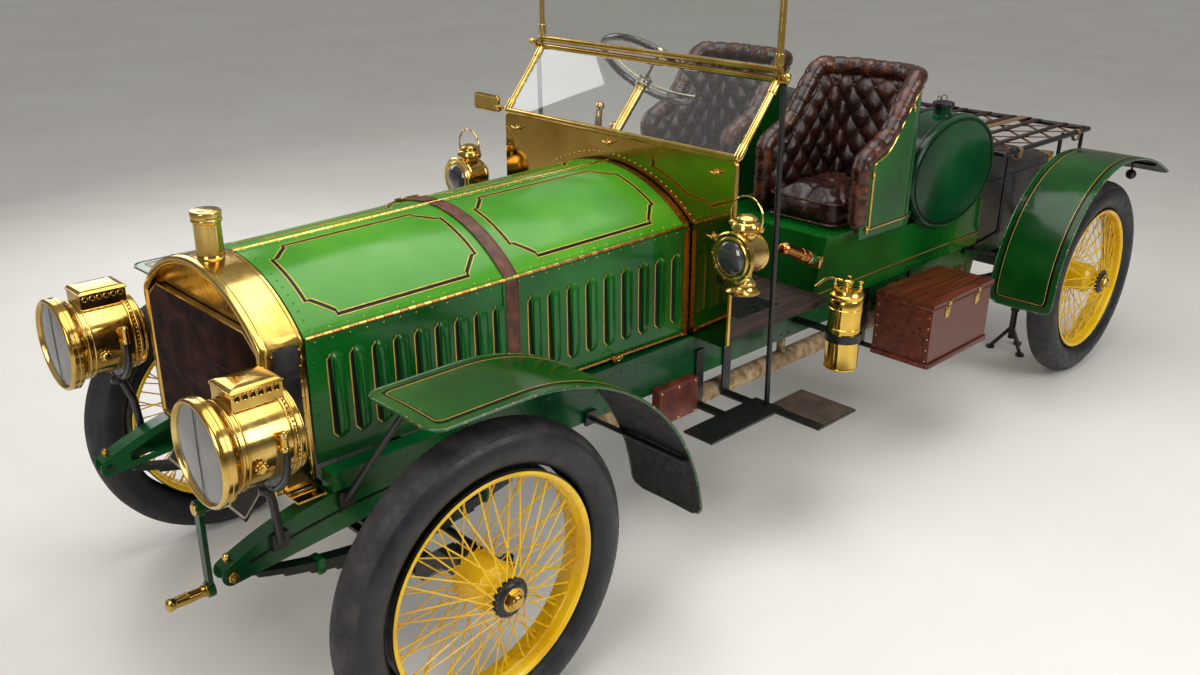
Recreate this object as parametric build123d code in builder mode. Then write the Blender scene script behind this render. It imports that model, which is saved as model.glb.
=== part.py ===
from build123d import *
import os
from math import asin, atan2, cos, degrees, hypot, pi, radians, sin

# Two-seat open racing car of the brass era, about 4.6 m long, with wire wheels, a long
# louvred bonnet, two bucket seats and an oval drum tank across the tail.
# Millimetres. +X is the car's left side, +Y runs to its tail, +Z is up from the floor.
os.makedirs("parts", exist_ok=True)

# Stance
front_axle_y = -1739.0
wheelbase = 3487.0
rear_axle_y = front_axle_y + wheelbase
track = 1447.0
wheel_x = track / 2
fit = 0.3            # gap between curved faces that meet
running = 0.05       # radial clearance of a turning fit

# Tyres: outer radius, half width of the section, radius of the rim's lips
front_tyre_radius = 440.0
front_tyre_half = 60.0
front_rim_radius = 314.6
rear_tyre_radius = 446.0
rear_tyre_half = 64.0
rear_rim_radius = 320.0
rim_half = 47.5
rim_depth = 19.0
spokes_per_row = 16
spoke_width = 4.2

# Hub, measured outwards from the wheel's middle plane
hub_inner = -60.0
barrel_radius = 66.0
barrel_end = 40.0
neck_radius = 34.0
flange_start = 80.0
flange_end = 92.0
flange_radius = 52.0
nut_end = 122.5
nut_radius = 27.0
stub_radius = 20.0
stub_end = 70.0

# Kingpins and steering
kingpin_x = 620.0
kingpin_radius = 14.0
boss_radius = 27.0
boss_half = 34.0
ear_height = 20.0
arm_drop = 46.0
arm_length = 150.0
arm_half = 12.0
rod_radius = 12.0

# Frame rails
rail_outer = 390.0
rail_width = 50.0
rail_wall = 6.0
rail_low = 545.0
rail_high = 650.0
rail_rear_y = front_axle_y + 3960
sill_high = 700.0
horn_start_y = front_axle_y - 110
horn_eye_y = front_axle_y - 505
horn_eye_z = 532.0
eye_radius = 26.0
eye_pin = 8.0
rail_inner = rail_outer - rail_width
rail_mid = rail_outer - rail_width / 2
web_x = rail_outer - rail_wall

# Front axle beam and leaf springs
beam_low = 330.0
beam_high = 385.0
beam_half = 26.0
beam_web = 8.0
leaf_thickness = 7.5
leaf_width = 38.0
rear_eye_y = front_axle_y + 500
rear_eye_z = 512.0
rear_spring_half = 450.0
rear_spring_eye_z = 470.0
axle_tube_radius = 45.0
casing_radius = 150.0
nose_length = 205.0

# Engine, gearbox and exhaust
engine_half = 165.0
engine_front_y = front_axle_y - 70
engine_rear_y = front_axle_y + 1010
engine_low = 420.0
engine_high = 985.0
crank_z = 508.0
shaft_radius = 26.0
exhaust_x = 350.0
silencer_x = 240.0
exhaust_z = 440.0
exhaust_radius = 34.0

# Radiator
radiator_half = 326.0
radiator_front_y = front_axle_y - 339
radiator_depth = 110.0
radiator_rear_y = radiator_front_y + radiator_depth
radiator_low = 655.0
radiator_shoulder = 1042.0
radiator_apex = 1192.0
core_half = 302.0
core_shoulder = 1024.0
core_top_half = 245.0
core_top = 1068.0
shell_border = 20.0
header_recess = 18.0
filler_radius = 33.0
filler_height = 118.0

# Bonnet: two top leaves hinged along the middle, a side hung from each
bonnet_gap = 5.0
bonnet_front_y = radiator_rear_y + bonnet_gap
bonnet_rear_y = front_axle_y + 1120
bonnet_rear_half = 370.0
bonnet_rear_shoulder = 1077.0
bonnet_rear_apex = 1224.5
bonnet_low = 705.0
bonnet_sheet = 3.0
hinge_radius = 4.0
strap_y = front_axle_y + 407
strap_width = 46.0
strap_thickness = 4.0
strap_gap = 13.0     # from the middle hinge, so that both leaves can stand up
front_louvres = 9
rear_louvres = 9
louvre_low = 765.0
louvre_high = 985.0
louvre_width = 12.0
louvre_rise = 9.0

# Dash, floor and windscreen
dash_y = front_axle_y + 1130
dash_thickness = 17.0
dash_half = 540.0
dash_high = 1305.0
floor_rear_y = front_axle_y + 1742
floor_half = 500.0
board_thickness = 16.0
screen_foot_y = dash_y + dash_thickness / 2
screen_hinge_y = front_axle_y + 1315
screen_hinge_z = 1546.0
screen_top_z = 1950.0
screen_tube = 11.0
screen_gap = 6.0
screen_pin = 4.0
glass_thickness = 5.0
post_x = dash_half + 22
post_radius = 9.0
ear_x = dash_half + screen_tube + 2
post_foot_y = front_axle_y + 1345

# Seats and tail of the body
base_half = 440.0
base_high = 930.0
base_flare = 45.0
seat_x = 300.0
seat_outer = 235.0
seat_front_y = front_axle_y + 1862
seat_rear_y = front_axle_y + 2300
seat_low_rim = 1195.0
seat_high_rim = 1462.0
seat_corner = 150.0
shell_thickness = 10.0
leather_thickness = 62.0
cushion_high = 1075.0
cushion_gap = 6.0
tail_high = 850.0
tail_rear_y = front_axle_y + 2975

# Air pump
pump_x = 450.0
pump_radius = 22.0
pump_front_y = front_axle_y + 1545
pump_high_z = 926.0
pump_low_z = 846.0

# Tank, rack and trunk
tank_y = front_axle_y + 2634
tank_z = 1028.0
tank_reach = 328.0
tank_height = 225.0
tank_half = 476.0
tank_dome = 26.0
tank_filler_x = 385.0
rack_z = 1050.0
rack_half = 500.0
rack_front_y = front_axle_y + 2995
rack_rear_y = front_axle_y + 3830
rack_bar = 12.0
trunk_half = 400.0
trunk_high = 940.0

# Wings
wing_inner = 522.0
wing_outer = 802.0
wing_sheet = 4.0
front_wing_top = 956.0
front_wing_tip_y = front_axle_y - 195
front_wing_turn_y = front_axle_y + 68
front_wing_radius = 672.0
front_wing_low = 356.0
rear_wing_inner = 552.0
rear_wing_outer = 832.0
rear_wing_radius = 556.0
rear_wing_low = 425.0
rear_wing_tail_y = front_axle_y + 4040
rear_wing_tail_z = 862.0
stay_radius = 8.0
stay_inset = 14.0
stay_low_z = 560.0
stay_high_z = 620.0
foot_half = 22.0
foot_thickness = 14.0

# Steps and side boxes
step_z = 440.0
step_inner = 500.0
step_edge = 620.0
step_outer = 785.0
step_front_y = front_axle_y + 990
step_rear_y = front_axle_y + 1345
pad_rear_y = front_axle_y + 1550
box_inner = 478.0
box_outer = 720.0
box_front_y = front_axle_y + 2130
box_rear_y = front_axle_y + 2580
box_low = 385.0
box_high = 645.0
box_wall = 14.0
lid_thickness = 24.0
knuckle_radius = 4.0
knuckle_length = 64.0
generator_x = 600.0
generator_y = front_axle_y + 1720
generator_low = 480.0
generator_high = 790.0
generator_radius = 58.0
generator_band = 2.5
generator_valve_x = 26.0
casing_front_y = front_axle_y + 954
casing_rear_y = front_axle_y + 1142
casing_depth = 34.0
casing_low = 429.0
casing_high = 562.0

# Lamps
headlamp_x = 431.0
headlamp_front_y = front_axle_y - 560
headlamp_z = 894.0
headlamp_ring = 128.0
headlamp_body = 108.0
headlamp_length = 235.0
headlamp_iron = 145.0
iron_radius = 11.0
sidelamp_x = 658.0
sidelamp_front_y = front_axle_y + 982
sidelamp_z = 1065.0
sidelamp_ring = 78.0
sidelamp_stem = 66.0
sidelamp_base_z = 945.0
socket_radius = 9.0
socket_height = 46.0
tail_lamp_x = 690.0
tail_lamp_run = 463.0
tail_lamp_radius = 24.0
tail_lamp_drop = 56.0
lamp_glass = 6.0

# Steering wheel and column, whose axis leans back in the YZ plane
column_x = -360.0
column_angle = 49.0
wheel_hub_y = front_axle_y + 1676
wheel_hub_z = 1386.0
wheel_rim_radius = 208.0
wheel_rim_half = 14.0
wheel_dish = 52.0
column_radius = 19.0
column_length = 745.0

# Starting handle
handle_y = front_axle_y - 411
handle_arm = 255.0
handle_grip = 118.0


def block(x, y, z, mode=Mode.ADD):
    """A box between two values on each axis, in the part being built."""
    with Locations(((x[0] + x[1]) / 2, (y[0] + y[1]) / 2, (z[0] + z[1]) / 2)):
        Box(x[1] - x[0], y[1] - y[0], z[1] - z[0], mode=mode)


def rod(start, end, radius, mode=Mode.ADD):
    """A round bar from one point to another, in the part being built."""
    run = Vector(*end) - Vector(*start)
    with Locations(Plane(origin=start, z_dir=run).location):
        Cylinder(radius, run.length, align=(Align.CENTER, Align.CENTER, Align.MIN), mode=mode)


def bent_rod(points, bend, radius):
    """A round bar through points with its corners bent to one radius."""
    with BuildLine() as path:
        FilletPolyline(*points, radius=bend)
    with BuildSketch(Plane(origin=path.line @ 0, z_dir=path.line % 0)) as section:
        Circle(radius)
    sweep(section.sketch, path=path.line)


def export(piece, node):
    piece.part.label = node
    export_step(piece.part, f"parts/{node}.step")


def wheel_plane(side, y, z):
    """The middle plane's section: local x outwards from the wheel, local y up."""
    return Plane(origin=(side * wheel_x, y, z), x_dir=(side, 0, 0), z_dir=(0, -side, 0))


def build_tyre(outer, half, rim_radius, side, y):
    middle = wheel_plane(side, y, outer)
    bead = rim_radius - rim_depth + 8 + fit
    tread = half * 0.62
    shoulder = outer - half * 0.22
    with BuildPart() as tyre:
        with BuildSketch(middle):
            with BuildLine():
                Polyline((-tread, shoulder), (-half, outer - half), (-rim_half + 4 + fit, rim_radius + fit),
                         (-rim_half + 7 + fit, bead), (rim_half - 7 - fit, bead), (rim_half - 4 - fit,
                                                                                   rim_radius + fit),
                         (half, outer - half), (tread, shoulder))
                ThreePointArc((tread, shoulder), (0, outer), (-tread, shoulder))
            make_face()
        revolve(axis=Axis((0, y, outer), (1, 0, 0)))
    return tyre


def spoke_ends(rim_radius):
    """Each spoke's foot on the hub and end in the rim, in the wheel's own frame."""
    # rows: x at the hub, radius at the hub, x at the rim, how far round the spoke leans
    rows = [
        (flange_start + 3, flange_radius - 5, 12.0, 30.0),
        (flange_end - 3, flange_radius - 5, 4.0, -30.0),
        (hub_inner + 6, barrel_radius - 6, -12.0, 34.0),
        (hub_inner + 10, barrel_radius - 6, -4.0, -34.0),
    ]
    rim = rim_radius - rim_depth + 3
    ends = []
    for row, (hub_x, hub_radius, rim_x, lean) in enumerate(rows):
        for i in range(spokes_per_row):
            at_hub = radians(360.0 / spokes_per_row * (i + row / 4))
            at_rim = at_hub + radians(lean)
            ends.append(((hub_x, hub_radius * cos(at_hub), hub_radius * sin(at_hub)),
                         (rim_x, rim * cos(at_rim), rim * sin(at_rim))))
    return ends


def build_wheel(rim_radius):
    """A wire wheel on the X axis, its outer side at +X."""
    well = rim_radius - rim_depth + 8
    low = rim_radius - rim_depth
    section = Plane(origin=(0, 0, 0), x_dir=(1, 0, 0), z_dir=(0, -1, 0))
    turn = Axis((0, 0, 0), (1, 0, 0))
    spokes = []
    for foot, end in spoke_ends(rim_radius):
        run = Vector(*end) - Vector(*foot)
        upright = Box(spoke_width, spoke_width, run.length, align=(Align.CENTER, Align.CENTER, Align.MIN))
        spokes.append(Plane(origin=foot, z_dir=run).location * upright)
    with BuildPart() as wheel:
        with BuildSketch(section):
            with BuildLine():
                Polyline((-rim_half, rim_radius), (-rim_half + 4, rim_radius), (-rim_half + 7, well),
                         (rim_half - 7, well), (rim_half - 4, rim_radius), (rim_half, rim_radius),
                         (rim_half, rim_radius - 6), (rim_half - 6, low), (-rim_half + 6, low),
                         (-rim_half, rim_radius - 6), close=True)
            make_face()
            with BuildLine():
                Polyline((hub_inner, stub_radius + running), (hub_inner, barrel_radius - 12),
                         (hub_inner + 8, barrel_radius), (barrel_end - 8, barrel_radius),
                         (barrel_end + 6, barrel_radius - 12), (barrel_end + 16, neck_radius),
                         (flange_start, neck_radius), (flange_start, flange_radius),
                         (flange_end, flange_radius), (flange_end, neck_radius), (flange_end + 6,
                                                                                  neck_radius),
                         (flange_end + 6, 0), (stub_end + 6, 0), (stub_end + 6, stub_radius + running),
                         close=True)
            make_face()
        revolve(axis=turn)
        with BuildSketch(Plane.YZ.offset(flange_end + 6)):
            RegularPolygon(radius=nut_radius, side_count=6)
        extrude(amount=nut_end - flange_end - 6)
        add(spokes)
    return wheel.part


# Tyres and wire wheels
wheel_table = [
    # place, side, y, tyre radius, tyre half width, rim radius
    ("front_left", 1, front_axle_y, front_tyre_radius, front_tyre_half, front_rim_radius),
    ("front_right", -1, front_axle_y, front_tyre_radius, front_tyre_half, front_rim_radius),
    ("rear_left", 1, rear_axle_y, rear_tyre_radius, rear_tyre_half, rear_rim_radius),
    ("rear_right", -1, rear_axle_y, rear_tyre_radius, rear_tyre_half, rear_rim_radius),
]
wire_wheels = {radius: build_wheel(radius) for radius in (front_rim_radius, rear_rim_radius)}
for place, side, y, outer, half, rim_radius in wheel_table:
    tyre = build_tyre(outer, half, rim_radius, side, y)
    export(tyre, f"tyre_{place}")
    turned = wire_wheels[rim_radius] if side > 0 else mirror(wire_wheels[rim_radius], about=Plane.YZ)
    with BuildPart() as wheel:
        add(Pos(side * wheel_x, y, outer) * turned)
    export(wheel, f"wheel_{place}")

# Frame rails: pressed channels open inwards, each with a dumb iron that curves down to
# the front spring's eye, a wooden sill along the top and hangers for the springs
with BuildPart() as frame_rails:
    with BuildSketch(Plane.YZ.offset(rail_inner)) as outline:
        with BuildLine():
            Line((rail_rear_y, rail_low), (rail_rear_y, rail_high))
            Line((rail_rear_y, rail_high), (horn_start_y, rail_high))
            horn_top = TangentArc((horn_start_y, rail_high), (horn_eye_y - 14, horn_eye_z + 22),
                                  tangent=(-1, 0))
            ThreePointArc(horn_top @ 1, (horn_eye_y - eye_radius, horn_eye_z),
                          (horn_eye_y + 4, horn_eye_z - 26))
            Line((horn_eye_y + 4, horn_eye_z - 26), (front_axle_y - 60, rail_low))
            Line((front_axle_y - 60, rail_low), (rail_rear_y, rail_low))
        make_face()
    extrude(amount=rail_width)
    with BuildSketch(Plane.YZ.offset(rail_inner)):
        with BuildLine():
            Polyline((rail_rear_y, rail_low + rail_wall), (rail_rear_y, rail_high - rail_wall),
                     (horn_start_y, rail_high - rail_wall), (horn_eye_y + 210, 615), (horn_eye_y + 60, 557),
                     (horn_eye_y + 60, 531), (front_axle_y - 60, rail_low + rail_wall), close=True)
        make_face()
    extrude(amount=rail_width - rail_wall, mode=Mode.SUBTRACT)
    # slot and pin hole for the front spring's eye
    block((rail_mid - leaf_width / 2 - 1, rail_mid + leaf_width / 2 + 1),
          (horn_eye_y - 60, horn_eye_y + 130), (horn_eye_z - 60, horn_eye_z + 17), Mode.SUBTRACT)
    rod((rail_inner - 1, horn_eye_y, horn_eye_z), (rail_outer + 1, horn_eye_y, horn_eye_z), eye_pin + fit,
        Mode.SUBTRACT)
    block((rail_inner + 4, rail_outer + 8), (bonnet_front_y, floor_rear_y), (rail_high, sill_high))
    for y, low in ((rear_eye_y, rear_eye_z), (rear_axle_y - rear_spring_half, rear_spring_eye_z),
                   (rear_axle_y + rear_spring_half, rear_spring_eye_z)):
        for x in (rail_mid - leaf_width / 2 - 8, rail_mid + leaf_width / 2 + 2):
            with BuildSketch(Plane.YZ.offset(x)):
                with BuildLine():
                    Polyline((y - 34, rail_low), (y + 34, rail_low), (y + 16, low), (y - 16, low),
                             close=True)
                make_face()
                with Locations((y, low)):
                    Circle(16)
            extrude(amount=6)
    mirror(about=Plane.YZ)
    # cross members, and the tube that carries the starting shaft
    for y in (front_axle_y + 1665, front_axle_y + 2200, front_axle_y + 2800, front_axle_y + 3760):
        block((-web_x, web_x), (y - 3, y + 3), (rail_low + rail_wall, rail_high - rail_wall))
        for z in (rail_low + rail_wall, rail_high - 2 * rail_wall):
            block((-web_x, web_x), (y - 3, y + 38), (z, z + rail_wall))
    rod((-web_x, front_axle_y - 190, 590), (web_x, front_axle_y - 190, 590), 22)
    block((-30, 30), (front_axle_y - 206, front_axle_y - 174), (crank_z - 28, 590))
    with Locations(Location((0, front_axle_y - 190, crank_z), (90, 0, 0))):
        Cylinder(16 + running, 40, mode=Mode.SUBTRACT)
export(frame_rails, "chassis_frame")


def leaf_spring(front, seat, rear, leaves, side):
    """A stack of leaves, each a shorter arc under the last, with rolled eyes at its ends."""
    (y0, z0), (y1, z1), (y2, z2) = front, seat, rear
    # centre of the circle through the two eyes and the seat
    d = 2 * (y0 * (z1 - z2) + y1 * (z2 - z0) + y2 * (z0 - z1))
    s0, s1, s2 = y0 ** 2 + z0 ** 2, y1 ** 2 + z1 ** 2, y2 ** 2 + z2 ** 2
    cy = (s0 * (z1 - z2) + s1 * (z2 - z0) + s2 * (z0 - z1)) / d
    cz = (s0 * (y2 - y1) + s1 * (y0 - y2) + s2 * (y1 - y0)) / d
    radius = hypot(y1 - cy, z1 - cz)
    start, end = asin((y0 - cy) / radius), asin((y2 - cy) / radius)
    middle = asin((y1 - cy) / radius)

    def at(r, a):
        return (cy + r * sin(a), cz - r * cos(a))

    with BuildSketch(Plane.YZ.offset(side * rail_mid - leaf_width / 2)) as stack:
        for i in range(leaves):
            share = 1 - i / (leaves + 1.0)
            a, b = middle + (start - middle) * share, middle + (end - middle) * share
            inner, outer = radius + i * leaf_thickness, radius + (i + 1) * leaf_thickness
            half = (a + b) / 2
            with BuildLine():
                ThreePointArc(at(inner, a), at(inner, half), at(inner, b))
                Line(at(inner, b), at(outer, b))
                ThreePointArc(at(outer, b), at(outer, half), at(outer, a))
                Line(at(outer, a), at(inner, a))
            make_face()
        with Locations(at(radius, start), at(radius, end)):
            Circle(12)
    extrude(stack.sketch, amount=leaf_width)


spring_leaves = 6
pad_lift = 4.0
front_seat_z = beam_high + spring_leaves * leaf_thickness + pad_lift
with BuildPart() as springs:
    for side in (-1, 1):
        leaf_spring((horn_eye_y, horn_eye_z), (front_axle_y, front_seat_z), (rear_eye_y, rear_eye_z),
                    spring_leaves, side)
        rod((side * (rail_inner - 6), horn_eye_y, horn_eye_z),
            (side * (rail_outer + 6), horn_eye_y, horn_eye_z), eye_pin)
        block((side * rail_mid - leaf_width / 2 - 6, side * rail_mid + leaf_width / 2 + 6),
              (front_axle_y - 36, front_axle_y + 36),
              (beam_high, front_seat_z + 8))
    rear_seat_z = rear_tyre_radius - axle_tube_radius - pad_lift
    for side in (-1, 1):
        leaf_spring((rear_axle_y - rear_spring_half, rear_spring_eye_z), (rear_axle_y, rear_seat_z),
                    (rear_axle_y + rear_spring_half, rear_spring_eye_z), spring_leaves, side)
        block((side * rail_mid - leaf_width / 2 - 6, side * rail_mid + leaf_width / 2 + 6),
              (rear_axle_y - 36, rear_axle_y + 36),
              (rear_seat_z - spring_leaves * leaf_thickness - 8, rear_seat_z + 24))
    rod((-rail_outer, rear_axle_y, rear_tyre_radius), (rail_outer, rear_axle_y, rear_tyre_radius),
        axle_tube_radius + fit, Mode.SUBTRACT)
export(springs, "leaf_springs")

# Front axle: a forged I beam that drops between the kingpin bosses
boss_rise = front_tyre_radius
with BuildPart() as front_axle:
    with BuildSketch(Plane.XZ.offset(-front_axle_y - beam_half)) as beam_outline:
        with BuildLine():
            right_half = Polyline((0, beam_low), (470, beam_low), (560, boss_rise - 24),
                                  (kingpin_x, boss_rise - 24),
                                  (kingpin_x, boss_rise + 24), (545, boss_rise + 24), (455, beam_high), (0,
                                                                                                         beam_high))
            mirror(right_half, about=Plane.YZ)
        make_face()
    extrude(amount=2 * beam_half)
    for face_y, direction in ((front_axle_y - beam_half, 1), (front_axle_y + beam_half, -1)):
        with BuildSketch(Plane(origin=(0, face_y, 0), x_dir=(direction, 0, 0), z_dir=(0, -direction, 0))):
            with Locations((0, (beam_low + beam_high) / 2)):
                Rectangle(2 * 440, beam_high - beam_low - 22)
        extrude(amount=-(beam_half - beam_web / 2), mode=Mode.SUBTRACT)
    for side in (-1, 1):
        with Locations((side * kingpin_x, front_axle_y, boss_rise)):
            Cylinder(boss_radius, 2 * boss_half)
            Cylinder(kingpin_radius, 2 * (boss_half + ear_height + 8))
export(front_axle, "front_axle")


def build_knuckle(side):
    """A forked stub axle on its kingpin, with the steering arm behind."""
    z = boss_rise
    reach = side * (boss_radius + 8)
    with BuildPart() as knuckle:
        for low in (z + boss_half + 0.5, z - boss_half - 0.5 - ear_height):
            with Locations((side * kingpin_x, front_axle_y, low + ear_height / 2)):
                Cylinder(boss_radius, ear_height)
            block(sorted((side * kingpin_x, side * kingpin_x + reach)),
                  (front_axle_y - 20, front_axle_y + 20), (low, low + ear_height))
        plate = sorted((side * kingpin_x + side * (boss_radius + 1),
                        side * kingpin_x + side * (boss_radius + 11)))
        block(plate, (front_axle_y - 26, front_axle_y + 26),
              (z - boss_half - ear_height - 0.5, z + boss_half + ear_height + 0.5))
        rod((side * (kingpin_x + boss_radius + 6), front_axle_y, z),
            (side * (wheel_x + stub_end), front_axle_y, z), stub_radius)
        arm_low = z - boss_half - ear_height - 0.5
        block((side * kingpin_x - arm_half, side * kingpin_x + arm_half),
              (front_axle_y, front_axle_y + arm_length), (arm_low, arm_low + 14))
        with Locations((side * kingpin_x, front_axle_y + arm_length, arm_low + 7)):
            Cylinder(16, 14)
        with Locations((side * kingpin_x, front_axle_y + arm_length, arm_low - 20)):
            Cylinder(7, 41)
        with Locations((side * kingpin_x, front_axle_y, z)):
            Cylinder(kingpin_radius + running, 200, mode=Mode.SUBTRACT)
    return knuckle


for place, side in (("left", 1), ("right", -1)):
    knuckle = build_knuckle(side)
    export(knuckle, f"knuckle_{place}")

# Track rod behind the axle, with an eye on each steering arm's pin
rod_z = boss_rise - boss_half - ear_height - 0.5 - 24
with BuildPart() as track_rod:
    rod((-kingpin_x, front_axle_y + arm_length, rod_z), (kingpin_x, front_axle_y + arm_length, rod_z),
        rod_radius)
    for side in (-1, 1):
        with Locations((side * kingpin_x, front_axle_y + arm_length, rod_z)):
            Cylinder(17, 26)
    for side in (-1, 1):
        with Locations((side * kingpin_x, front_axle_y + arm_length, rod_z)):
            Cylinder(7 + 4 * running, 60, mode=Mode.SUBTRACT)
export(track_rod, "track_rod")

# Rear axle: two tubes out of a round casing, with a stub at each end
with BuildPart() as rear_axle:
    tube_end = wheel_x + hub_inner - 6
    rod((-tube_end, rear_axle_y, rear_tyre_radius), (tube_end, rear_axle_y, rear_tyre_radius),
        axle_tube_radius)
    rod((-wheel_x - stub_end, rear_axle_y, rear_tyre_radius),
        (wheel_x + stub_end, rear_axle_y, rear_tyre_radius), stub_radius)
    with BuildSketch(Plane(origin=(0, rear_axle_y, rear_tyre_radius), x_dir=(1, 0, 0), z_dir=(0, -1, 0))):
        with BuildLine():
            Polyline((-170, 0), (-170, axle_tube_radius + 8), (-60, casing_radius - 20),
                     (60, casing_radius - 20),
                     (170, axle_tube_radius + 8), (170, 0), close=True)
        make_face()
    revolve(axis=Axis((0, rear_axle_y, rear_tyre_radius), (1, 0, 0)))
    rod((0, rear_axle_y - nose_length, rear_tyre_radius), (0, rear_axle_y, rear_tyre_radius),
        2 * shaft_radius)
export(rear_axle, "rear_axle")

# Engine block with its crankcase, one plain mass under the bonnet
with BuildPart() as engine_block:
    block((-engine_half, engine_half), (engine_front_y, engine_rear_y), (620, 720))
    block((-engine_half + 45, engine_half - 45), (engine_front_y + 30, engine_rear_y - 120),
          (720, engine_high))
    with BuildSketch(Plane.XZ.offset(-engine_front_y)):
        with BuildLine():
            Polyline((-engine_half, 620), (-engine_half + 40, engine_low), (engine_half - 40, engine_low),
                     (engine_half, 620), close=True)
        make_face()
    extrude(amount=-(engine_rear_y - engine_front_y))
    for side in (-1, 1):
        for y in (engine_front_y + 120, engine_rear_y - 160):
            block(sorted((side * (engine_half - 5), side * (rail_inner + rail_width - rail_wall))),
                  (y - 30, y + 30), (rail_high - 30, rail_high - rail_wall))
export(engine_block, "engine_block")

# Gearbox and the propeller shaft back to the axle casing
with BuildPart() as gearbox:
    block((-150, 150), (engine_rear_y, front_axle_y + 1560), (crank_z - 120, crank_z + 90))
    rod((0, front_axle_y + 1560, crank_z - 20), (0, rear_axle_y - nose_length - 1, rear_tyre_radius),
        shaft_radius)
    for side in (-1, 1):
        block(sorted((side * 145, side * (rail_outer - rail_wall))),
              (front_axle_y + 1250, front_axle_y + 1310), (rail_low + rail_wall, rail_low + 30))
    with Locations(Location((0, front_axle_y + 1600, crank_z - 20), (90, 0, 0))):
        Cylinder(60, 80)
export(gearbox, "gearbox_and_shaft")

# Lagged exhaust pipe along the left rail, and the brake rod above it
with BuildPart() as exhaust:
    bent_rod([(engine_half + fit, front_axle_y + 480, 670), (engine_half + 70, front_axle_y + 480, 670),
              (exhaust_x, front_axle_y + 900, exhaust_z),
              (exhaust_x, front_axle_y + 2300, exhaust_z), (silencer_x, front_axle_y + 2560, exhaust_z),
              (silencer_x, front_axle_y + 2780, exhaust_z)], 55, exhaust_radius)
    rod((silencer_x, front_axle_y + 2760, exhaust_z), (silencer_x, front_axle_y + 3180, exhaust_z), 72)
    rod((silencer_x, front_axle_y + 3160, exhaust_z), (silencer_x, front_axle_y + 3260, exhaust_z), 20)
    for y in (front_axle_y + 1700, front_axle_y + 2240):
        block((exhaust_x - 12, exhaust_x + 12), (y - 10, y + 10), (exhaust_z, rail_low))
export(exhaust, "exhaust")

# Radiator: a polished shell with an arched header, recessed behind its rim, and the core
# let into it as a flat-topped block with clipped corners
def arch(half, low, shoulder, apex):
    """An upright outline with straight sides and an arched top, in the sketch being built."""
    with BuildLine() as outline:
        Polyline((-half, shoulder), (-half, low), (half, low), (half, shoulder))
        ThreePointArc((half, shoulder), (0, apex), (-half, shoulder))
    make_face(outline.edges())


def core_outline(grow):
    with BuildLine() as outline:
        Polyline((-core_half - grow, radiator_low + shell_border - grow),
                 (core_half + grow, radiator_low + shell_border - grow),
                 (core_half + grow, core_shoulder + grow), (core_top_half + grow, core_top + grow),
                 (-core_top_half - grow, core_top + grow), (-core_half - grow,
                                                            core_shoulder + grow), close=True)
    make_face(outline.edges())


radiator_face = Plane.XZ.offset(-radiator_front_y)
with BuildPart() as radiator_shell:
    with BuildSketch(radiator_face):
        arch(radiator_half, radiator_low, radiator_shoulder, radiator_apex)
    extrude(amount=-radiator_depth)
    with BuildSketch(radiator_face):
        arch(radiator_half - shell_border, radiator_low + shell_border,
             radiator_shoulder - shell_border / 2,
             radiator_apex - shell_border)
    extrude(amount=-header_recess, mode=Mode.SUBTRACT)
    with BuildSketch(radiator_face):
        core_outline(fit)
    extrude(amount=-radiator_depth, mode=Mode.SUBTRACT)
    with Locations((0, radiator_front_y + radiator_depth / 2, radiator_apex - 30)):
        Cylinder(filler_radius, filler_height + 30, align=(Align.CENTER, Align.CENTER, Align.MIN))
    with Locations((0, radiator_front_y + radiator_depth / 2, radiator_apex + filler_height - 22)):
        Cylinder(filler_radius + 4, 22, align=(Align.CENTER, Align.CENTER, Align.MIN))
    for side in (-1, 1):
        block(sorted((side * (rail_inner - 60), side * rail_outer)),
              (radiator_front_y + 20, radiator_rear_y - 10), (rail_high, radiator_low))
export(radiator_shell, "radiator_shell")
with BuildPart() as radiator_core:
    with BuildSketch(Plane.XZ.offset(-radiator_front_y - 3)):
        core_outline(0)
    extrude(amount=-(radiator_depth - 12))
export(radiator_core, "radiator_core")


# Bonnet: each side is a curved top leaf and a flat louvred side, with the leather strap's
# lengths lying on them
def bonnet_at(y):
    """The bonnet's half width, shoulder height and apex height at one station."""
    share = (y - bonnet_front_y) / (bonnet_rear_y - bonnet_front_y)
    return (radiator_half + share * (bonnet_rear_half - radiator_half),
            radiator_shoulder + share * (bonnet_rear_shoulder - radiator_shoulder),
            radiator_apex + share * (bonnet_rear_apex - radiator_apex))


def top_section(y, inner, outer, start):
    """The left top leaf's band at one station, between two distances from its outer face and
    from a start beside the middle hinge."""
    half, shoulder, apex = bonnet_at(y)
    rise = apex - shoulder
    radius = (half ** 2 + rise ** 2) / (2 * rise)
    a, b = asin(start / radius), asin(half / radius) - (hinge_radius + fit) / radius

    def at(r, angle):
        return (r * sin(angle), apex - radius + r * cos(angle))

    with BuildSketch(Plane.XZ.offset(-y)) as band:
        with BuildLine():
            ThreePointArc(at(radius + outer, a), at(radius + outer, (a + b) / 2), at(radius + outer, b))
            Line(at(radius + outer, b), at(radius + inner, b))
            ThreePointArc(at(radius + inner, b), at(radius + inner, (a + b) / 2), at(radius + inner, a))
            Line(at(radius + inner, a), at(radius + outer, a))
        make_face()
    return band.sketch


side_lean = 0.02
front_corner = Vector(radiator_half, bonnet_front_y, radiator_shoulder)
rear_corner = Vector(bonnet_rear_half, bonnet_rear_y, bonnet_rear_shoulder)
along_shoulder = rear_corner - front_corner
bonnet_side = Plane(origin=front_corner, x_dir=along_shoulder,
                    z_dir=Vector(side_lean, 0, -1).cross(along_shoulder))


def on_side(y, z):
    """A point of the bonnet side's plane, in its own axes."""
    share = (y - front_corner.Y) / along_shoulder.Y
    top = front_corner + along_shoulder * share
    local = bonnet_side.to_local_coords(Vector(top.X + side_lean * (top.Z - z), y, z))
    return (local.X, local.Y)


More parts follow.
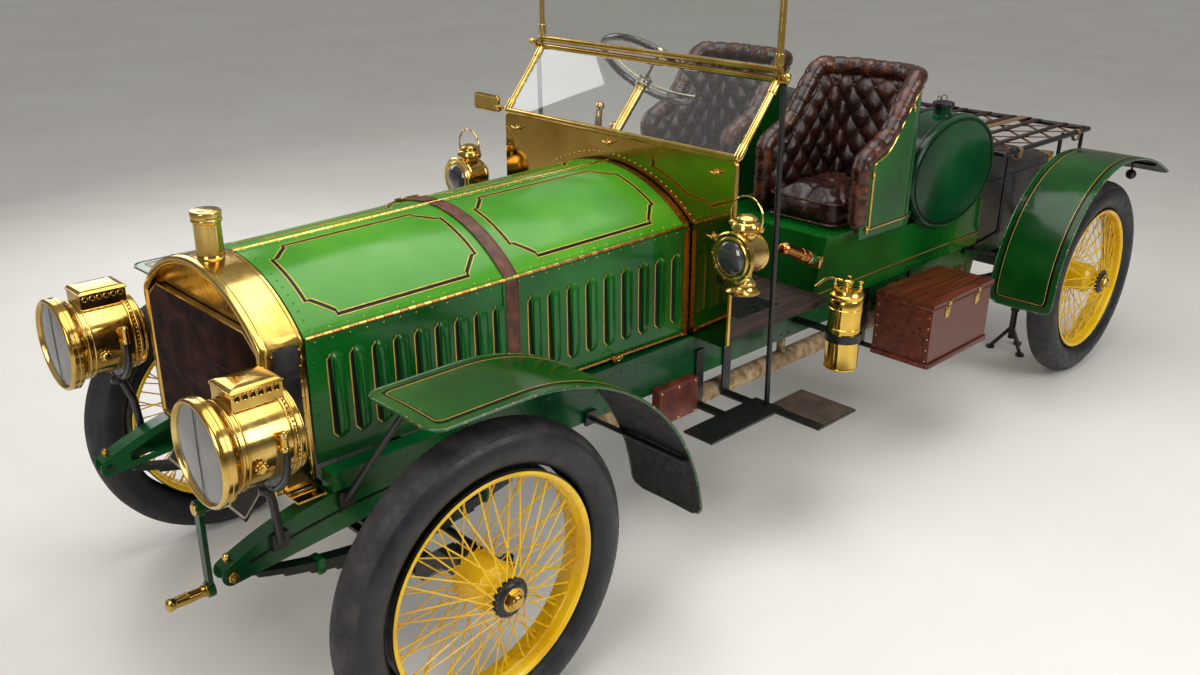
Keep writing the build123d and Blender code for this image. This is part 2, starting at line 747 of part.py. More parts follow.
louvre_table = [
    # first louvre, last louvre, how many
    (bonnet_front_y + 62, strap_y - 58, front_louvres),
    (strap_y + 66, bonnet_rear_y - 62, rear_louvres),
]
with BuildPart() as top_leaf:
    # rows: front end, rear end, inner face, outer face, start beside the middle hinge
    for front, rear, inner, outer, start in (
            (bonnet_front_y, bonnet_rear_y, -bonnet_sheet, 0, hinge_radius + fit),
            (strap_y - strap_width / 2, strap_y + strap_width / 2, fit, fit + strap_thickness, strap_gap)):
        loft([top_section(front, inner, outer, start), top_section(rear, inner, outer, start)], ruled=True)
with BuildPart() as side_leaf:
    with BuildSketch(bonnet_side):
        with BuildLine():
            Polyline(on_side(bonnet_front_y, front_corner.Z), on_side(bonnet_rear_y, rear_corner.Z),
                     on_side(bonnet_rear_y, bonnet_low), on_side(bonnet_front_y, bonnet_low), close=True)
        make_face()
    extrude(amount=-bonnet_sheet)
    rod(front_corner, rear_corner, hinge_radius)
    louvre_places = [first + (last - first) * i / (count - 1) for first, last,
                     count in louvre_table for i in range(count)]
    for y in louvre_places:
        front, rear = on_side(y, louvre_low), on_side(y, louvre_high)
        with BuildSketch(bonnet_side):
            with Locations(((front[0] + rear[0]) / 2, (front[1] + rear[1]) / 2)):
                Rectangle(louvre_width, louvre_high - louvre_low)
        extrude(amount=-bonnet_sheet, mode=Mode.SUBTRACT)
        hood = Plane(origin=bonnet_side.from_local_coords(Vector(front[0] + louvre_width / 2, front[1], 0)),
                     x_dir=bonnet_side.x_dir, z_dir=bonnet_side.y_dir)
        with BuildSketch(hood):
            with BuildLine():
                Polyline((0, 0), (-2, -louvre_rise), (30, 0), close=True)
            make_face()
        extrude(amount=louvre_high - louvre_low)
    strap_foot = on_side(strap_y, bonnet_low)
    with BuildSketch(bonnet_side.offset(fit)):
        with Locations((strap_foot[0], strap_foot[1] / 2)):
            Rectangle(strap_width, -strap_foot[1])
    extrude(amount=strap_thickness)
for place, side in (("left", 1), ("right", -1)):
    for source, name in ((top_leaf, "bonnet_top"), (side_leaf, "bonnet_side")):
        with BuildPart() as leaf:
            add(source.part if side > 0 else mirror(source.part, about=Plane.YZ))
        export(leaf, f"{name}_{place}")

with BuildPart() as bonnet_hinge:
    ends = [(0, y, bonnet_at(y)[2]) for y in (radiator_rear_y + fit, dash_y - fit)]
    rod(ends[0], ends[1], hinge_radius)
export(bonnet_hinge, "bonnet_hinge_rod")

# Dash: one upright polished sheet across the car, behind the bonnet
column = Plane(origin=(column_x, wheel_hub_y, wheel_hub_z), x_dir=(1, 0, 0),
               z_dir=(0, cos(radians(column_angle)), sin(radians(column_angle))))
with BuildPart() as dash:
    block((-dash_half, dash_half), (dash_y, dash_y + dash_thickness), (sill_high, dash_high))
    fillet(dash.edges().filter_by(Axis.Y), 14)
export(dash, "dash_panel")

# Floor boards of the open footwell
with BuildPart() as floor_boards:
    block((-floor_half, floor_half), (dash_y + dash_thickness, floor_rear_y),
          (sill_high, sill_high + board_thickness))
export(floor_boards, "floor_boards")

# Windscreen: the lower frame leans back from the dash, the upper one folds forward on the
# hinge in front of their meeting rails
hinge_lift = screen_tube + screen_gap / 2
screen_axis_y = screen_hinge_y - screen_tube - 2
lower_top_z = screen_hinge_z - hinge_lift
foot_z = dash_high + screen_tube + fit
with BuildPart() as screen_lower:
    for side in (-1, 1):
        rod((side * dash_half, screen_foot_y, foot_z), (side * dash_half, screen_hinge_y, lower_top_z),
            screen_tube)
        with Locations((side * dash_half, screen_foot_y, foot_z)):
            Sphere(screen_tube)
    rod((-dash_half, screen_foot_y, foot_z), (dash_half, screen_foot_y, foot_z), screen_tube)
    rod((-post_x - 13, screen_hinge_y, lower_top_z), (post_x + 13, screen_hinge_y, lower_top_z),
        screen_tube)
    rod((-dash_half, screen_foot_y, foot_z), (-dash_half - 70, screen_foot_y, foot_z + 12), 6)
    block((-724, -591), (screen_foot_y - 5, screen_foot_y + 5), (1303, 1359))
    for side in (-1, 1):
        rod((side * (dash_half - screen_tube), screen_axis_y, screen_hinge_z),
            (side * (ear_x + 7), screen_axis_y, screen_hinge_z), screen_pin)
        block(sorted((side * ear_x, side * (ear_x + 6))), (screen_axis_y - 8, screen_hinge_y),
              (lower_top_z - 6, screen_hinge_z + 8))
export(screen_lower, "screen_lower")
with BuildPart() as screen_upper:
    for side in (-1, 1):
        rod((side * dash_half, screen_hinge_y, screen_hinge_z + hinge_lift),
            (side * dash_half, screen_hinge_y, screen_top_z - screen_tube), screen_tube)
    for z in (screen_hinge_z + hinge_lift, screen_top_z - screen_tube):
        rod((-dash_half - screen_tube, screen_hinge_y, z), (dash_half + screen_tube, screen_hinge_y, z),
            screen_tube)
    for side in (-1, 1):
        rod((side * (dash_half - 9), screen_axis_y, screen_hinge_z),
            (side * (dash_half + 9), screen_axis_y, screen_hinge_z), 7)
        block(sorted((side * (dash_half - 9), side * (dash_half + 9))),
              (screen_axis_y - 6, screen_hinge_y), (screen_hinge_z + 3, screen_hinge_z + hinge_lift))
        rod((side * (dash_half - 20), screen_axis_y, screen_hinge_z),
            (side * (dash_half + 20), screen_axis_y, screen_hinge_z),
            screen_pin + running, Mode.SUBTRACT)
export(screen_upper, "screen_upper")
pane_reach = hypot(screen_hinge_y - screen_foot_y, lower_top_z - foot_z)
pane_lean = degrees(atan2(screen_hinge_y - screen_foot_y, lower_top_z - foot_z))
with BuildPart() as fixed_glass:
    with Locations(Location((0, (screen_foot_y + screen_hinge_y) / 2, (foot_z + lower_top_z) / 2),
                            (-pane_lean, 0, 0))):
        Box(2 * dash_half - 2 * screen_tube - 1, glass_thickness, pane_reach - 2 * screen_tube - 1)
    for x, y, z, radius in ((headlamp_x, headlamp_front_y + 4, headlamp_z, headlamp_ring - 12 - fit),
                            (sidelamp_x, sidelamp_front_y + 3, sidelamp_z, sidelamp_ring - 16 - fit)):
        for side in (-1, 1):
            with Locations(Location((side * x, y + lamp_glass / 2, z), (90, 0, 0))):
                Cylinder(radius, lamp_glass)
export(fixed_glass, "screen_and_lamp_glass")
with BuildPart() as upper_pane:
    block((-dash_half + screen_tube + 0.5, dash_half - screen_tube - 0.5),
          (screen_hinge_y - glass_thickness / 2, screen_hinge_y + glass_thickness / 2),
          (screen_hinge_z + hinge_lift + screen_tube + 0.5, screen_top_z - 2 * screen_tube - 0.5))
export(upper_pane, "screen_pane_upper")

# Body: a flared box under the seats and a lower tail that carries the tank in a saddle
def bucket(inset, thick, low, rise):
    """A horseshoe wall round one seat, its rim falling from the back to the arms."""
    with BuildSketch(Plane.XY.offset(low)) as wall:
        for grow, mode in ((0, Mode.ADD), (thick, Mode.SUBTRACT)):
            half = seat_outer - inset - grow
            rear = seat_rear_y - inset - grow
            corner = max(seat_corner - inset - grow, 20)
            with BuildLine():
                Line((seat_x - half, seat_front_y - grow), (seat_x - half, rear - corner))
                RadiusArc((seat_x - half, rear - corner), (seat_x - half + corner, rear), corner)
                Line((seat_x - half + corner, rear), (seat_x + half - corner, rear))
                RadiusArc((seat_x + half - corner, rear), (seat_x + half, rear - corner), corner)
                Line((seat_x + half, rear - corner), (seat_x + half, seat_front_y - grow))
                Line((seat_x + half, seat_front_y - grow), (seat_x - half, seat_front_y - grow))
            make_face(mode=mode)
    extrude(wall.sketch, amount=seat_high_rim + rise - low)
    with BuildSketch(Plane.YZ) as above:
        with BuildLine():
            Polyline((seat_front_y - 90, seat_low_rim + rise), (seat_front_y, seat_low_rim + rise),
                     (seat_front_y + 120, seat_low_rim + 70 + rise),
                     (seat_rear_y - 110, seat_high_rim + rise), (seat_rear_y - 110,
                                                                 seat_high_rim + 200), (seat_front_y - 90,
                                                                                        seat_high_rim + 200),
                     close=True)
        make_face()
    extrude(above.sketch, amount=2 * seat_x, mode=Mode.SUBTRACT)


with BuildPart() as body_tub:
    bucket(0, shell_thickness, base_high - 20, 0)
    mirror(about=Plane.YZ)
    with BuildSketch(Plane.XZ.offset(-floor_rear_y)):
        with BuildLine():
            Polyline((-base_half, rail_high), (base_half, rail_high), (base_half, sill_high),
                     (base_half + base_flare, base_high),
                     (-base_half - base_flare, base_high), (-base_half, sill_high), close=True)
        make_face()
    extrude(amount=-(seat_rear_y - floor_rear_y))
    block((-base_half, base_half), (seat_rear_y, tail_rear_y), (rail_high, tail_high))
    with BuildSketch(Plane.YZ.offset(-base_half)):
        with Locations((tank_y, tank_z)):
            Ellipse(tank_reach + fit, tank_height + fit)
    extrude(amount=2 * base_half, mode=Mode.SUBTRACT)
export(body_tub, "body_tub")
with BuildPart() as seat_leathers:
    bucket(shell_thickness + fit, leather_thickness, base_high, 10)
    mirror(about=Plane.YZ)
export(seat_leathers, "seat_leathers")
cushion_half = seat_outer - shell_thickness - leather_thickness - cushion_gap
cushion_rear_y = seat_rear_y - shell_thickness - leather_thickness - 3 * cushion_gap
with BuildPart() as seat_cushions:
    block((seat_x - cushion_half, seat_x + cushion_half), (seat_front_y - 40, cushion_rear_y),
          (base_high, cushion_high))
    fillet(seat_cushions.edges().filter_by(Axis.Z).group_by(Axis.Y)[-1], 72)
    fillet(seat_cushions.edges().group_by(Axis.Z)[-1], 28)
    mirror(about=Plane.YZ)
export(seat_cushions, "seat_cushions")

# Fuel tank: an oval drum across the car with coned ends and a filler on top
with BuildPart() as fuel_tank:
    with BuildSketch(Plane.YZ.offset(-tank_half)):
        with Locations((tank_y, tank_z)):
            Ellipse(tank_reach, tank_height)
    extrude(amount=2 * tank_half)
    for side in (-1, 1):
        for x, shrink in ((side * tank_half, 6), (side * (tank_half + tank_dome), 70)):
            with BuildSketch(Plane.YZ.offset(x)):
                with Locations((tank_y, tank_z)):
                    Ellipse(tank_reach - shrink, tank_height - shrink)
        loft(ruled=True)
    with Locations((tank_filler_x, tank_y, tank_z + tank_height - 20)):
        Cylinder(34, 48, align=(Align.CENTER, Align.CENTER, Align.MIN))
    with Locations((tank_filler_x, tank_y, tank_z + tank_height + 28)):
        Cylinder(42, 14, align=(Align.CENTER, Align.CENTER, Align.MIN))
export(fuel_tank, "fuel_tank")

# Luggage rack of round bars and flat slats behind the tank, on six posts from the rails
rack_post_radius = 9.0
rack_post_inset = 6.0
rack_knee_z, rack_foot_z = 700.0, 618.0
rack_foot_low, rack_foot_high, rack_foot_half, rack_foot_depth = 598.0, 640.0, 20.0, 14.0
rack_post_table = (rack_front_y + 60, front_axle_y + 3550, rack_rear_y - 50)
slat_count, slat_pitch, slat_half, slat_sunk, slat_proud = 7, 130.0, 12.0, 6.0, 2.0
trunk_front_y, trunk_rear_y, trunk_corner = front_axle_y + 3010, front_axle_y + 3720, 18.0
with BuildPart() as rack:
    for side in (-1, 1):
        rod((side * rack_half, rack_front_y, rack_z), (side * rack_half, rack_rear_y, rack_z), rack_bar)
        for y in rack_post_table:
            knee = (side * (rack_half - rack_post_inset), y, rack_knee_z)
            rod((side * (rack_half - rack_post_inset), y, rack_z), knee, rack_post_radius)
            rod(knee, (side * (rail_outer + 8), y, rack_foot_z), rack_post_radius)
            plate = sorted((side * rail_outer, side * (rail_outer + rack_foot_depth)))
            block(plate, (y - rack_foot_half, y + rack_foot_half), (rack_foot_low, rack_foot_high))
    for y in (rack_front_y, rack_rear_y):
        rod((-rack_half, y, rack_z), (rack_half, y, rack_z), rack_bar)
        for side in (-1, 1):
            with Locations((side * rack_half, y, rack_z)):
                Sphere(rack_bar)
    for i in range(slat_count):
        x = (i - (slat_count - 1) / 2) * slat_pitch
        block((x - slat_half, x + slat_half), (rack_front_y, rack_rear_y),
              (rack_z + rack_bar - slat_sunk, rack_z + rack_bar + slat_proud))
export(rack, "luggage_rack")
with BuildPart() as trunk:
    block((-trunk_half, trunk_half), (trunk_front_y, trunk_rear_y), (rail_high, trunk_high))
    fillet(trunk.edges().filter_by(Axis.Z), trunk_corner)
export(trunk, "rear_trunk")


# Wings: curved sheets over the tyres, their outer edges rolled over a wire
wing_tip_corner = 40.0
wing_wire = 3.5
def front_wing_line(drop):
    """The front wing's side outline, the same arc and flat moved in by the sheet."""
    radius = front_wing_radius - drop
    centre = (front_wing_turn_y, front_wing_top - front_wing_radius)
    low = asin((front_wing_low - centre[1]) / radius)

    def at(a):
        return (centre[0] + radius * cos(a), centre[1] + radius * sin(a))

    return (front_wing_tip_y, front_wing_top - drop), at(pi / 2), at((pi / 2 + low) / 2), at(low)


tail_drop = rear_tyre_radius + rear_wing_radius - rear_wing_tail_z
tail_run = rear_wing_tail_y - rear_axle_y
tail_radius = (tail_run ** 2 + tail_drop ** 2) / (2 * tail_drop)
tail_sweep = asin(tail_run / tail_radius)


def over_wheel(drop, a):
    """A point under the rear wing's round part, the angle taken back from the top."""
    radius = rear_wing_radius - drop
    return (rear_axle_y + radius * sin(a), rear_tyre_radius + radius * cos(a))


def along_tail(drop, a):
    """A point under the rear wing's long flat arc behind the wheel."""
    top = rear_tyre_radius + rear_wing_radius
    return (rear_axle_y + (tail_radius - drop) * sin(a), top - tail_radius + (tail_radius - drop) * cos(a))


def wing_points(drop):
    arcs = [over_wheel(drop, -pi / 2), over_wheel(drop, -pi / 4), over_wheel(drop, 0),
            along_tail(drop, tail_sweep / 2), along_tail(drop, tail_sweep)]
    return [(arcs[0][0], rear_wing_low)] + arcs


def wired_edge(x, outline):
    """The rolled edge: a round wire that follows the sheet's outline at its outer side."""
    with BuildLine(Plane.YZ.offset(x)) as edge:
        outline()
    with BuildSketch(Plane(origin=edge.line @ 0, x_dir=(1, 0, 0), z_dir=edge.line % 0)) as wire:
        Circle(wing_wire)
    sweep(wire.sketch, path=edge.line)


def front_edge():
    tip, turn, bow, low = front_wing_line(wing_sheet / 2)
    Line((tip[0] + wing_tip_corner, tip[1]), turn)
    ThreePointArc(turn, bow, low)


def rear_edge():
    foot, side_top, bow, top, tail_bow, tail = wing_points(wing_sheet / 2)
    Line(foot, side_top)
    ThreePointArc(side_top, bow, top)
    ThreePointArc(top, tail_bow, tail)


with BuildPart() as wings:
    tip, turn, bow, low = front_wing_line(0)
    tip_in, turn_in, bow_in, low_in = front_wing_line(wing_sheet)
    with BuildSketch(Plane.YZ.offset(wing_inner)):
        with BuildLine():
            Line(tip, turn)
            ThreePointArc(turn, bow, low)
            Line(low, low_in)
            ThreePointArc(low_in, bow_in, turn_in)
            Line(turn_in, tip_in)
            Line(tip_in, tip)
        make_face()
    extrude(amount=wing_outer - wing_inner)
    fillet(wings.edges().filter_by(Axis.Z).group_by(Axis.Y)[0], wing_tip_corner)
    wired_edge(wing_outer, front_edge)
    foot, side_top, bow, top, tail_bow, tail = wing_points(0)
    foot_in, side_in, bow_in, top_in, tail_bow_in, tail_in = wing_points(wing_sheet)
    with BuildSketch(Plane.YZ.offset(rear_wing_inner)):
        with BuildLine():
            Line(foot, side_top)
            ThreePointArc(side_top, bow, top)
            ThreePointArc(top, tail_bow, tail)
            Line(tail, tail_in)
            ThreePointArc(tail_in, tail_bow_in, top_in)
            ThreePointArc(top_in, bow_in, side_in)
            Line(side_in, foot_in)
            Line(foot_in, foot)
        make_face()
    extrude(amount=rear_wing_outer - rear_wing_inner)
    wired_edge(rear_wing_outer, rear_edge)
    mirror(about=Plane.YZ)
export(wings, "wings")


# Black iron stays for the wings, lamps and windscreen, each on a foot bolted to its rail
def rail_foot(side, y, z, radius=stay_radius):
    """A small plate on the rail's outer face, and the point inside it where a stay starts."""
    block(sorted((side * rail_outer, side * (rail_outer + foot_thickness))),
          (y - foot_half, y + foot_half), (z - foot_half, z + foot_half))
    return (side * (rail_outer + radius + 1), y, z)


under_wing = wing_sheet + stay_radius + fit
wing_pad_y, wing_pad_half, wing_pad_deep = front_axle_y - 150, 16.0, 8.0
wing_pad_inner, wing_pad_outer, wing_stay_x = 615.0, 662.0, 640.0
wing_stay_foot_y, wing_stay_foot_z = front_axle_y - 190, 622.0
stay_knee_inset, stay_knee_drop, stay_bend = 30.0, 170.0, 30.0
lamp_iron_foot_z, lamp_iron_knee_z, lamp_iron_set, lamp_iron_bend = 580.0, 690.0, 35.0, 20.0
lamp_arm_radius, lamp_arm_drop, lamp_seat_radius = 7.0, 7.0, 30.0
box_iron_inset, box_iron_half, box_iron_thick = 60.0, 16.0, 8.0
generator_iron_low, generator_iron_high, generator_iron_half, generator_hoop = 600.0, 612.0, 18.0, 8.0
front_bar_rise = stay_low_z - front_wing_top + front_wing_radius
front_bar_y = front_wing_turn_y + ((front_wing_radius - under_wing) ** 2 - front_bar_rise ** 2) ** 0.5
rear_bar_y = rear_axle_y - ((rear_wing_radius - under_wing) ** 2 - (stay_high_z - rear_tyre_radius) ** 2) ** 0.5
with BuildPart() as stays:
    for side in (-1, 1):
        # front wing: a sloping stay to the flat, and a level bar under the round part
        pad_z = front_wing_top - wing_sheet
        rod(rail_foot(side, wing_stay_foot_y, wing_stay_foot_z),
            (side * wing_stay_x, wing_pad_y, pad_z - 6), stay_radius)
        block(sorted((side * wing_pad_inner, side * wing_pad_outer)),
              (wing_pad_y - wing_pad_half, wing_pad_y + wing_pad_half), (pad_z - wing_pad_deep, pad_z))
        rod(rail_foot(side, front_bar_y, stay_low_z),
            (side * (wing_outer - stay_inset), front_bar_y, stay_low_z), stay_radius)
        # rear wing: a level bar in front, and two bent stays over the wheel and under the tail
        rod(rail_foot(side, rear_bar_y, stay_high_z),
            (side * (rear_wing_outer - stay_inset), rear_bar_y, stay_high_z), stay_radius)
        for y, z in (over_wheel(under_wing, 0), along_tail(under_wing, 0.7 * tail_sweep)):
            knee = side * (rear_wing_inner + stay_knee_inset)
            bent_rod([rail_foot(side, y, stay_high_z), (knee - side * 20, y, z - stay_knee_drop),
                      (knee, y, z),
                      (side * (rear_wing_outer - stay_inset), y, z)], stay_bend, stay_radius)
        # windscreen post down to the step, and the lamps' irons
        rod((side * post_x, screen_hinge_y, lower_top_z - screen_tube - 2 * fit),
            (side * post_x, post_foot_y, step_z + 2 * fit), post_radius)
        iron_y = headlamp_front_y + headlamp_iron
        bent_rod([rail_foot(side, iron_y + lamp_iron_set, lamp_iron_foot_z, iron_radius),
                  (side * (rail_outer + 14), iron_y + lamp_iron_set - 10, lamp_iron_knee_z),
                  (side * headlamp_x, iron_y, headlamp_z - headlamp_body - 12)], lamp_iron_bend, iron_radius)
        with BuildSketch(Plane.XZ.offset(-iron_y - 9)):
            with Locations((side * headlamp_x, headlamp_z)):
                Circle(headlamp_body + 16)
                Circle(headlamp_body + fit, mode=Mode.SUBTRACT)
            with Locations((side * headlamp_x, headlamp_z + headlamp_body)):
                Rectangle(4 * headlamp_body, 2 * headlamp_body, mode=Mode.SUBTRACT)
        extrude(amount=18)
        arm_z = sidelamp_base_z - lamp_arm_drop
        rod((side * (dash_half - 20), dash_y - 8, arm_z),
            (side * sidelamp_x, sidelamp_front_y + sidelamp_stem, arm_z), lamp_arm_radius)
        with Locations((side * sidelamp_x, sidelamp_front_y + sidelamp_stem, sidelamp_base_z - 2)):
            Cylinder(lamp_seat_radius, 4)
        block(sorted((side * (dash_half - 40), side * (dash_half - 8))), (dash_y - 12, dash_y),
              (arm_z - 20, arm_z + 20))
    for y in (box_front_y + box_iron_inset, box_rear_y - box_iron_inset):
        span = (y - box_iron_half, y + box_iron_half)
        block((rail_outer, rail_outer + box_iron_thick), span, (box_low - box_iron_thick, 640))
        block((rail_outer, box_outer - 20), span, (box_low - box_iron_thick, box_low))
    block((rail_outer, generator_x - generator_radius - fit),
          (generator_y - generator_iron_half, generator_y + generator_iron_half), (generator_iron_low,
                                                                                   generator_iron_high))
    with Locations((generator_x, generator_y, (generator_iron_low + generator_iron_high) / 2)):
        Cylinder(generator_radius + generator_hoop, 30)
        Cylinder(generator_radius + fit, 30, mode=Mode.SUBTRACT)
export(stays, "iron_stays")

# Steps: a plate on two straps from the rail, with a padded tread behind it
step_plate, step_strap_half, step_strap_high = 8.0, 20.0, 640.0
with BuildPart() as steps:
    block((step_inner, step_edge), (step_front_y, step_rear_y + 20), (step_z - step_plate, step_z))
    block((step_edge - 60, step_outer), (step_rear_y - 10, pad_rear_y),
          (step_z - 2 * step_plate, step_z - step_plate))
    for y in (step_front_y + 190, step_rear_y - 20):
        span = (y - step_strap_half, y + step_strap_half)
        block((rail_outer, rail_outer + step_plate), span, (step_z - step_plate, step_strap_high))
        block((rail_outer, step_inner), span, (step_z - step_plate, step_z))
    mirror(about=Plane.YZ)
export(steps, "steps")

# Toolbox on the left side, its lid hinged along the inner top edge
with BuildPart() as toolbox:
    rim = box_high - lid_thickness - 0.5
    block((box_inner, box_outer), (box_front_y, box_rear_y), (box_low, rim))
    block((box_inner + box_wall, box_outer - box_wall), (box_front_y + box_wall, box_rear_y - box_wall),
          (box_low + box_wall, rim), mode=Mode.SUBTRACT)
export(toolbox, "toolbox")
with BuildPart() as toolbox_lid:
    block((box_inner, box_outer + 6), (box_front_y - 6, box_rear_y + 6),
          (box_high - lid_thickness, box_high))
    # hinge knuckles along the inner top edge
    for y in (box_front_y + box_iron_inset, box_rear_y - box_iron_inset - knuckle_length):
        rod((box_inner, y, box_high), (box_inner, y + knuckle_length, box_high), knuckle_radius)
export(toolbox_lid, "toolbox_lid")

# Acetylene generator and a small copper cylinder behind the dash
with BuildPart() as generator:
    with Locations((generator_x, generator_y, generator_low)):
        Cylinder(generator_radius, generator_high - generator_low,
                 align=(Align.CENTER, Align.CENTER, Align.MIN))
    for low, high in ((generator_low, generator_low + 12), (700, 712),
                      (generator_high - 14, generator_high)):
        rod((generator_x, generator_y, low), (generator_x, generator_y, high),
            generator_radius + generator_band)
    rod((generator_x, generator_y, generator_high), (generator_x, generator_y, generator_high + 26), 14)
    for side in (-1, 1):
        valve = (generator_x + side * generator_valve_x, generator_y)
        rod((*valve, generator_high), (*valve, generator_high + 20), 4)
        rod((*valve, generator_high + 20), (*valve, generator_high + 28), 9)
export(generator, "gas_generator")

# Casing hung on the left rail behind the front wing
with BuildPart() as casing:
    block((rail_outer, rail_outer + casing_depth), (casing_front_y, casing_rear_y),
          (casing_low, casing_high))
    fillet(casing.edges().filter_by(Axis.Y).group_by(Axis.X)[-1], 12)
export(casing, "side_casing")

# Air pump for the tank: a sloping brass barrel on a block in front of the left seat
with BuildPart() as pump:
    block((pump_x - 20, pump_x + 20), (floor_rear_y - 20, floor_rear_y), (pump_low_z - 20, pump_low_z + 20))
    rod((pump_x, pump_front_y, pump_high_z), (pump_x, floor_rear_y - 12, pump_low_z), pump_radius)
    rod((pump_x, pump_front_y - 34, pump_high_z + 14), (pump_x, pump_front_y, pump_high_z), 7)
    with Locations((pump_x, pump_front_y - 34, pump_high_z + 14)):
        Sphere(17)
export(pump, "air_pump")


# Lamps: drum headlamps with a vent box on top, and bottle-shaped side lamps
def turned(x, y, z, points):
    """A shape turned about a fore and aft axis, from (distance back, radius) points."""
    with BuildSketch(Plane(origin=(x, y, z), x_dir=(0, 1, 0), z_dir=(1, 0, 0))) as profile:
        with BuildLine():
            Polyline(*points, close=True)
        make_face()
    revolve(profile.sketch, axis=Axis((x, y, z), (0, 1, 0)))


with BuildPart() as headlamps:
    r, body, back = headlamp_ring, headlamp_body, headlamp_length
    turned(headlamp_x, headlamp_front_y, headlamp_z,
           [(0, r - 12), (0, r - 3), (4, r), (26, r), (30, r - 6), (34, r - 12), (46, body),
            (back - 35, body), (back - 24, body - 8),
            (back - 8, 62), (back, 40), (back, 0), (back - 5, 0), (back - 5, 36), (back - 13,
                                                                                   60), (back - 29,
                                                                                         body - 13),
            (back - 38, body - 5), (44, body - 5), (20, r - 12)])
    block((headlamp_x - 48, headlamp_x + 48), (headlamp_front_y + 66, headlamp_front_y + 190),
          (headlamp_z + body - 14, headlamp_z + body + 34))
    block((headlamp_x - 44, headlamp_x + 44), (headlamp_front_y + 70, headlamp_front_y + 186),
          (headlamp_z + body - 14, headlamp_z + body + 30), mode=Mode.SUBTRACT)
    with Locations([Location((headlamp_x, headlamp_front_y + 80 + i * 19, headlamp_z + body + 18),
                             (0, 90, 0)) for i in range(6)]):
        Cylinder(6, 120, mode=Mode.SUBTRACT)
    # sockets on the drum's flanks, over the ends of the fork
    for side in (-1, 1):
        socket = (headlamp_x + side * (body + 8), headlamp_front_y + headlamp_iron)
        rod((*socket, headlamp_z + fit), (*socket, headlamp_z + fit + socket_height), socket_radius)
    mirror(about=Plane.YZ)
export(headlamps, "headlamps")
# rows: low and high end and radius of each tier of a side lamp, from its base to its cap
sidelamp_tiers = ((sidelamp_base_z + fit, 958, 54), (958, 978, 40), (978, 1012, 26), (1118, 1140, 34),
                  (1140, 1172, 44), (1172, 1186, 24))
bail_z, bail_outer, bail_inner, bail_thick = 1180.0, 62.0, 56.0, 6.0
with BuildPart() as sidelamps:
    r = sidelamp_ring
    middle_y = sidelamp_front_y + sidelamp_stem
    turned(sidelamp_x, sidelamp_front_y, sidelamp_z,
           [(0, r - 16), (0, r - 4), (6, r), (16, r), (22, r - 14), (110, r - 18), (124, r - 30),
            (130, 20), (130, 0), (126, 0), (120, r - 34), (20, r - 22), (12, r - 16)])
    for low, high, wide in sidelamp_tiers:
        with Locations((sidelamp_x, middle_y, low)):
            Cylinder(wide, high - low, align=(Align.CENTER, Align.CENTER, Align.MIN))
    with BuildSketch(Plane.XZ.offset(-middle_y - bail_thick / 2)):
        with Locations((sidelamp_x, bail_z)):
            Circle(bail_outer)
            Circle(bail_inner, mode=Mode.SUBTRACT)
    extrude(amount=bail_thick)
    mirror(about=Plane.YZ)
export(sidelamps, "side_lamps")

# Tail lamp: a small ball on a stem under the left rear wing's tail
with BuildPart() as tail_lamp:
    lamp_y, wing_z = along_tail(wing_sheet, asin(tail_lamp_run / tail_radius))
    lamp_z = wing_z - tail_lamp_drop
    with Locations((tail_lamp_x, lamp_y, lamp_z)):
        Sphere(tail_lamp_radius)
    rod((tail_lamp_x, lamp_y, lamp_z), (tail_lamp_x, lamp_y, wing_z - 3), 5)
export(tail_lamp, "tail_lamp")

# Number plate, blank, leaning back between the dumb irons
plate_y, plate_z, plate_lean = front_axle_y - 350, 600.0, 40.0
plate_wide, plate_thick, plate_tall = 460.0, 4.0, 110.0
plate_stay_x, plate_stay_radius, plate_stay_end_y = 150.0, 6.0, front_axle_y - 212
with BuildPart() as plate:
    with Locations(Location((0, plate_y, plate_z), (-plate_lean, 0, 0))):
        Box(plate_wide, plate_thick, plate_tall)
    for side in (-1, 1):
        rod((side * plate_stay_x, plate_y + 5, plate_z),
            (side * plate_stay_x, plate_stay_end_y - fit, plate_z - 10), plate_stay_radius)
export(plate, "number_plate")

# Steering column and its box on the dash, the wheel, the levers and the pedals
hub_seat, hub_radius, hub_length, hub_start = 24.0, 30.0, 38.0, 23.0
wheel_shaft, wheel_shaft_length, wheel_shaft_bore, spoke_radius, spoke_count = 9.0, 70.0, 62.0, 8.0, 4
steering_box_half, steering_box_length, steering_box_rise = 45.0, 80.0, 30.0
with BuildPart() as steering_column:
    with BuildSketch(column.offset(-hub_seat)):
        Circle(column_radius)
    extrude(amount=-column_length)
    foot = column.from_local_coords(Vector(0, 0, -hub_seat - column_length))
    block((column_x - steering_box_half, column_x + steering_box_half),
          (dash_y + dash_thickness, dash_y + dash_thickness + steering_box_length),
          (sill_high + board_thickness, foot.Z + steering_box_rise))
    with BuildSketch(column.offset(-hub_seat)):
        Circle(wheel_shaft + running)
    extrude(amount=-wheel_shaft_bore, mode=Mode.SUBTRACT)
export(steering_column, "steering_column")
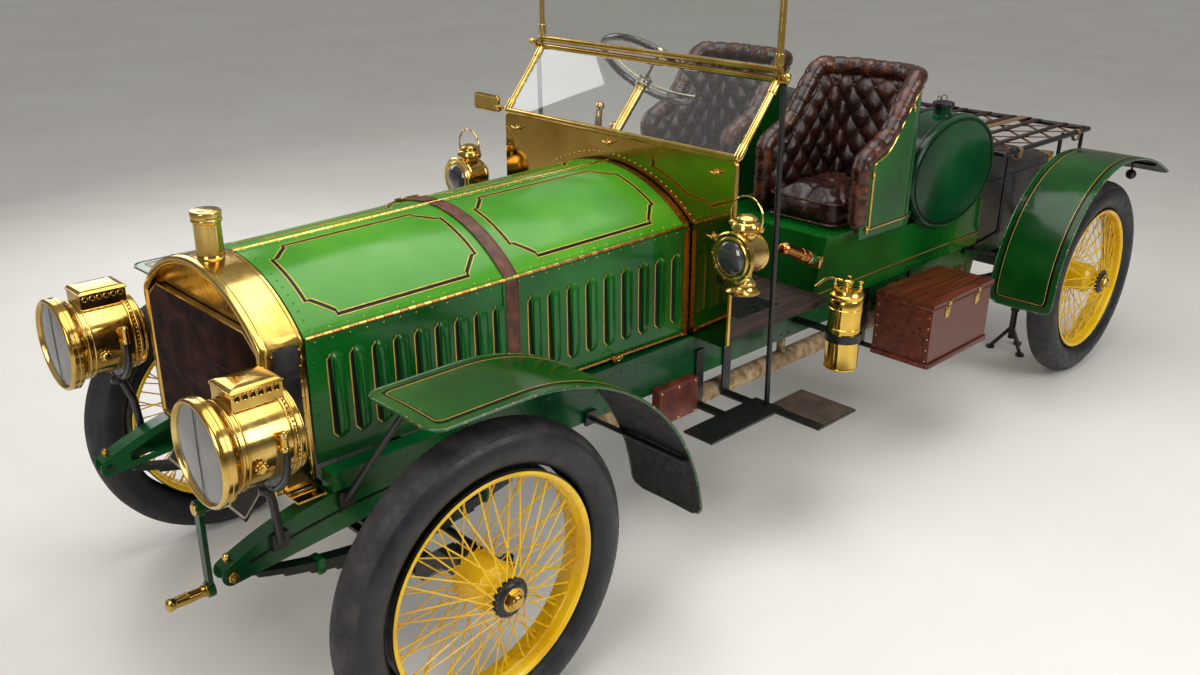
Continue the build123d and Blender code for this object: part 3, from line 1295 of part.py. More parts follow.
with BuildPart() as steering_wheel:
    with BuildSketch(column.offset(-hub_start)):
        Circle(hub_radius)
    extrude(amount=hub_length)
    with BuildSketch(column.offset(-84)):
        Circle(wheel_shaft)
    extrude(amount=wheel_shaft_length)
    for i in range(spoke_count):
        a = radians(45 + 360 / spoke_count * i)
        root = column.from_local_coords(Vector(18 * cos(a), 18 * sin(a), 0))
        tip = column.from_local_coords(Vector(wheel_rim_radius * cos(a), wheel_rim_radius * sin(a),
                                              wheel_dish))
        rod(root, tip, spoke_radius)
    with BuildSketch(Plane(origin=column.from_local_coords(Vector(0, 0, wheel_dish)), x_dir=(1, 0, 0),
                           z_dir=column.y_dir)):
        with Locations((wheel_rim_radius, 0)):
            Circle(wheel_rim_half)
    revolve(axis=Axis(column.origin, column.z_dir))
export(steering_wheel, "steering_wheel")
lever_x, lever_radius, lever_ball, lever_root_z = -565.0, 9.0, 17.0, 690.0
gate_half, gate_low, gate_step, gate_high = 12.0, 620.0, 640.0, 700.0
gate_span = (front_axle_y + 1500, front_axle_y + 1640)
# rows: root and top of each lever fore and aft, and the height of its ball
lever_table = ((front_axle_y + 1530, front_axle_y + 1640, 1270),
               (front_axle_y + 1600, front_axle_y + 1720, 1180))
pedal_spread, pedal_radius, pedal_y, pedal_z, pedal_lean = 80.0, 7.0, front_axle_y + 1290, 800.0, 30.0
pedal_wide, pedal_thick, pedal_tall = 66.0, 10.0, 56.0
pedal_foot_y, pedal_foot_half_x, pedal_foot_half_y, pedal_foot_rise = front_axle_y + 1320, 16.0, 20.0, 10.0
floor_top = sill_high + board_thickness
with BuildPart() as levers:
    block((lever_x - gate_half, -rail_outer), gate_span, (gate_low, gate_step))
    block((lever_x - gate_half, lever_x + gate_half), gate_span, (gate_step, gate_high))
    for y, top_y, top_z in lever_table:
        rod((lever_x, y, lever_root_z), (lever_x, top_y, top_z), lever_radius)
        with Locations((lever_x, top_y, top_z)):
            Sphere(lever_ball)
    for x in (column_x - pedal_spread, column_x + pedal_spread):
        block((x - pedal_foot_half_x, x + pedal_foot_half_x),
              (pedal_foot_y - pedal_foot_half_y, pedal_foot_y + pedal_foot_half_y), (floor_top,
                                                                                     floor_top + pedal_foot_rise))
        rod((x, pedal_foot_y, floor_top + 6), (x, pedal_y, pedal_z), pedal_radius)
        with Locations(Location((x, pedal_y, pedal_z), (-pedal_lean, 0, 0))):
            Box(pedal_wide, pedal_thick, pedal_tall)
export(levers, "levers_and_pedals")

# Starting handle: a shaft in its bearing, a hanging arm and a brass grip
handle_shaft, handle_shaft_end_y, handle_eye, handle_eye_width = 16.0, front_axle_y - 165, 24.0, 18.0
handle_arm_half, handle_arm_thick, handle_grip_radius = 15.0, 14.0, 14.0
with BuildPart() as handle:
    grip_z = crank_z - handle_arm
    rod((0, handle_shaft_end_y, crank_z), (0, handle_y - handle_eye_width / 2, crank_z), handle_shaft)
    block((-handle_arm_half, handle_arm_half),
          (handle_y - handle_arm_thick / 2, handle_y + handle_arm_thick / 2), (grip_z, crank_z))
    with Locations(Location((0, handle_y, crank_z), (90, 0, 0)),
                   Location((0, handle_y, grip_z), (90, 0, 0))):
        Cylinder(handle_eye, handle_eye_width)
    rod((0, handle_y, grip_z), (0, handle_y - handle_grip, grip_z), handle_grip_radius)
export(handle, "starting_handle")

# Stands that carry the back axle while the car is shown
stand_x, stand_post, stand_post_low, stand_leg, stand_leg_high = 440.0, 15.0, 60.0, 9.0, 120.0
stand_spread, stand_foot, stand_foot_thick, saddle_thick = 88.0, 20.0, 12.0, 16.0
saddle_half_x, saddle_half_y = 30.0, 26.0
up_from_base = (Align.CENTER, Align.CENTER, Align.MIN)
with BuildPart() as stands:
    for x in (-stand_x, stand_x):
        saddle = rear_tyre_radius - axle_tube_radius
        with Locations((x, rear_axle_y, stand_post_low)):
            Cylinder(stand_post, saddle - saddle_thick - stand_post_low, align=up_from_base)
        block((x - saddle_half_x, x + saddle_half_x),
              (rear_axle_y - saddle_half_y, rear_axle_y + saddle_half_y),
              (saddle - saddle_thick, saddle))
        for i in range(3):
            a = radians(90 + 120 * i)
            foot_x, foot_y = x + stand_spread * cos(a), rear_axle_y + stand_spread * sin(a)
            rod((x, rear_axle_y, stand_leg_high), (foot_x, foot_y, 10), stand_leg)
            with Locations((foot_x, foot_y, 0)):
                Cylinder(stand_foot, stand_foot_thick, align=up_from_base)
export(stands, "axle_stands")
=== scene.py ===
from math import asin, atan2, cos, degrees, hypot, pi, radians, sin, tan

import bmesh
import bpy
import numpy as np
from mathutils import Matrix, Vector


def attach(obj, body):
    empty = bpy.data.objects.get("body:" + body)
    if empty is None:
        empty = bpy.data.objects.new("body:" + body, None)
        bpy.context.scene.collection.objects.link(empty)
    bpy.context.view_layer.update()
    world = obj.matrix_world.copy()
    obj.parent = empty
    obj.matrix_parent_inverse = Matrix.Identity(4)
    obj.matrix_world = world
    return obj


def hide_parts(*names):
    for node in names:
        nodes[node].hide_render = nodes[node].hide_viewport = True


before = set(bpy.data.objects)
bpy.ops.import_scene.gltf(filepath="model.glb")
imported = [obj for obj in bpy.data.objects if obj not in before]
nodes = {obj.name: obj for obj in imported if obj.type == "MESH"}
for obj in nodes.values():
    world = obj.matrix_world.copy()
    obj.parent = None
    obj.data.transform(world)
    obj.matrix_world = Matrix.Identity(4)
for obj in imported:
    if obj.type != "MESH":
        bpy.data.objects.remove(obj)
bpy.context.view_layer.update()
scene = bpy.context.scene
scene.view_settings.view_transform = "Standard"

# The studio: a pale floor, a broad lamp over the car, a softer one on its left and a low
# one in front. The camera stands ahead of the left front wheel, a little above eye level.
camera_place = (2.5554, -3.1503, 2.0343)
camera_turn = radians(45.547)
camera_tilt = radians(21.985)
camera_roll = radians(0.557)
camera_lens = 32.52
floor_reach = 60.0
horizon_light, ceiling_light = (0.5, 0.49, 0.47), (1.0, 0.99, 0.97)
# what polished surfaces see of the studio: darker, so that brass and enamel keep their depth
gloss_horizon, gloss_ceiling = (0.13, 0.12, 0.105), (0.4, 0.39, 0.36)
fill_light = 0.46
# rows: name, place, point it faces, width, length, watts
lamp_table = [("over", (0.4, -0.6, 4.6), (0.1, -0.1, 0.6), 3.2, 5.2, 150),
              ("left", (4.6, 0.6, 3.4), (0.0, 0.3, 0.7), 2.4, 2.4, 105),
              ("front", (1.6, -5.2, 2.6), (0.0, -1.0, 0.8), 1.6, 2.2, 62),
              ("right", (-4.2, -1.0, 3.0), (0.0, 0.2, 0.8), 2.0, 3.0, 60)]


def paint(r, g, b):
    """A screen colour, each part from 0 to 255, as the linear light that shaders read."""
    return tuple((c / 255) ** 2.2 for c in (r, g, b))


def feed(node, sockets):
    """Gives sockets of a node their numbers, their colours or the outputs that they are linked to."""
    for socket, value in sockets.items():
        into = node.inputs[socket]
        if isinstance(value, bpy.types.NodeSocket):
            node.id_data.links.new(value, into)
        else:
            into.default_value = (*value, 1) if into.type == "RGBA" else value


def node_of(tree, kind, sockets, **settings):
    """A new shader node of one kind with its settings and its sockets fed."""
    node = tree.nodes.new("ShaderNode" + kind)
    for setting, value in settings.items():
        setattr(node, setting, value)
    feed(node, sockets)
    return node


def cloud(tree, place, size, depth=4.0):
    """A noise over a place whose lumps are about the given size in metres."""
    return node_of(tree, "TexNoise", {"Scale": 1 / size, "Detail": depth, "Vector": place}).outputs[
        "Fac"]


def ramp(tree, value, stops):
    """Colours spread over a value, from rows of place and colour."""
    node = node_of(tree, "ValToRGB", {"Fac": value})
    for i, (spot, shade) in enumerate(stops):
        stop = node.color_ramp.elements[i] if i < 2 else node.color_ramp.elements.new(spot)
        stop.position, stop.color = spot, (*shade, 1)
    return node.outputs["Color"]


def spread(tree, value, low, high, start=0.3, end=0.7):
    """A value stretched from one range to another, and held at its ends."""
    ends = {"From Min": start, "From Max": end, "To Min": low, "To Max": high}
    return node_of(tree, "MapRange", {**ends, "Value": value}).outputs["Result"]


def blended(tree, share, first, second):
    """One colour where the share is 0 and the other where it is 1."""
    return node_of(tree, "Mix", {"Factor": share, 6: first, 7: second}, data_type="RGBA").outputs[2]


def lift(tree, shader, height, depth):
    """A bump of the given depth in metres from a height between 0 and 1."""
    feed(shader,
         {"Normal": node_of(tree, "Bump", {"Distance": depth, "Height": height}).outputs["Normal"]})


def bare(name):
    """A new material with its node tree, its shader and the object's own coordinates."""
    stuff = bpy.data.materials.new(name)
    stuff.use_nodes = True
    tree = stuff.node_tree
    place = tree.nodes.new("ShaderNodeTexCoord").outputs["Object"]
    return stuff, tree, tree.nodes["Principled BSDF"], place


def finish(name, shades, size, rough, metal=0.0, grain=0.004, relief=0.0, coat=0.0, spots=None,
           gloss=0.5):
    """A finish whose shades drift by a cloudy noise of one size, its gloss by one a fifth as large,
    with a fine grain in relief. Spots are (colour, how rare, size) marks that show through."""
    stuff, tree, shader, place = bare(name)
    first_stop, stop_run = 0.32, 0.36
    stops = [(first_stop + stop_run * i / max(len(shades) - 1, 1), paint(*shade)) for i,
             shade in enumerate(shades)]
    colour = ramp(tree, cloud(tree, place, size, 6), stops)
    if spots:
        mark, rare, spot_size = spots
        share = spread(tree, cloud(tree, place, spot_size, 3), 0, 1, rare, rare + 0.05)
        colour = blended(tree, share, colour, paint(*mark))
    dull = spread(tree, cloud(tree, place, size / 5, 5), *rough)
    feed(shader, {"Base Color": colour, "Roughness": dull, "Metallic": metal, "Coat Weight": coat,
                  "Coat Roughness": 0.06, "Specular IOR Level": gloss})
    if relief:
        lift(tree, shader, cloud(tree, place, grain, 3), relief)
    return stuff


floor_mesh = bpy.data.meshes.new("floor")
floor_corners = [(x * floor_reach, y * floor_reach, 0) for x, y in ((-1, -1), (1, -1), (1, 1), (-1, 1))]
floor_mesh.from_pydata(floor_corners, [], [(0, 1, 2, 3)])
floor = bpy.data.objects.new("floor", floor_mesh)
scene.collection.objects.link(floor)
floor_mesh.materials.append(finish(
    "floor_finish", [(226, 222, 214), (233, 230, 223)], 1.6, (0.42, 0.6)))

world = bpy.data.worlds.new("studio")
world.use_nodes = True
scene.world = world
sky = world.node_tree
facing = node_of(sky, "SeparateXYZ", {0: node_of(sky, "TexCoord", {}).outputs["Generated"]}).outputs[
    "Z"]
ray = sky.nodes.new("ShaderNodeLightPath").outputs
seen = sky.nodes["Background"]
feed(seen, {"Color": ramp(sky, facing, [(0.0, horizon_light), (0.35, ceiling_light)])})
unseen = node_of(sky, "Background", {"Strength": fill_light})
mirrored = node_of(sky, "Background",
                   {"Color": ramp(sky, facing, [(0.0, gloss_horizon), (0.8, gloss_ceiling)])})
either = node_of(sky, "Math", {0: ray["Is Camera Ray"], 1: ray["Is Transmission Ray"]},
                 operation="MAXIMUM")
lit = node_of(sky, "MixShader", {0: ray["Is Glossy Ray"], 1: unseen.outputs[0], 2: mirrored.outputs[0]})
chosen = node_of(sky, "MixShader", {0: either.outputs[0], 1: lit.outputs[0], 2: seen.outputs[0]})
feed(sky.nodes["World Output"], {"Surface": chosen.outputs[0]})

for name, place, target, width, length, watts in lamp_table:
    light = bpy.data.lights.new(name, "AREA")
    light.shape, light.size, light.size_y, light.energy = "RECTANGLE", width, length, watts
    lamp = bpy.data.objects.new(name, light)
    lamp.location = place
    lamp.rotation_mode = "QUATERNION"
    lamp.rotation_quaternion = (Vector(target) - Vector(place)).to_track_quat("-Z", "Y")
    scene.collection.objects.link(lamp)

camera = bpy.data.objects.new("camera", bpy.data.cameras.new("camera"))
backwards = Vector((sin(camera_turn) * cos(camera_tilt), -cos(camera_turn) * cos(camera_tilt),
                    sin(camera_tilt)))
level = (-backwards).cross(Vector((0, 0, 1))).normalized()
camera_top = level.cross(-backwards)
camera_right = cos(camera_roll) * level + sin(camera_roll) * camera_top
camera_up = cos(camera_roll) * camera_top - sin(camera_roll) * level
camera_axes = Matrix((camera_right, camera_up, backwards)).transposed().to_4x4()
camera.matrix_world = Matrix.Translation(camera_place) @ camera_axes
camera.data.lens = camera_lens
scene.collection.objects.link(camera)
scene.camera = camera

# Frame: two pressed steel channels in green enamel, drawn down in front to dumb irons that
# carry the springs, with oak sills on top. Hot rivets hold the cross members, and brass
# oilers feed the spring eyes.
front_axle = -1.739
rear_axle = 1.748
rail_face = 0.39
rail_low, rail_high, sill_high = 0.545, 0.65, 0.7
eye_y, eye_z = front_axle - 0.505, 0.532
rivet_size = (0.0055, 0.0032)
spring_x = 0.365
cross_members = (0.72, 1.03, 1.665, 2.2, 2.8, 3.3, 3.76, 3.92)
hands = ((1, "left"), (-1, "right"))


def points_of(*parts):
    """Points from their coordinates, each a number or an array, spread to one shape."""
    return np.stack(np.broadcast_arrays(*parts), -1)


def round_steps(count):
    """Angles at even steps of a full turn."""
    return np.linspace(0, 2 * pi, count, endpoint=False)


def unit(v):
    """Vectors at a length of one."""
    v = np.asarray(v, float)
    return v / np.maximum(np.linalg.norm(v, axis=-1, keepdims=True), 1e-12)


def sheet_of(grid, ring_rows=False, ring_columns=False):
    """A grid of points as (points, quads): each point is joined to the next in its row and column,
    and the last to the first where the grid runs round."""
    grid = np.asarray(grid, float)
    rows, columns = grid.shape[:2]
    at = np.arange(rows * columns).reshape(rows, columns)
    if ring_rows:
        at = np.vstack([at, at[:1]])
    if ring_columns:
        at = np.hstack([at, at[:, :1]])
    return grid.reshape(-1, 3), np.stack(
        [at[:-1, :-1], at[1:, :-1], at[1:, 1:], at[:-1, 1:]], -1).reshape(-1, 4)


def joined(*shapes):
    """Several (points, quads) as one, each shape's faces counted on from the points before it."""
    starts = np.cumsum([0] + [len(points) for points, _ in shapes[:-1]])
    return (np.concatenate([points for points, _ in shapes]),
            np.concatenate([faces + start for (_, faces), start in zip(shapes, starts)]))


def eased(corners, reach, steps=3, ring=False):
    """A line with its corners drawn off: near each corner it is the quadratic blend of the point where
    it leaves one side, the corner, and the point where it joins the next."""
    corners = np.asarray(corners, float)
    before, after = np.roll(corners, 1, 0) - corners, np.roll(corners, -1, 0) - corners
    if not ring:
        before[0] = after[-1] = 0
    t = np.linspace(0, 1, steps + 1)[None, :, None]
    ends = []
    for way in (before, after):
        length = np.maximum(np.linalg.norm(way, axis=1, keepdims=True), 1e-9)
        ends.append((corners + way * np.minimum(reach / length, 0.5))[:, None])
    line = (1 - t) ** 2 * ends[0] + 2 * t * (1 - t) * corners[:, None] + t ** 2 * ends[1]
    return line.reshape(-1, corners.shape[1])


def circle(radius, sides=12):
    """Points of a circle, radius times (cos a, sin a). Two radii make an ellipse."""
    a = round_steps(sides)
    return np.asarray(radius) * points_of(np.cos(a), np.sin(a))


def ring_about(axis, centre, radius, steps):
    """Points of a circle about the X, Y or Z axis (0, 1 or 2) through a centre."""
    return np.insert(circle(radius, steps), axis, 0, axis=1) + centre


def turned(profile, centre, axis, steps=48, wall=False):
    """A surface of revolution: each (along, radius) of the profile gives
    centre + along * axis + radius * (cos a * side + sin a * other) for a full turn of a."""
    axis = unit(axis)
    side = unit(np.cross(axis, (0, 0, 1) if abs(axis[2]) < 0.9 else (1, 0, 0)))
    ring = circle(1, steps) @ np.stack([side, np.cross(axis, side)])
    along, radius = np.asarray(profile, float).T
    grid = np.asarray(centre, float) + along[None, :, None] * axis + radius[None, :, None] * ring[
        :, None]
    return sheet_of(grid, True, wall)


def collar(start, axis, inner, outer, length, ease, steps=24):
    """A plain ring round a bar, with its two outer edges eased."""
    return turned(eased([(0, inner), (0, outer), (length, outer), (length, inner)], ease), start, axis,
                  steps)


def carried(section, path, up, ring=False, sizes=1.0):
    """A closed (across, rise) section taken along a path: path + size * (across * side + rise * top),
    where side is square to the path and to up. Open ends close on their middles."""
    path, section = np.asarray(path, float), np.asarray(section, float)
    step = unit(np.roll(path, -1, 0) - np.roll(path, 1, 0) if ring else np.gradient(path, axis=0))
    side = unit(np.cross(step, np.broadcast_to(up, path.shape)))
    top = np.cross(side, step)
    size = np.broadcast_to(sizes, len(path))[:, None, None]
    grid = path[:, None] + size * (section[None, :, :1] * side[:, None]
                                   + section[None, :, 1:] * top[:, None])
    if not ring:
        ends = [np.repeat(grid[i:i + 1].mean(1, keepdims=True), len(section), 1)
                for i in (0, len(path) - 1)]
        grid = np.concatenate([ends[0], grid, ends[1]])
    return sheet_of(grid, ring, True)


def tube(path, radius, sides=10, ring=False):
    """A round bar along a path: a circle carried along it."""
    return carried(circle(radius, sides), path, (0.93, 0.11, 0.35), ring)


def bars(starts, ends, profile, sides=8):
    """Straight round bars, many at once: start + share * run + radius * ring, for each
    (share, radius) of the profile."""
    starts = np.asarray(starts, float)
    run = np.asarray(ends, float) - starts
    way = unit(run)
    side = unit(np.cross(way, np.where(abs(way[:, 2:]) > 0.9, (1.0, 0, 0), (0, 0, 1.0))))
    ring = circle(1, sides) @ np.stack([side, np.cross(way, side)], 1)
    share, radius = np.asarray(profile, float).T
    grid = (starts[:, None, None] + share[None, :, None, None] * run[:, None, None]
            + radius[None, :, None, None] * ring[:, None])
    faces = sheet_of(grid[0], False, True)[1]
    count = len(share) * sides
    return grid.reshape(-1, 3), (faces[None] + count * np.arange(len(starts))[:, None, None]).reshape(
        -1, 4)


def copies(shape, places, ways):
    """One small shape at many places, its height along each way:
    place + x * side + y * other + z * way."""
    points, faces = shape
    places = np.atleast_2d(np.asarray(places, float))
    ways = unit(np.broadcast_to(ways, places.shape))
    side = unit(np.cross(ways, np.where(abs(ways[:, 2:]) > 0.9, (1.0, 0, 0), (0, 0, 1.0))))
    axes = np.stack([side, np.cross(ways, side), ways], 1)
    grid = places[:, None] + np.einsum("pk,nkc->npc", points, axes)
    return grid.reshape(-1, 3), (faces[None]
                                 + len(points) * np.arange(len(places))[:, None, None]).reshape(-1, 4)


def raised(flat, z):
    """A flat outline, (x, y), set at a height."""
    return points_of(flat[:, 0], flat[:, 1], z)


def head(radius, height, sides=7):
    """A rivet's round head on the Z axis: four rings of a flattened dome."""
    return turned([(-height / 3, 0), (-height / 3, radius), (0, radius), (height * 0.6, radius * 0.8),
                   (height * 0.93, radius * 0.42), (height, 0)], (0, 0, 0), (0, 0, 1), sides)


def nut(radius, height):
    """A hexagon nut with eased corners and its bolt's end standing out of it, on the Z axis."""
    return turned([(-height * 0.2, 0), (-height * 0.2, radius), (height * 0.8, radius),
                   (height, radius * 0.86), (height, radius * 0.55), (height * 1.5, radius * 0.5),
                   (height * 1.55, 0)], (0, 0, 0), (0, 0, 1), 6)


def block(low, high, ease=0.003):
    """A box between two opposite corners with eased edges: a rounded rectangle carried up, drawn in
    by the easing at both ends."""
    low, high = np.minimum(low, high), np.maximum(low, high)
    middle, half = (low + high) / 2, (high - low) / 2
    outline = eased([(-half[0], -half[1]), (half[0], -half[1]), (half[0], half[1]),
                     (-half[0], half[1])], ease, 2, True)
    top, rows = half[2], []
    for z, inset in ((-top, 1.0), (-top, 0.6), (-top + ease, 0), (top - ease, 0), (top, 0.6),
                     (top, 1.0)):
        shrink = 0.0 if inset == 1.0 else (half[:2] - inset * ease) / half[:2]
        rows.append(raised(outline * shrink, z) + middle)
    return sheet_of(rows, False, True)


def make(name, shapes, stuffs, body="chassis", stands_for=(), crease=38):
    """A finished piece from shapes and the finish of each, merged, faced outwards and smoothed, then
    set riding on its body."""
    stuffs = list(stuffs) if isinstance(stuffs, (list, tuple)) else [stuffs] * len(shapes)
    points, faces = joined(*shapes)
    mesh = bpy.data.meshes.new(name)
    mesh.from_pydata(points.tolist(), [], faces.tolist())
    kinds = list(dict.fromkeys(stuffs))
    for kind in kinds:
        mesh.materials.append(kind)
    mesh.polygons.foreach_set("material_index", np.concatenate(
        [np.full(len(part[1]), kinds.index(stuff), np.int32) for part, stuff in zip(shapes, stuffs)]))
    work = bmesh.new()
    work.from_mesh(mesh)
    bmesh.ops.remove_doubles(work, verts=work.verts, dist=2e-6)
    bmesh.ops.recalc_face_normals(work, faces=work.faces)
    work.to_mesh(mesh)
    work.free()
    mesh.shade_smooth()
    mesh.set_sharp_from_angle(angle=radians(crease))
    piece = bpy.data.objects.new(name, mesh)
    scene.collection.objects.link(piece)
    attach(piece, body)
    if stands_for:
        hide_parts(*stands_for)
    return piece


def wear(node, *stuffs):
    """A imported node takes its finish, and keeps its mesh."""
    mesh = nodes[node].data
    mesh.materials.clear()
    for stuff in stuffs:
        mesh.materials.append(stuff)


def line_along(path, up, width, ring=False, height=0.0006):
    """A painted line: a flat strip of the width carried along a path on the surface."""
    return carried([(-width / 2, -height), (width / 2, -height), (width / 2, height),
                    (-width / 2, height)], path, up, ring)


def both(function):
    """The same shapes on the car's left and right, from a function of the side."""
    return function(1) + function(-1)


green_frame = finish("green_frame_enamel", [(6, 52, 26), (10, 70, 34), (18, 88, 42)], 0.25, (0.16, 0.3),
                     gloss=0.3, coat=0.15)
brass = finish("polished_brass", [(178, 140, 68), (200, 164, 88), (218, 188, 114)], 0.12, (0.09, 0.22),
               metal=1.0, grain=0.02, relief=0.00015)
copper = finish("dull_copper", [(146, 104, 54), (184, 138, 78)], 0.05, (0.18, 0.34), metal=1.0)
iron = finish("black_iron", [(12, 12, 13), (24, 23, 23)], 0.1, (0.25, 0.48), grain=0.002, relief=0.0002,
              coat=0.15)
steel = finish("bright_steel", [(128, 126, 122), (168, 166, 160)], 0.05, (0.2, 0.4), metal=1.0)
gold_line = finish("gold_leaf_line", [(196, 160, 60), (220, 186, 82)], 0.03, (0.3, 0.45), metal=0.35)
black_line = finish("black_coach_line", [(6, 7, 6), (12, 13, 11)], 0.05, (0.25, 0.4), gloss=0.2)
wear("chassis_frame", green_frame)


def frame_fixings(side):
    """Rivets in pairs over each cross member and along the dumb iron, at the rail's outer face."""
    stations = front_axle + np.array(cross_members)
    rows = np.array([rail_low + 0.018, rail_high - 0.018])
    y, z = np.meshgrid(np.concatenate([stations - 0.02, stations + 0.02]), rows)
    places = points_of(side * (rail_face + 0.0003), y.ravel(), z.ravel())
    sill = np.linspace(front_axle - 0.1, front_axle + 1.7, 19)
    sills = points_of(side * (rail_face + 0.0083), sill, sill_high - 0.024)
    return [copies(head(*rivet_size), np.concatenate([places, sills]), (side, 0, 0))]


def dumb_iron_line(side):
    """A line that follows the dumb iron's outer face, falling with the square of the way to the eye."""
    t = np.linspace(0, 1, 30)
    path = points_of(side * (rail_face + 0.0004), front_axle - 0.02 - t * 0.44, 0.598 - 0.05 * t ** 2)
    return [line_along(path, (side, 0, 0), 0.007)]


make("frame_rivets", both(frame_fixings), green_frame)
make("dumb_iron_lines", both(dumb_iron_line), black_line)
oilers = [turned(eased([(0, 0), (0, 0.006), (0.008, 0.006), (0.009, 0.009), (0.02, 0.009),
                        (0.026, 0.004), (0.027, 0)], 0.002), (side * spring_x, y, z), (0, 0, 1), 14)
          for side in (1, -1) for y, z in ((eye_y, eye_z + 0.0255), (front_axle - 0.19, rail_high))]
eye_bolts = copies(nut(0.0155, 0.011),
                   [(side * (rail_face + 0.0005), eye_y, eye_z) for side in (1, -1)],
                   [(1, 0, 0), (-1, 0, 0)])
make("frame_oilers", oilers + [eye_bolts], brass)

# Springs and axles: leaves of black-green spring steel clipped together, a forged I beam in
# front turning on kingpins, and a live axle behind with a round casing, all in dark enamel.
spring_stuff = finish("spring_enamel", [(10, 26, 20), (18, 40, 30)], 0.06, (0.3, 0.5), grain=0.003,
                      relief=0.0003)
wear("leaf_springs", spring_stuff)
for name in ("front_axle", "rear_axle", "knuckle_left", "knuckle_right", "track_rod"):
    wear(name, iron)
front_seat = 0.43
u_bolts = [(side * spring_x + dx, front_axle + dy, front_seat + 0.0095) for side in (1, -1)
           for dx in (-0.0225, 0.0225) for dy in (-0.022, 0.022)]
spring_nuts = copies(nut(0.0085, 0.009), u_bolts, (0, 0, 1))
# rows: distance from the axle, middle of the leaves there
clip_table = [(-0.27, 0.446), (0.27, 0.4395)]
clip_half = np.array((0.0235, 0.012, 0.0205))
clip_places = [np.array((side * spring_x, front_axle + dy, z)) for side in (1, -1) for dy,
               z in clip_table]
front_clips = [block(at - clip_half, at + clip_half, 0.004) for at in clip_places]
make("front_spring_clips", front_clips + [spring_nuts], green_frame)

# Wheels: a tyre beaded into a deep steel rim, laced to a long hub by wire spokes in yellow
# enamel. The hub's outer flange is black and toothed, and a brass hexagon nut draws the
# wheel on to its stub. Each is turned about the stub, x outwards from its middle plane.
track_half = 0.7235
rim_half, rim_depth = 0.0475, 0.019
hub_inner, barrel_radius, barrel_end = -0.06, 0.066, 0.04
neck_radius, flange_start, flange_end, flange_radius = 0.034, 0.08, 0.092, 0.052
nut_radius, nut_end = 0.027, 0.1225
spokes_per_row = 18
tyre_steps, notch_count = 432, 108
# rows: place, side, y, tyre radius, half width, rim radius, body
wheel_table = [("front_left", 1, front_axle, 0.44, 0.06, 0.3146, "front_left_wheel"),
               ("front_right", -1, front_axle, 0.44, 0.06, 0.3146, "front_right_wheel"),
               ("rear_left", 1, rear_axle, 0.446, 0.064, 0.32, "rear_left_wheel"),
               ("rear_right", -1, rear_axle, 0.446, 0.064, 0.32, "rear_right_wheel")]

rubber, tree, shader, place = bare("tyre_rubber")
rubber_stops = [(0.3, paint(14, 16, 21)), (0.55, paint(24, 26, 33)), (0.72, paint(42, 41, 43))]
feed(shader, {"Base Color": ramp(tree, cloud(tree, place, 0.11, 6), rubber_stops),
              "Roughness": spread(tree, cloud(tree, place, 0.03), 0.34, 0.58)})
lift(tree, shader, cloud(tree, place, 0.0016, 2), 0.0002)
tread = finish("worn_tread", [(27, 26, 28), (42, 40, 42), (58, 54, 53)], 0.07, (0.55, 0.8), grain=0.003,
               relief=0.0006)
yellow = finish("yellow_wheel_enamel", [(214, 160, 4), (236, 188, 10), (244, 202, 24)], 0.16,
                (0.2, 0.36), coat=0.35, spots=((150, 104, 20), 0.7, 0.012))


def tyre_shapes(side, y, outer, half, rim):
    """Sidewalls and tread of one tyre. Across, the section is x = half * |sin t|^0.86 and
    radius = middle + height * cos t. The tread stands up between smooth edges, with fine ribs,
    and a notch of its shoulder comes round every few degrees."""
    t = np.linspace(-2.62, 2.62, 61)
    a = round_steps(tyre_steps)
    middle = outer - half * 1.02
    x = half * 0.995 * np.sign(np.sin(t)) * np.abs(np.sin(t)) ** 0.86
    radius = middle + (outer - 0.003 - middle) * np.cos(t)
    cap = 0.5 - 0.5 * np.tanh((np.abs(t) - 0.78) / 0.05)
    ribs = 0.5 - 0.5 * np.cos(t * 2 * pi / 0.26)
    notches = np.clip(np.sin(a * notch_count) * 3.0, 0, 1)[:, None] * np.exp(
        -((np.abs(t) - 0.66) / 0.1) ** 2)[None, :]
    bands = 0.0014 * np.exp(-((np.abs(t) - 1.12) / 0.02) ** 2) + 0.0014 * np.exp(
        -((np.abs(t) - 1.95) / 0.03) ** 2)
    rise = (0.003 * cap - 0.0009 * ribs * cap + bands)[None, :] - 0.0022 * notches
    r = radius[None, :] + rise * np.cos(t)[None, :]
    across = x[None, :] + rise * np.sin(t)[None, :]
    grid = points_of(side * (track_half + across), y + r * np.sin(a)[:, None],
                     outer + r * np.cos(a)[:, None])
    bead = turned(eased([(-0.0405, rim + 0.004), (-0.0405, rim - 0.008), (0.0405, rim - 0.008),
                         (0.0405, rim + 0.004)], 0.003), (side * track_half, y, outer), (side, 0, 0),
                  96)
    edge = np.searchsorted(t, -0.86), np.searchsorted(t, 0.86)
    parts = [grid[:, :edge[0] + 1], grid[:, edge[0]:edge[1] + 1], grid[:, edge[1]:]]
    return [sheet_of(part, True) for part in parts] + [bead]


def rim_shape(side, y, outer, rim):
    """The rim: one closed wall with rolled lips, a shallow well outside and a ridge inside that the
    spoke nipples stand in."""
    low = rim - rim_depth
    wall = eased([(-rim_half, rim - 0.001), (-rim_half + 0.0035, rim + 0.0006),
                  (-rim_half + 0.0075, rim - 0.01), (rim_half - 0.0075, rim - 0.01),
                  (rim_half - 0.0035, rim + 0.0006), (rim_half, rim - 0.001), (rim_half, rim - 0.007),
                  (rim_half - 0.007, low + 0.003), (0.018, low + 0.0015), (0.012, low - 0.002),
                  (-0.012, low - 0.002), (-0.018, low + 0.0015), (-rim_half + 0.007, low + 0.003),
                  (-rim_half, rim - 0.007)], 0.003, 3, True)
    return turned(wall, (side * track_half, y, outer), (side, 0, 0), 128, wall=True)


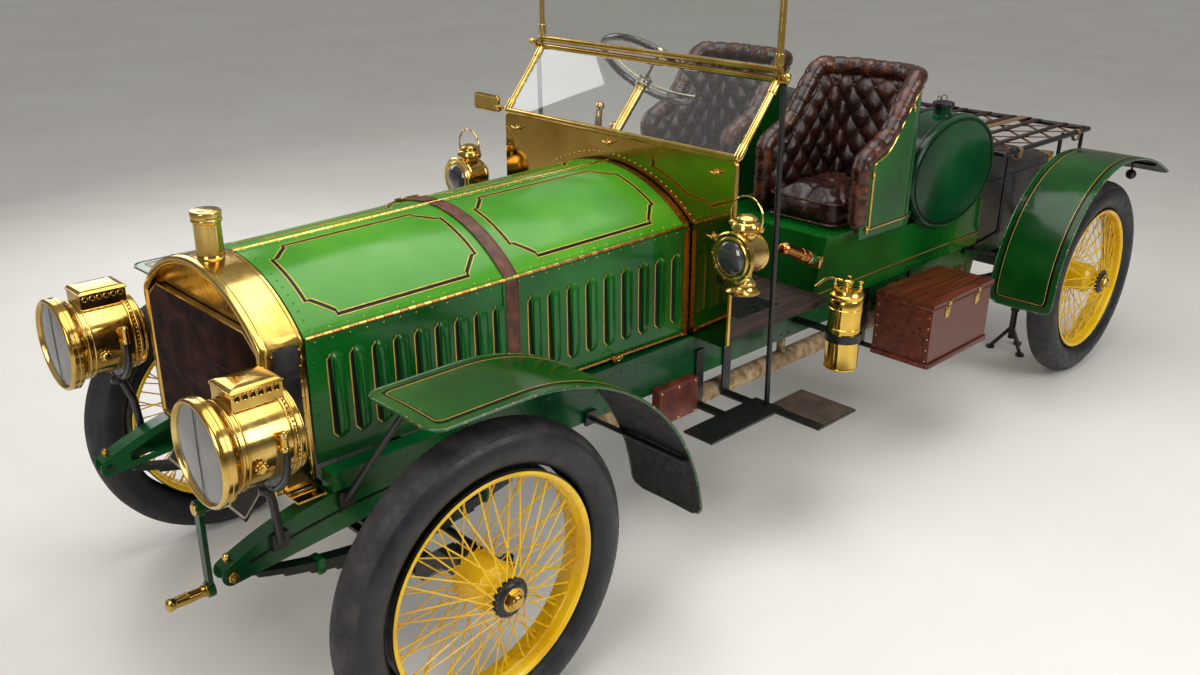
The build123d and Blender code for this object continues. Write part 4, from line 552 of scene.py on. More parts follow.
def spoke_shapes(side, y, outer, rim):
    """Spokes in four crossed rows, each a thin bar with an elbow's swelling at the hub and a nipple
    at the rim. Rows: x at the hub, radius at the hub, x at the rim, how far round it leans."""
    rows = [(flange_start + 0.003, flange_radius - 0.005, 0.012, 30.0),
            (flange_end - 0.003, flange_radius - 0.005, 0.004, -30.0),
            (hub_inner + 0.006, barrel_radius - 0.006, -0.012, 34.0),
            (hub_inner + 0.01, barrel_radius - 0.006, -0.004, -34.0)]
    starts, ends = [], []
    for row, (hub_x, hub_radius, rim_x, lean) in enumerate(rows):
        at_hub = 2 * pi / spokes_per_row * (np.arange(spokes_per_row) + row / 4)
        at_rim = at_hub + radians(lean)
        reach = rim - rim_depth + 0.001
        starts.append(points_of(hub_x, hub_radius * np.cos(at_hub), hub_radius * np.sin(at_hub)))
        ends.append(points_of(rim_x, reach * np.cos(at_rim), reach * np.sin(at_rim)))
    place = np.array((side * track_half, y, outer))
    starts, ends = [np.concatenate(rows) * (side, 1, 1) + place for rows in (starts, ends)]
    return bars(starts, ends, [(0, 0), (0, 0.0032), (0.03, 0.0022), (0.925, 0.0022), (0.93, 0.0036),
                               (0.99, 0.0038), (1, 0)], 7)


def hub_shapes(side, y, outer):
    """The hub in three finishes: the yellow barrel, the black toothed flange and the brass nut."""
    centre, out = (side * track_half, y, outer), (side, 0, 0)
    barrel = turned(eased([(hub_inner, 0.021), (hub_inner, barrel_radius - 0.006),
                           (hub_inner + 0.003, barrel_radius + 0.0005),
                           (hub_inner + 0.012, barrel_radius + 0.0005),
                           (hub_inner + 0.016, barrel_radius - 0.002),
                           (barrel_end - 0.01, barrel_radius - 0.002),
                           (barrel_end + 0.008, barrel_radius - 0.016),
                           (barrel_end + 0.016, neck_radius + 0.001),
                           (flange_start, neck_radius + 0.001)], 0.005), centre, out, 64)
    a = round_steps(144)
    tooth = 0.0014 * np.clip(np.sin(a * 36) * 2, -1, 1)
    profile = [(flange_start - 0.0008, neck_radius), (flange_start - 0.0008, flange_radius - 0.002),
               (flange_start + 0.001, flange_radius), (flange_end - 0.001, flange_radius),
               (flange_end + 0.0008, flange_radius - 0.002), (flange_end + 0.0008, 0.043),
               (flange_end + 0.003, 0.041), (flange_end + 0.007, 0.034), (flange_end + 0.007, 0.0)]
    grid = []
    for along, radius in profile:
        r = radius + (tooth if abs(radius - flange_radius) < 0.003 else 0)
        grid.append(points_of(centre[0] + side * along, y + r * np.cos(a), outer + r * np.sin(a)))
    flange = sheet_of(grid, False, True)
    bolts = copies(head(0.003, 0.0022, 6),
                   ring_about(0, (centre[0] + side * (flange_end + 0.0008), y, outer), 0.0465, 18), out)
    hexagon = turned([(flange_end + 0.004, nut_radius - 0.002), (flange_end + 0.0085, nut_radius),
                      (nut_end - 0.012, nut_radius), (nut_end - 0.0085, nut_radius - 0.0035),
                      (nut_end - 0.0085, 0.0165)], centre, out, 6)
    cap = turned(eased([(nut_end - 0.012, 0.0185), (nut_end - 0.004, 0.0185), (nut_end, 0.012),
                        (nut_end, 0.0)], 0.002), centre, out, 32)
    washer = turned(eased([(flange_end + 0.0065, 0.0), (flange_end + 0.0065, 0.0325),
                           (flange_end + 0.0095, 0.0325), (flange_end + 0.0095, 0.0)], 0.001), centre,
                    out, 40)
    valve_ring = turned(eased([(hub_inner - 0.002, 0.0), (hub_inner - 0.002, 0.05),
                               (hub_inner + 0.001, 0.05)], 0.001), centre, out, 32)
    return barrel, flange, bolts, hexagon, cap, washer, valve_ring


for place, side, y, outer, half, rim, body in wheel_table:
    walls = tyre_shapes(side, y, outer, half, rim)
    make(f"tyre_{place}_tread", walls, [rubber, tread, rubber, rubber], body,
         [f"tyre_{place}"], 50)
    barrel, flange, bolts, hexagon, cap, washer, plug = hub_shapes(side, y, outer)
    make(f"rim_and_spokes_{place}",
         [rim_shape(side, y, outer, rim), spoke_shapes(side, y, outer, rim), barrel], yellow,
         body, [f"wheel_{place}"])
    make(f"hub_flange_{place}", [flange, bolts, plug], iron, body)
    make(f"hub_nut_{place}", [hexagon, cap, washer], brass, body, crease=25)

# Engine, gearbox and exhaust: one plain mass under the bonnet in cast grey, and a pipe lagged
# with woven tape that runs back along the left rail to its silencer.
wear("engine_block", finish("cast_engine", [(72, 72, 70), (98, 96, 92), (118, 114, 106)], 0.08,
                            (0.45, 0.7), metal=0.7, grain=0.002, relief=0.0004,
                            spots=((60, 46, 34), 0.62, 0.03)))
wear("gearbox_and_shaft", iron)
lagging, tree, shader, place = bare("woven_lagging")
wrap = node_of(tree, "TexWave",
               {"Scale": 14.0, "Distortion": 1.4, "Detail Scale": 3.0, "Vector": place},
               wave_type="BANDS", bands_direction="Y").outputs["Fac"]
lagging_stops = [(0.3, paint(112, 88, 62)), (0.5, paint(160, 134, 100)), (0.7, paint(188, 168, 136))]
feed(shader, {"Base Color": ramp(tree, cloud(tree, place, 0.03, 6), lagging_stops), "Roughness": 0.85})
lift(tree, shader, wrap, 0.0012)
wear("exhaust", lagging)

# Radiator: a soldered brass shell with an arched header, and a core of upright copper fins
# behind a clipped hexagon. The shell's front edge is a rolled bead, its cheeks are black, and
# a tall filler stands on the arch.
radiator_front = front_axle - 0.339
radiator_depth = 0.11
radiator_half, radiator_low, radiator_shoulder, radiator_apex = 0.326, 0.655, 1.042, 1.192
core_half, core_shoulder, core_top_half, core_top = 0.302, 1.024, 0.245, 1.068
fin_pitch = 0.0052


def arch_path(half, low, shoulder, apex, count=60):
    """Up one side, round the arc through the apex and down the other: the arc's radius is
    (half^2 + rise^2) / (2 * rise)."""
    rise = apex - shoulder
    radius = (half ** 2 + rise ** 2) / (2 * rise)
    a = np.linspace(-asin(half / radius), asin(half / radius), count)
    arc = points_of(radius * np.sin(a), apex - radius + radius * np.cos(a))
    foot = np.linspace(low, shoulder, 8)[:-1]
    left = points_of(-half, foot)
    return np.concatenate([left, arc, (left * (-1, 1))[::-1]])


def upright(flat, y):
    """Points of a front view, (x, z), set at one station."""
    flat = np.asarray(flat, float)
    return points_of(flat[:, 0], y, flat[:, 1])


outline = arch_path(radiator_half, radiator_low, radiator_shoulder, radiator_apex)
ways = unit(np.gradient(outline, axis=0)) @ np.array([[0, 1], [-1, 0]])
rows = [(-0.0015, -0.004), (-0.0015, -0.001), (0.0015, 0.0012), (0.012, 0.0012), (0.014, 0.003),
        (0.018, 0.003), (0.02, 0.0012), (radiator_depth - 0.01, 0.0012),
        (radiator_depth - 0.008, 0.0028), (radiator_depth - 0.001, 0.0028), (radiator_depth, -0.002)]
shell_skin = sheet_of([upright(outline + ways * out, radiator_front + back) for back, out in rows])
inner_edge = eased(np.concatenate([
    arch_path(radiator_half - 0.01, radiator_low + 0.01, radiator_shoulder - 0.005,
              radiator_apex - 0.01), [(0.2, radiator_low + 0.01), (-0.2, radiator_low + 0.01)]]), 0.006,
                   1, True)
bead_section = eased([(-0.0112, -0.004), (-0.0108, 0.0022), (-0.006, 0.0052), (0.006, 0.0052),
                      (0.0108, 0.0022), (0.0112, -0.004)], 0.003, 2, True)
front_bead = carried(bead_section, upright(inner_edge, radiator_front), (0, -1, 0), ring=True)
core_corners = [(-core_half, radiator_low + 0.022), (core_half, radiator_low + 0.022),
                (core_half, core_shoulder), (core_top_half, core_top), (-core_top_half, core_top),
                (-core_half, core_shoulder)]
core_edge = carried(eased([(-0.0035, -0.012), (-0.0035, 0.0025), (0.0035, 0.0025), (0.0035, -0.012)],
                          0.001, 1, True),
                    upright(eased(core_corners, 0.006, 2, True), radiator_front + 0.002), (0, -1, 0),
                    ring=True)
filler_y = radiator_front + radiator_depth / 2
filler = turned(eased([(-0.014, 0.0), (-0.014, 0.05), (-0.004, 0.05), (0.0, 0.0365), (0.008, 0.0342),
                       (0.088, 0.0342), (0.092, 0.0385), (0.098, 0.0385), (0.1, 0.0362),
                       (0.104, 0.0385), (0.116, 0.0385), (0.1195, 0.036), (0.1195, 0.024),
                       (0.1215, 0.022), (0.1215, 0.0)], 0.0016), (0, filler_y, radiator_apex),
                (0, 0, 1), 64)
cheek_rivets = copies(head(0.0032, 0.002), np.concatenate(
    [points_of(side * (radiator_half + 0.0012), radiator_front + back,
               np.linspace(radiator_low + 0.03, radiator_shoulder - 0.02, 9)) for side in (1, -1)
     for back in (0.0245, radiator_depth - 0.013)]), (1, 0, 0))
lugs = [block((side * 0.333 - 0.018, radiator_front + 0.022, rail_high + 0.001),
              (side * 0.333 + 0.018, radiator_front + 0.098, rail_high + 0.012), 0.003)
        for side in (1, -1)]
make("radiator_brass_skin", [shell_skin, front_bead, core_edge, filler, cheek_rivets] + lugs, brass)
make("radiator_cheeks", [block((side * (radiator_half + 0.0004) - 0.0012, radiator_front + 0.028,
                                radiator_low + 0.012), (
    side * (radiator_half + 0.0004) + 0.0012, radiator_front + radiator_depth - 0.016,
    radiator_shoulder - 0.006), 0.001) for side in (1, -1)], iron)
wear("radiator_shell", brass)
fin_metal = finish("copper_fins", [(24, 13, 12), (44, 24, 21), (62, 36, 30)], 0.05, (0.35, 0.6),
                   metal=0.55, spots=((84, 62, 48), 0.68, 0.01))
wear("radiator_core", fin_metal)
x = np.arange(-core_half + 0.0035, core_half - 0.0035, fin_pitch / 4)
wave = np.abs((np.arange(len(x)) % 4) - 2) / 2
top = np.minimum(core_top - 0.004, core_shoulder
                 + (core_half - np.abs(x)) * (core_top - core_shoulder) / (core_half - core_top_half)
                 - 0.004)
fin_foot = radiator_low + 0.026
fin_rows = [points_of(x, radiator_front + 0.0028 - 0.0042 * wave, fin_foot + share * (top - fin_foot))
            for share in np.linspace(0, 1, 7)]
ties = [block((-core_half + 0.004, radiator_front - 0.0018, z - 0.0015),
              (core_half - 0.004, radiator_front + 0.002, z + 0.0015), 0.0008)
        for z in (0.745, 0.84, 0.935)]
make("radiator_fins", [sheet_of(fin_rows)] + ties, fin_metal, crease=20)

# Bonnet: two curved top leaves and two flat sides of sheet steel in gloss green, joined by
# hinges of brass and copper knuckles. The sides are pressed into louvres, the tops carry black
# lines edged in gold with notched corners, and a leather strap holds it shut.
bonnet_front = radiator_front + radiator_depth + 0.005
bonnet_rear = front_axle + 1.12
rear_half, rear_shoulder, rear_apex = 0.37, 1.077, 1.2245
bonnet_low, side_lean, top_arc = 0.705, 0.02, 0.385
strap_y, strap_half = front_axle + 0.407, 0.0245
louvre_low, louvre_high, louvre_rise, louvre_shade_bow = 0.765, 0.985, 0.0108, 0.012
louvre_table = [(bonnet_front + 0.062, strap_y - 0.058, 9), (strap_y + 0.066, bonnet_rear - 0.062, 9)]
rod_z, pull_y, rod_block = 0.716, front_axle + 0.794, np.array((0.0062, 0.014, 0.0075))
knuckle_count, buckle_v = 55, 0.36
# rows: share of one knuckle's length, radius there
knuckle = [(0, 0.0034), (0.015, 0.0052), (0.93, 0.0052), (0.95, 0.0034), (1.0, 0.0034)]
# rows: front and rear of each painted panel on the tops
panel_table = [(bonnet_front + 0.05, strap_y - 0.06), (strap_y + 0.062, bonnet_rear - 0.075)]
bonnet_bodies = {1: ("bonnet_top_left", "bonnet_side_left"),
                 -1: ("bonnet_top_right", "bonnet_side_right")}


def bonnet_at(y):
    """Half width, shoulder height and apex height, each on a straight line from front to rear."""
    share = (np.asarray(y, float) - bonnet_front) / (bonnet_rear - bonnet_front)
    return [first + share * (last - first) for first, last in (
        (radiator_half, rear_half), (radiator_shoulder, rear_shoulder), (radiator_apex, rear_apex))]


def on_top(y, v, side, rise=0.0):
    """The curved top: v runs from the middle hinge at 0 to the shoulder at 1 round an arc of radius
    (half^2 + drop^2) / (2 * drop), and rise lifts a point off it."""
    half, shoulder, apex = bonnet_at(y)
    drop = apex - shoulder
    radius = (half ** 2 + drop ** 2) / (2 * drop)
    a = v * np.arcsin(half / radius)
    return points_of(side * (radius + rise) * np.sin(a), y, apex - radius + (radius + rise) * np.cos(a))


def top_way(y, v, side):
    """The direction straight out of the curved top."""
    return unit(on_top(y, v, side, 0.01) - on_top(y, v, side))


def on_side(y, z, side, out=0.0):
    """The flat side: x = half width + lean * drop below the shoulder, moved out by a little."""
    half, shoulder, _ = bonnet_at(y)
    return points_of(side * (half + side_lean * (shoulder - z) + out), y, z)


def panel_outline(front, rear, inset):
    """A closed line on the top's (y, v) sheet: a rectangle whose corners are cut by a small square
    notch and a slope, moved in by the inset. Points follow at steps of about 20 mm."""
    notch, step = 0.06, 0.012
    low, high = (0.05 + inset) / top_arc, 1 - (0.042 + inset) / top_arc
    front, rear = front + inset, rear - inset
    slope = notch - 0.41 * inset
    corner = np.array([(slope, 0.0), (slope, step), (step, slope), (0.0, slope)])
    # rows: the corner's y and v, the ways into the panel, and the order of its points
    corners = [(front, low, 1, 1, -1), (rear, low, -1, 1, 1), (rear, high, -1, -1, -1),
               (front, high, 1, -1, 1)]
    line = np.concatenate([((y, v) + corner * (way_y, way_v / top_arc))[::order] for y, v, way_y, way_v,
                           order in corners])
    dense = []
    for here, there in zip(line, np.roll(line, -1, 0)):
        run = there - here
        steps = max(int(hypot(run[0], run[1] * top_arc) / 0.02), 1)
        dense.append(here + np.arange(steps)[:, None] / steps * run)
    return np.concatenate(dense)


def panel_line(front, rear, inset, width, side, height):
    """One painted line round a panel, lying on the curved top."""
    y, v = panel_outline(front, rear, inset).T
    return line_along(on_top(y, v, side, height), top_way(y, v, side), width, ring=True, height=0.0005)


def top_strip(y, v, side, rise, width, height=0.0007):
    """A flat strip laid along the curved top."""
    return line_along(on_top(y, v, side, rise), top_way(y, v, side), width, height=height)


def side_strip(y, z, side, out, width, height=0.0007):
    """A flat strip laid along the flat side."""
    return line_along(on_side(y, z, side, out), (side, 0, 0), width, height=height)


def on_top_at(shape, y, v, side, rise=0.0):
    """Copies of a rivet or a screw standing on the curved top."""
    return copies(shape, on_top(y, v, side, rise), top_way(y, v, side))


def louvre_shape(y, side):
    """One louvre: a hood whose height falls off across as cos(v * pi / 2) ^ 0.8 and along as a rounded
    end, sqrt(1 - |2u - 1| ^ 12), closed by a flat lip on the panel."""
    u, v = np.linspace(0, 1, 25)[:, None], np.linspace(0, 1, 9)[None, :]
    end = np.sqrt(np.clip(1 - np.abs(2 * u - 1) ** 12, 0, 1))
    z = louvre_low - 0.008 + u * (louvre_high - louvre_low + 0.016)
    back = y + 0.0046 + 0.034 * v * (0.35 + 0.65 * end)
    outer = on_side(back, z, side, louvre_rise * np.cos(v * pi / 2) ** 0.8 * end)
    lip = on_side(back[:, :1], z, side, -0.0004)
    return sheet_of(np.concatenate([lip, outer], 1))


def louvre_edges(y, side):
    """Painted shade in a louvre's opening: a black strip on the panel with rounded ends, and the gold
    line down its front.
    """
    t = np.linspace(-1, 1, 18)
    z = (louvre_low + louvre_high) / 2 + t * (louvre_high - louvre_low + 0.008) / 2
    bow = louvre_shade_bow * np.sqrt(np.clip(1 - np.abs(t) ** 16, 0, 1))
    front, back = on_side(y + 0.004 - bow, z, side, 0.0007), on_side(y + 0.0052, z, side, 0.0007)
    skin = (side * 0.0003, 0, 0)
    mouth_shade = sheet_of(np.stack([front, front + skin, back + skin, back], 1), ring_columns=True)
    return mouth_shade, side_strip(y + 0.0028 - bow * 1.1, z, side, 0.0008, 0.003, 0.0004)


# the top leaves' green is the car's green painted lighter: painted light on the faces turned up to the
# lamps
green = finish("green_coachwork_painted_light", [(48, 112, 22), (66, 136, 30), (90, 158, 40)], 0.5, (0.14, 0.26),
               coat=0.1, gloss=0.3)
green_side = finish("green_bonnet_side", [(10, 70, 26), (18, 88, 32), (30, 104, 38)], 0.3, (0.12, 0.22),
                    coat=0.1, gloss=0.3, spots=((24, 44, 22), 0.78, 0.01))
strap_leather = finish("strap_leather", [(58, 30, 20), (84, 46, 30), (104, 62, 42)], 0.03, (0.4, 0.6),
                       grain=0.0018, relief=0.0004)
# black for painted shade: the strips in the louvres' openings and the shadow lines in the headlamps
painted_shade_black = finish("painted_shade_black", [(5, 6, 6), (12, 13, 12)], 0.1, (0.6, 0.8))

rivet, screw = head(0.0035, 0.002), head(0.0028, 0.0016)
stations = np.linspace(bonnet_front + 0.002, bonnet_rear - 0.002, knuckle_count + 1)
screw_at, strip_drop = stations[1:-1:2], 0.0145
shoulder_v, middle_v = 1 - 0.015 / top_arc, 0.013 / top_arc
strap_section = eased([(-strap_half, -0.0046), (-strap_half, 0.0008), (strap_half, 0.0008),
                       (strap_half, -0.0046)], 0.0012, 1, True)
stitch_out, stitch_width, stitch_height = (-0.019, 0.019), 0.0012, 0.0003
for side, (top_body, side_body) in bonnet_bodies.items():
    place = "left" if side > 0 else "right"
    wear(f"bonnet_top_{place}", green)
    wear(f"bonnet_side_{place}", green_side)
    black = [panel_line(front, rear, 0.0, 0.0085, side, 0.0004) for front, rear in panel_table]
    gold = [panel_line(front, rear, inset, 0.002, side, 0.0006) for front,
            rear in panel_table for inset in (-0.0062, 0.0062)]
    make(f"bonnet_lines_black_{place}", black, black_line, top_body)
    make(f"bonnet_lines_gold_{place}", gold, gold_line, top_body)
    louvre_places = np.concatenate([np.linspace(*row) for row in louvre_table])
    # black strips of painted shade stand in the louvres' openings
    mouth_shades, lines = zip(*[louvre_edges(y, side) for y in louvre_places])
    make(f"louvres_{place}", [louvre_shape(y, side) for y in louvre_places], green_side,
         side_body, crease=50)
    make(f"louvre_mouth_shades_{place}", mouth_shades, painted_shade_black, side_body)
    make(f"louvre_lines_{place}", lines, gold_line, side_body)
    # a copper rod along the foot of the side, with a ring to lift it by
    rod = on_side(np.array([front_axle + 0.6, bonnet_rear - 0.02]), rod_z, side, 0.0075)
    eye = on_side(pull_y, rod_z, side, 0.014)
    holders = [block(at - rod_block, at + rod_block, 0.002)
               for at in (*rod, eye - (side * 0.0065, 0, 0))]
    make(f"bonnet_rod_{place}", [tube(rod, 0.0055, 10)] + holders, copper, side_body)
    t = round_steps(20)
    pull = points_of(side * (0.01 + 0.009 * np.cos(t)), 0.021 * np.sin(t), 0.012 * np.cos(t))
    make(f"bonnet_pull_{place}", [tube(eye + pull, 0.0026, 8, True)], brass, side_body)
    # rivets along the ends and edges of the leaves
    v, z, low_y = np.linspace(0.06, 0.94, 13), np.linspace(0.735, 1.01, 9), np.linspace(
        bonnet_front + 0.03, bonnet_rear - 0.03, 26)
    top_rivets = [on_top_at(rivet, y, v, side) for y in (bonnet_front + 0.02, bonnet_rear - 0.034)]
    make(f"bonnet_top_rivets_{place}", top_rivets, green, top_body)
    side_rivets = [copies(rivet, on_side(y, at, side), (side, 0, 0)) for y,
                   at in ((bonnet_front + 0.018, z), (bonnet_rear - 0.03, z), (low_y, 0.722))]
    make(f"bonnet_side_rivets_{place}", side_rivets, green_side, side_body)
    # shoulder hinge: knuckles of brass and copper in turn, and a strip with screws on each sheet
    axis = on_side(stations, bonnet_at(stations)[1], side)
    strip = side_strip(stations, bonnet_at(stations)[1] - strip_drop, side, 0.0004, 0.012)
    side_screws = copies(screw, on_side(screw_at, bonnet_at(screw_at)[1] - strip_drop, side, 0.001),
                         (side, 0, 0))
    make(f"shoulder_hinge_{place}", [bars(axis[:-1:2], axis[1::2], knuckle, 10),
                                     bars(axis[1:-1:2], axis[2::2], knuckle, 10), strip, side_screws],
         [brass, copper, green_side, brass], side_body)
    leaf = [top_strip(stations, at, side, 0.0004, width) for at,
            width in ((shoulder_v, 0.012), (middle_v, 0.015))]
    make(f"shoulder_hinge_leaf_{place}",
         leaf + [on_top_at(screw, screw_at, at, side, 0.001) for at in (shoulder_v, middle_v)],
         [green, green, brass, brass], top_body)
    # finishing strips in copper at the rear end of the top and the side
    v, z = np.linspace(0.03, 0.98, 24), np.linspace(bonnet_low + 0.004, rear_shoulder - 0.022, 12)
    make(f"bonnet_rear_strip_top_{place}",
         [top_strip(bonnet_rear - 0.01, v, side, 0.0008, 0.018, 0.0012)], copper, top_body)
    make(f"bonnet_rear_strip_side_{place}",
         [side_strip(bonnet_rear - 0.01, z, side, 0.0008, 0.018, 0.0012)], copper, side_body)
    # strap: over the top leaf and down the side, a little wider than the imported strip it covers
    v, z = np.linspace(0.033, 0.985, 30), np.linspace(1.052, bonnet_low - 0.004, 24)
    stitch = [line_along(on_top(strap_y + dy, v, side, 0.0056), top_way(strap_y, v, side), stitch_width,
                         height=stitch_height) for dy in stitch_out]
    make(f"bonnet_strap_top_{place}", [
        carried(strap_section, on_top(strap_y, v, side, 0.0046), top_way(strap_y, v, side))] + stitch,
         strap_leather, top_body)
    stitch = [side_strip(strap_y + dy, z, side, 0.0058, stitch_width, stitch_height)
              for dy in stitch_out]
    make(f"bonnet_strap_side_{place}",
         [carried(strap_section, on_side(strap_y, z, side, 0.005), (side, 0, 0))] + stitch,
         strap_leather, side_body)

hinge_y = np.linspace(radiator_front + radiator_depth + 0.002, front_axle + 1.128, 56)
axis = points_of(0, hinge_y, bonnet_at(hinge_y)[2])
centre_knuckle = [(share, min(radius, 0.005)) for share, radius in knuckle]
make("centre_hinge", [bars(axis[:-1], axis[1:], centre_knuckle, 10)], brass,
     stands_for=["bonnet_hinge_rod"])
buckle_at, buckle_way = on_top(strap_y, buckle_v, -1, 0.0075), top_way(strap_y, buckle_v, -1)
along = unit(np.cross(buckle_way, (0, 1, 0)))
frame_path = np.array([buckle_at + dy * np.array((0, 1, 0)) + da * along for dy,
                       da in eased([(-0.031, -0.02), (0.031, -0.02), (0.031, 0.02), (-0.031, 0.02)],
                                   0.008, 3, True)])
make("strap_buckle", [carried(circle(0.003, 8), frame_path, buckle_way, ring=True),
                      tube([buckle_at + (0, -0.03, 0), buckle_at, buckle_at + (0, 0.03, 0)], 0.0022, 8),
                      tube([buckle_at, buckle_at + along * 0.012 + buckle_way * 0.002,
                            buckle_at + along * 0.023], 0.0018, 8)], brass, "bonnet_top_right")

# Dash and floor: an upright sheet of polished brass across the car behind the bonnet, edged
# with a rolled bead and held by wing nuts, and floor boards of dark oak with an eased nosing.
dash_y, dash_thickness, dash_half, dash_high = front_axle + 1.13, 0.017, 0.54, 1.305
floor_rear, floor_half, board_top = front_axle + 1.742, 0.5, sill_high + 0.016

dash_brass = finish("mirror_brass", [(156, 120, 54), (176, 140, 70), (194, 160, 88)], 0.3, (0.05, 0.13),
                    metal=1.0)
wear("dash_panel", dash_brass)
edge_path = eased([(-dash_half, sill_high + 0.01), (-dash_half, dash_high), (dash_half, dash_high),
                   (dash_half, sill_high + 0.01)], 0.016, 4)
dash_bead = carried(circle(0.0072, 10), upright(edge_path, dash_y + dash_thickness / 2), (0, -1, 0))
wing_nut_table = [(0.47, 1.262), (-0.47, 1.262), (0.47, 1.06), (-0.47, 1.06), (0.0, 1.282)]
wing_nuts = []
for x, z in wing_nut_table:
    front = dash_y - 0.0005
    wing_nuts.append(turned(eased([(-0.001, 0), (-0.001, 0.012), (0.003, 0.012), (0.004, 0.007),
                                   (0.016, 0.0055), (0.018, 0)], 0.0015), (x, front, z), (0, -1, 0),
                            20))
    for way in (1, -1):
        wing_nuts.append(tube([(x + way * 0.004, front - 0.01, z),
                               (x + way * 0.012, front - 0.013, z + 0.003),
                               (x + way * 0.018, front - 0.018, z + 0.008)], 0.0028, 8))
arch_screws = copies(head(0.0035, 0.0024), np.concatenate(
    [on_top(dash_y - 0.0005, np.linspace(0.05, 1, 17), side, 0.022) * (1, 0, 1)
     + (0, dash_y - 0.0003, 0) for side in (1, -1)]), (0, -1, 0))
make("dash_trim", [dash_bead, arch_screws] + wing_nuts, brass)

oak, tree, shader, place = bare("dark_oak")
grain = node_of(tree, "Mapping", {"Scale": (9.0, 0.7, 9.0), "Vector": place}).outputs["Vector"]
oak_stops = [(0.3, paint(26, 17, 13)), (0.5, paint(46, 32, 25)), (0.7, paint(66, 48, 38))]
feed(shader, {"Base Color": ramp(tree, cloud(tree, grain, 0.14, 8), oak_stops), "Roughness": 0.62})
lift(tree, shader, cloud(tree, grain, 0.05, 6), 0.0008)
board_width = 2 * floor_half / 7
floor_planks = [block((-floor_half + i * board_width + 0.001, dash_y + dash_thickness + 0.002,
                       board_top - 0.002), (
    -floor_half + (i + 1) * board_width - 0.001, floor_rear - 0.001, board_top + 0.004), 0.002)
                for i in range(7)]
nosing = [block((side * (floor_half + 0.003) - 0.006, dash_y + dash_thickness + 0.002,
                 sill_high - 0.006),
                (side * (floor_half + 0.003) + 0.006, floor_rear - 0.001, board_top + 0.006), 0.004)
          for side in (1, -1)]
wear("floor_boards", oak)
make("floor_planks", floor_planks + nosing, oak)
tread_plates = [block((side * 0.36 - 0.075, dash_y + 0.2, board_top + 0.0035),
                      (side * 0.36 + 0.075, dash_y + 0.42, board_top + 0.006), 0.001)
                for side in (1, -1)]
make("heel_plates", tread_plates, iron)
# copper strips on which the bonnet rests, in the gap before the dash
rest_y, rest_width = (bonnet_rear + 0.0025 + dash_y - 0.0006) / 2, dash_y - bonnet_rear - 0.0031
rest_v, rest_z = np.linspace(0.02, 0.985, 26), np.linspace(
    rear_shoulder - 0.008, bonnet_low + 0.006, 14)
make("bonnet_rest", both(lambda side: [
    top_strip(rest_y, rest_v, side, -0.0056, rest_width, 0.0012),
    side_strip(rest_y, rest_z, side, -0.0056, rest_width, 0.0012)]),
     copper)

# Windscreen: two brass-framed panes, the lower leaning back from the dash and the upper
# folding on a hinge between the posts, with clamps and a small square mirror on the right.
hinge_y, hinge_z = front_axle + 1.315, 1.546
screen_foot_y, screen_foot_z = dash_y + dash_thickness / 2, dash_high + 0.0113
screen_top = 1.95
glass, tree, shader, place = bare("clear_glass")
feed(shader, {"Transmission Weight": 1.0, "Base Color": (0.9, 0.93, 0.91),
              "Roughness": spread(tree, cloud(tree, place, 0.4), 0.004, 0.03)})
for name in ("screen_and_lamp_glass", "screen_pane_upper"):
    wear(name, glass)
wear("screen_lower", brass)
wear("screen_upper", brass)


def clamp_shapes(side):
    """Collars and a winged screw where a post of the frame meets a rail."""
    shapes = []
    low_way = unit((0, hinge_y - screen_foot_y, hinge_z - screen_foot_z))
    for start, way, length in (((side * dash_half, screen_foot_y, screen_foot_z), low_way, 0.045),
                               (np.array((side * dash_half, hinge_y, hinge_z - 0.0135))
                                - low_way * 0.05, low_way, 0.04)):
        shapes.append(collar(start, way, 0.011, 0.0145, length, 0.003))
    shapes.append(turned(eased([(0, 0), (0, 0.009), (0.01, 0.009), (0.014, 0.013), (0.022, 0.013),
                                (0.026, 0.006), (0.026, 0)], 0.002),
                         (side * (dash_half + 0.026), hinge_y - 0.013, hinge_z), (side, 0, 0), 24))
    return shapes


def upper_shapes(side):
    """Two collars on each post of the folding frame."""
    return [collar((side * dash_half, hinge_y, z), (0, 0, 1), 0.011, 0.0142, length, 0.003) for z,
            length in ((hinge_z + 0.03, 0.035), (screen_top - 0.062, 0.03))]


make("screen_clamps", both(clamp_shapes), brass)
make("screen_collars_upper", both(upper_shapes), brass, "upper_screen")
mirror_frame = carried(eased([(-0.005, -0.006), (-0.005, 0.006), (0.005, 0.006), (0.005, -0.006)],
                             0.002, 2, True), upright(
    eased([(-0.722, 1.305), (-0.593, 1.305), (-0.593, 1.357), (-0.722, 1.357)], 0.008, 3, True),
    screen_foot_y), (0, -1, 0), ring=True)
make("mirror_frame", [mirror_frame, turned(
    eased([(0, 0.009), (0.02, 0.009), (0.022, 0.006)], 0.002), (-0.578, screen_foot_y, 1.318),
    (-1, 0, 0.1), 16)], brass)

# Body: an open tub of sheet steel in green over the seats' base, with two bucket shells and a
# low tail. Brass beading follows every edge, with small knobs on the seat panels' corners.
base_half, base_high = 0.44, 0.93
seat_x, seat_outer = 0.3, 0.235
seat_front, seat_rear = front_axle + 1.862, front_axle + 2.3
seat_low, seat_high, seat_corner = 1.195, 1.462, 0.15
tail_rear = front_axle + 2.975

green_body = finish("green_body", [(10, 60, 22), (16, 80, 28), (28, 98, 34)], 0.45, (0.1, 0.2),
                    coat=0.05, gloss=0.3, spots=((16, 40, 20), 0.78, 0.012))
wear("body_tub", green_body)


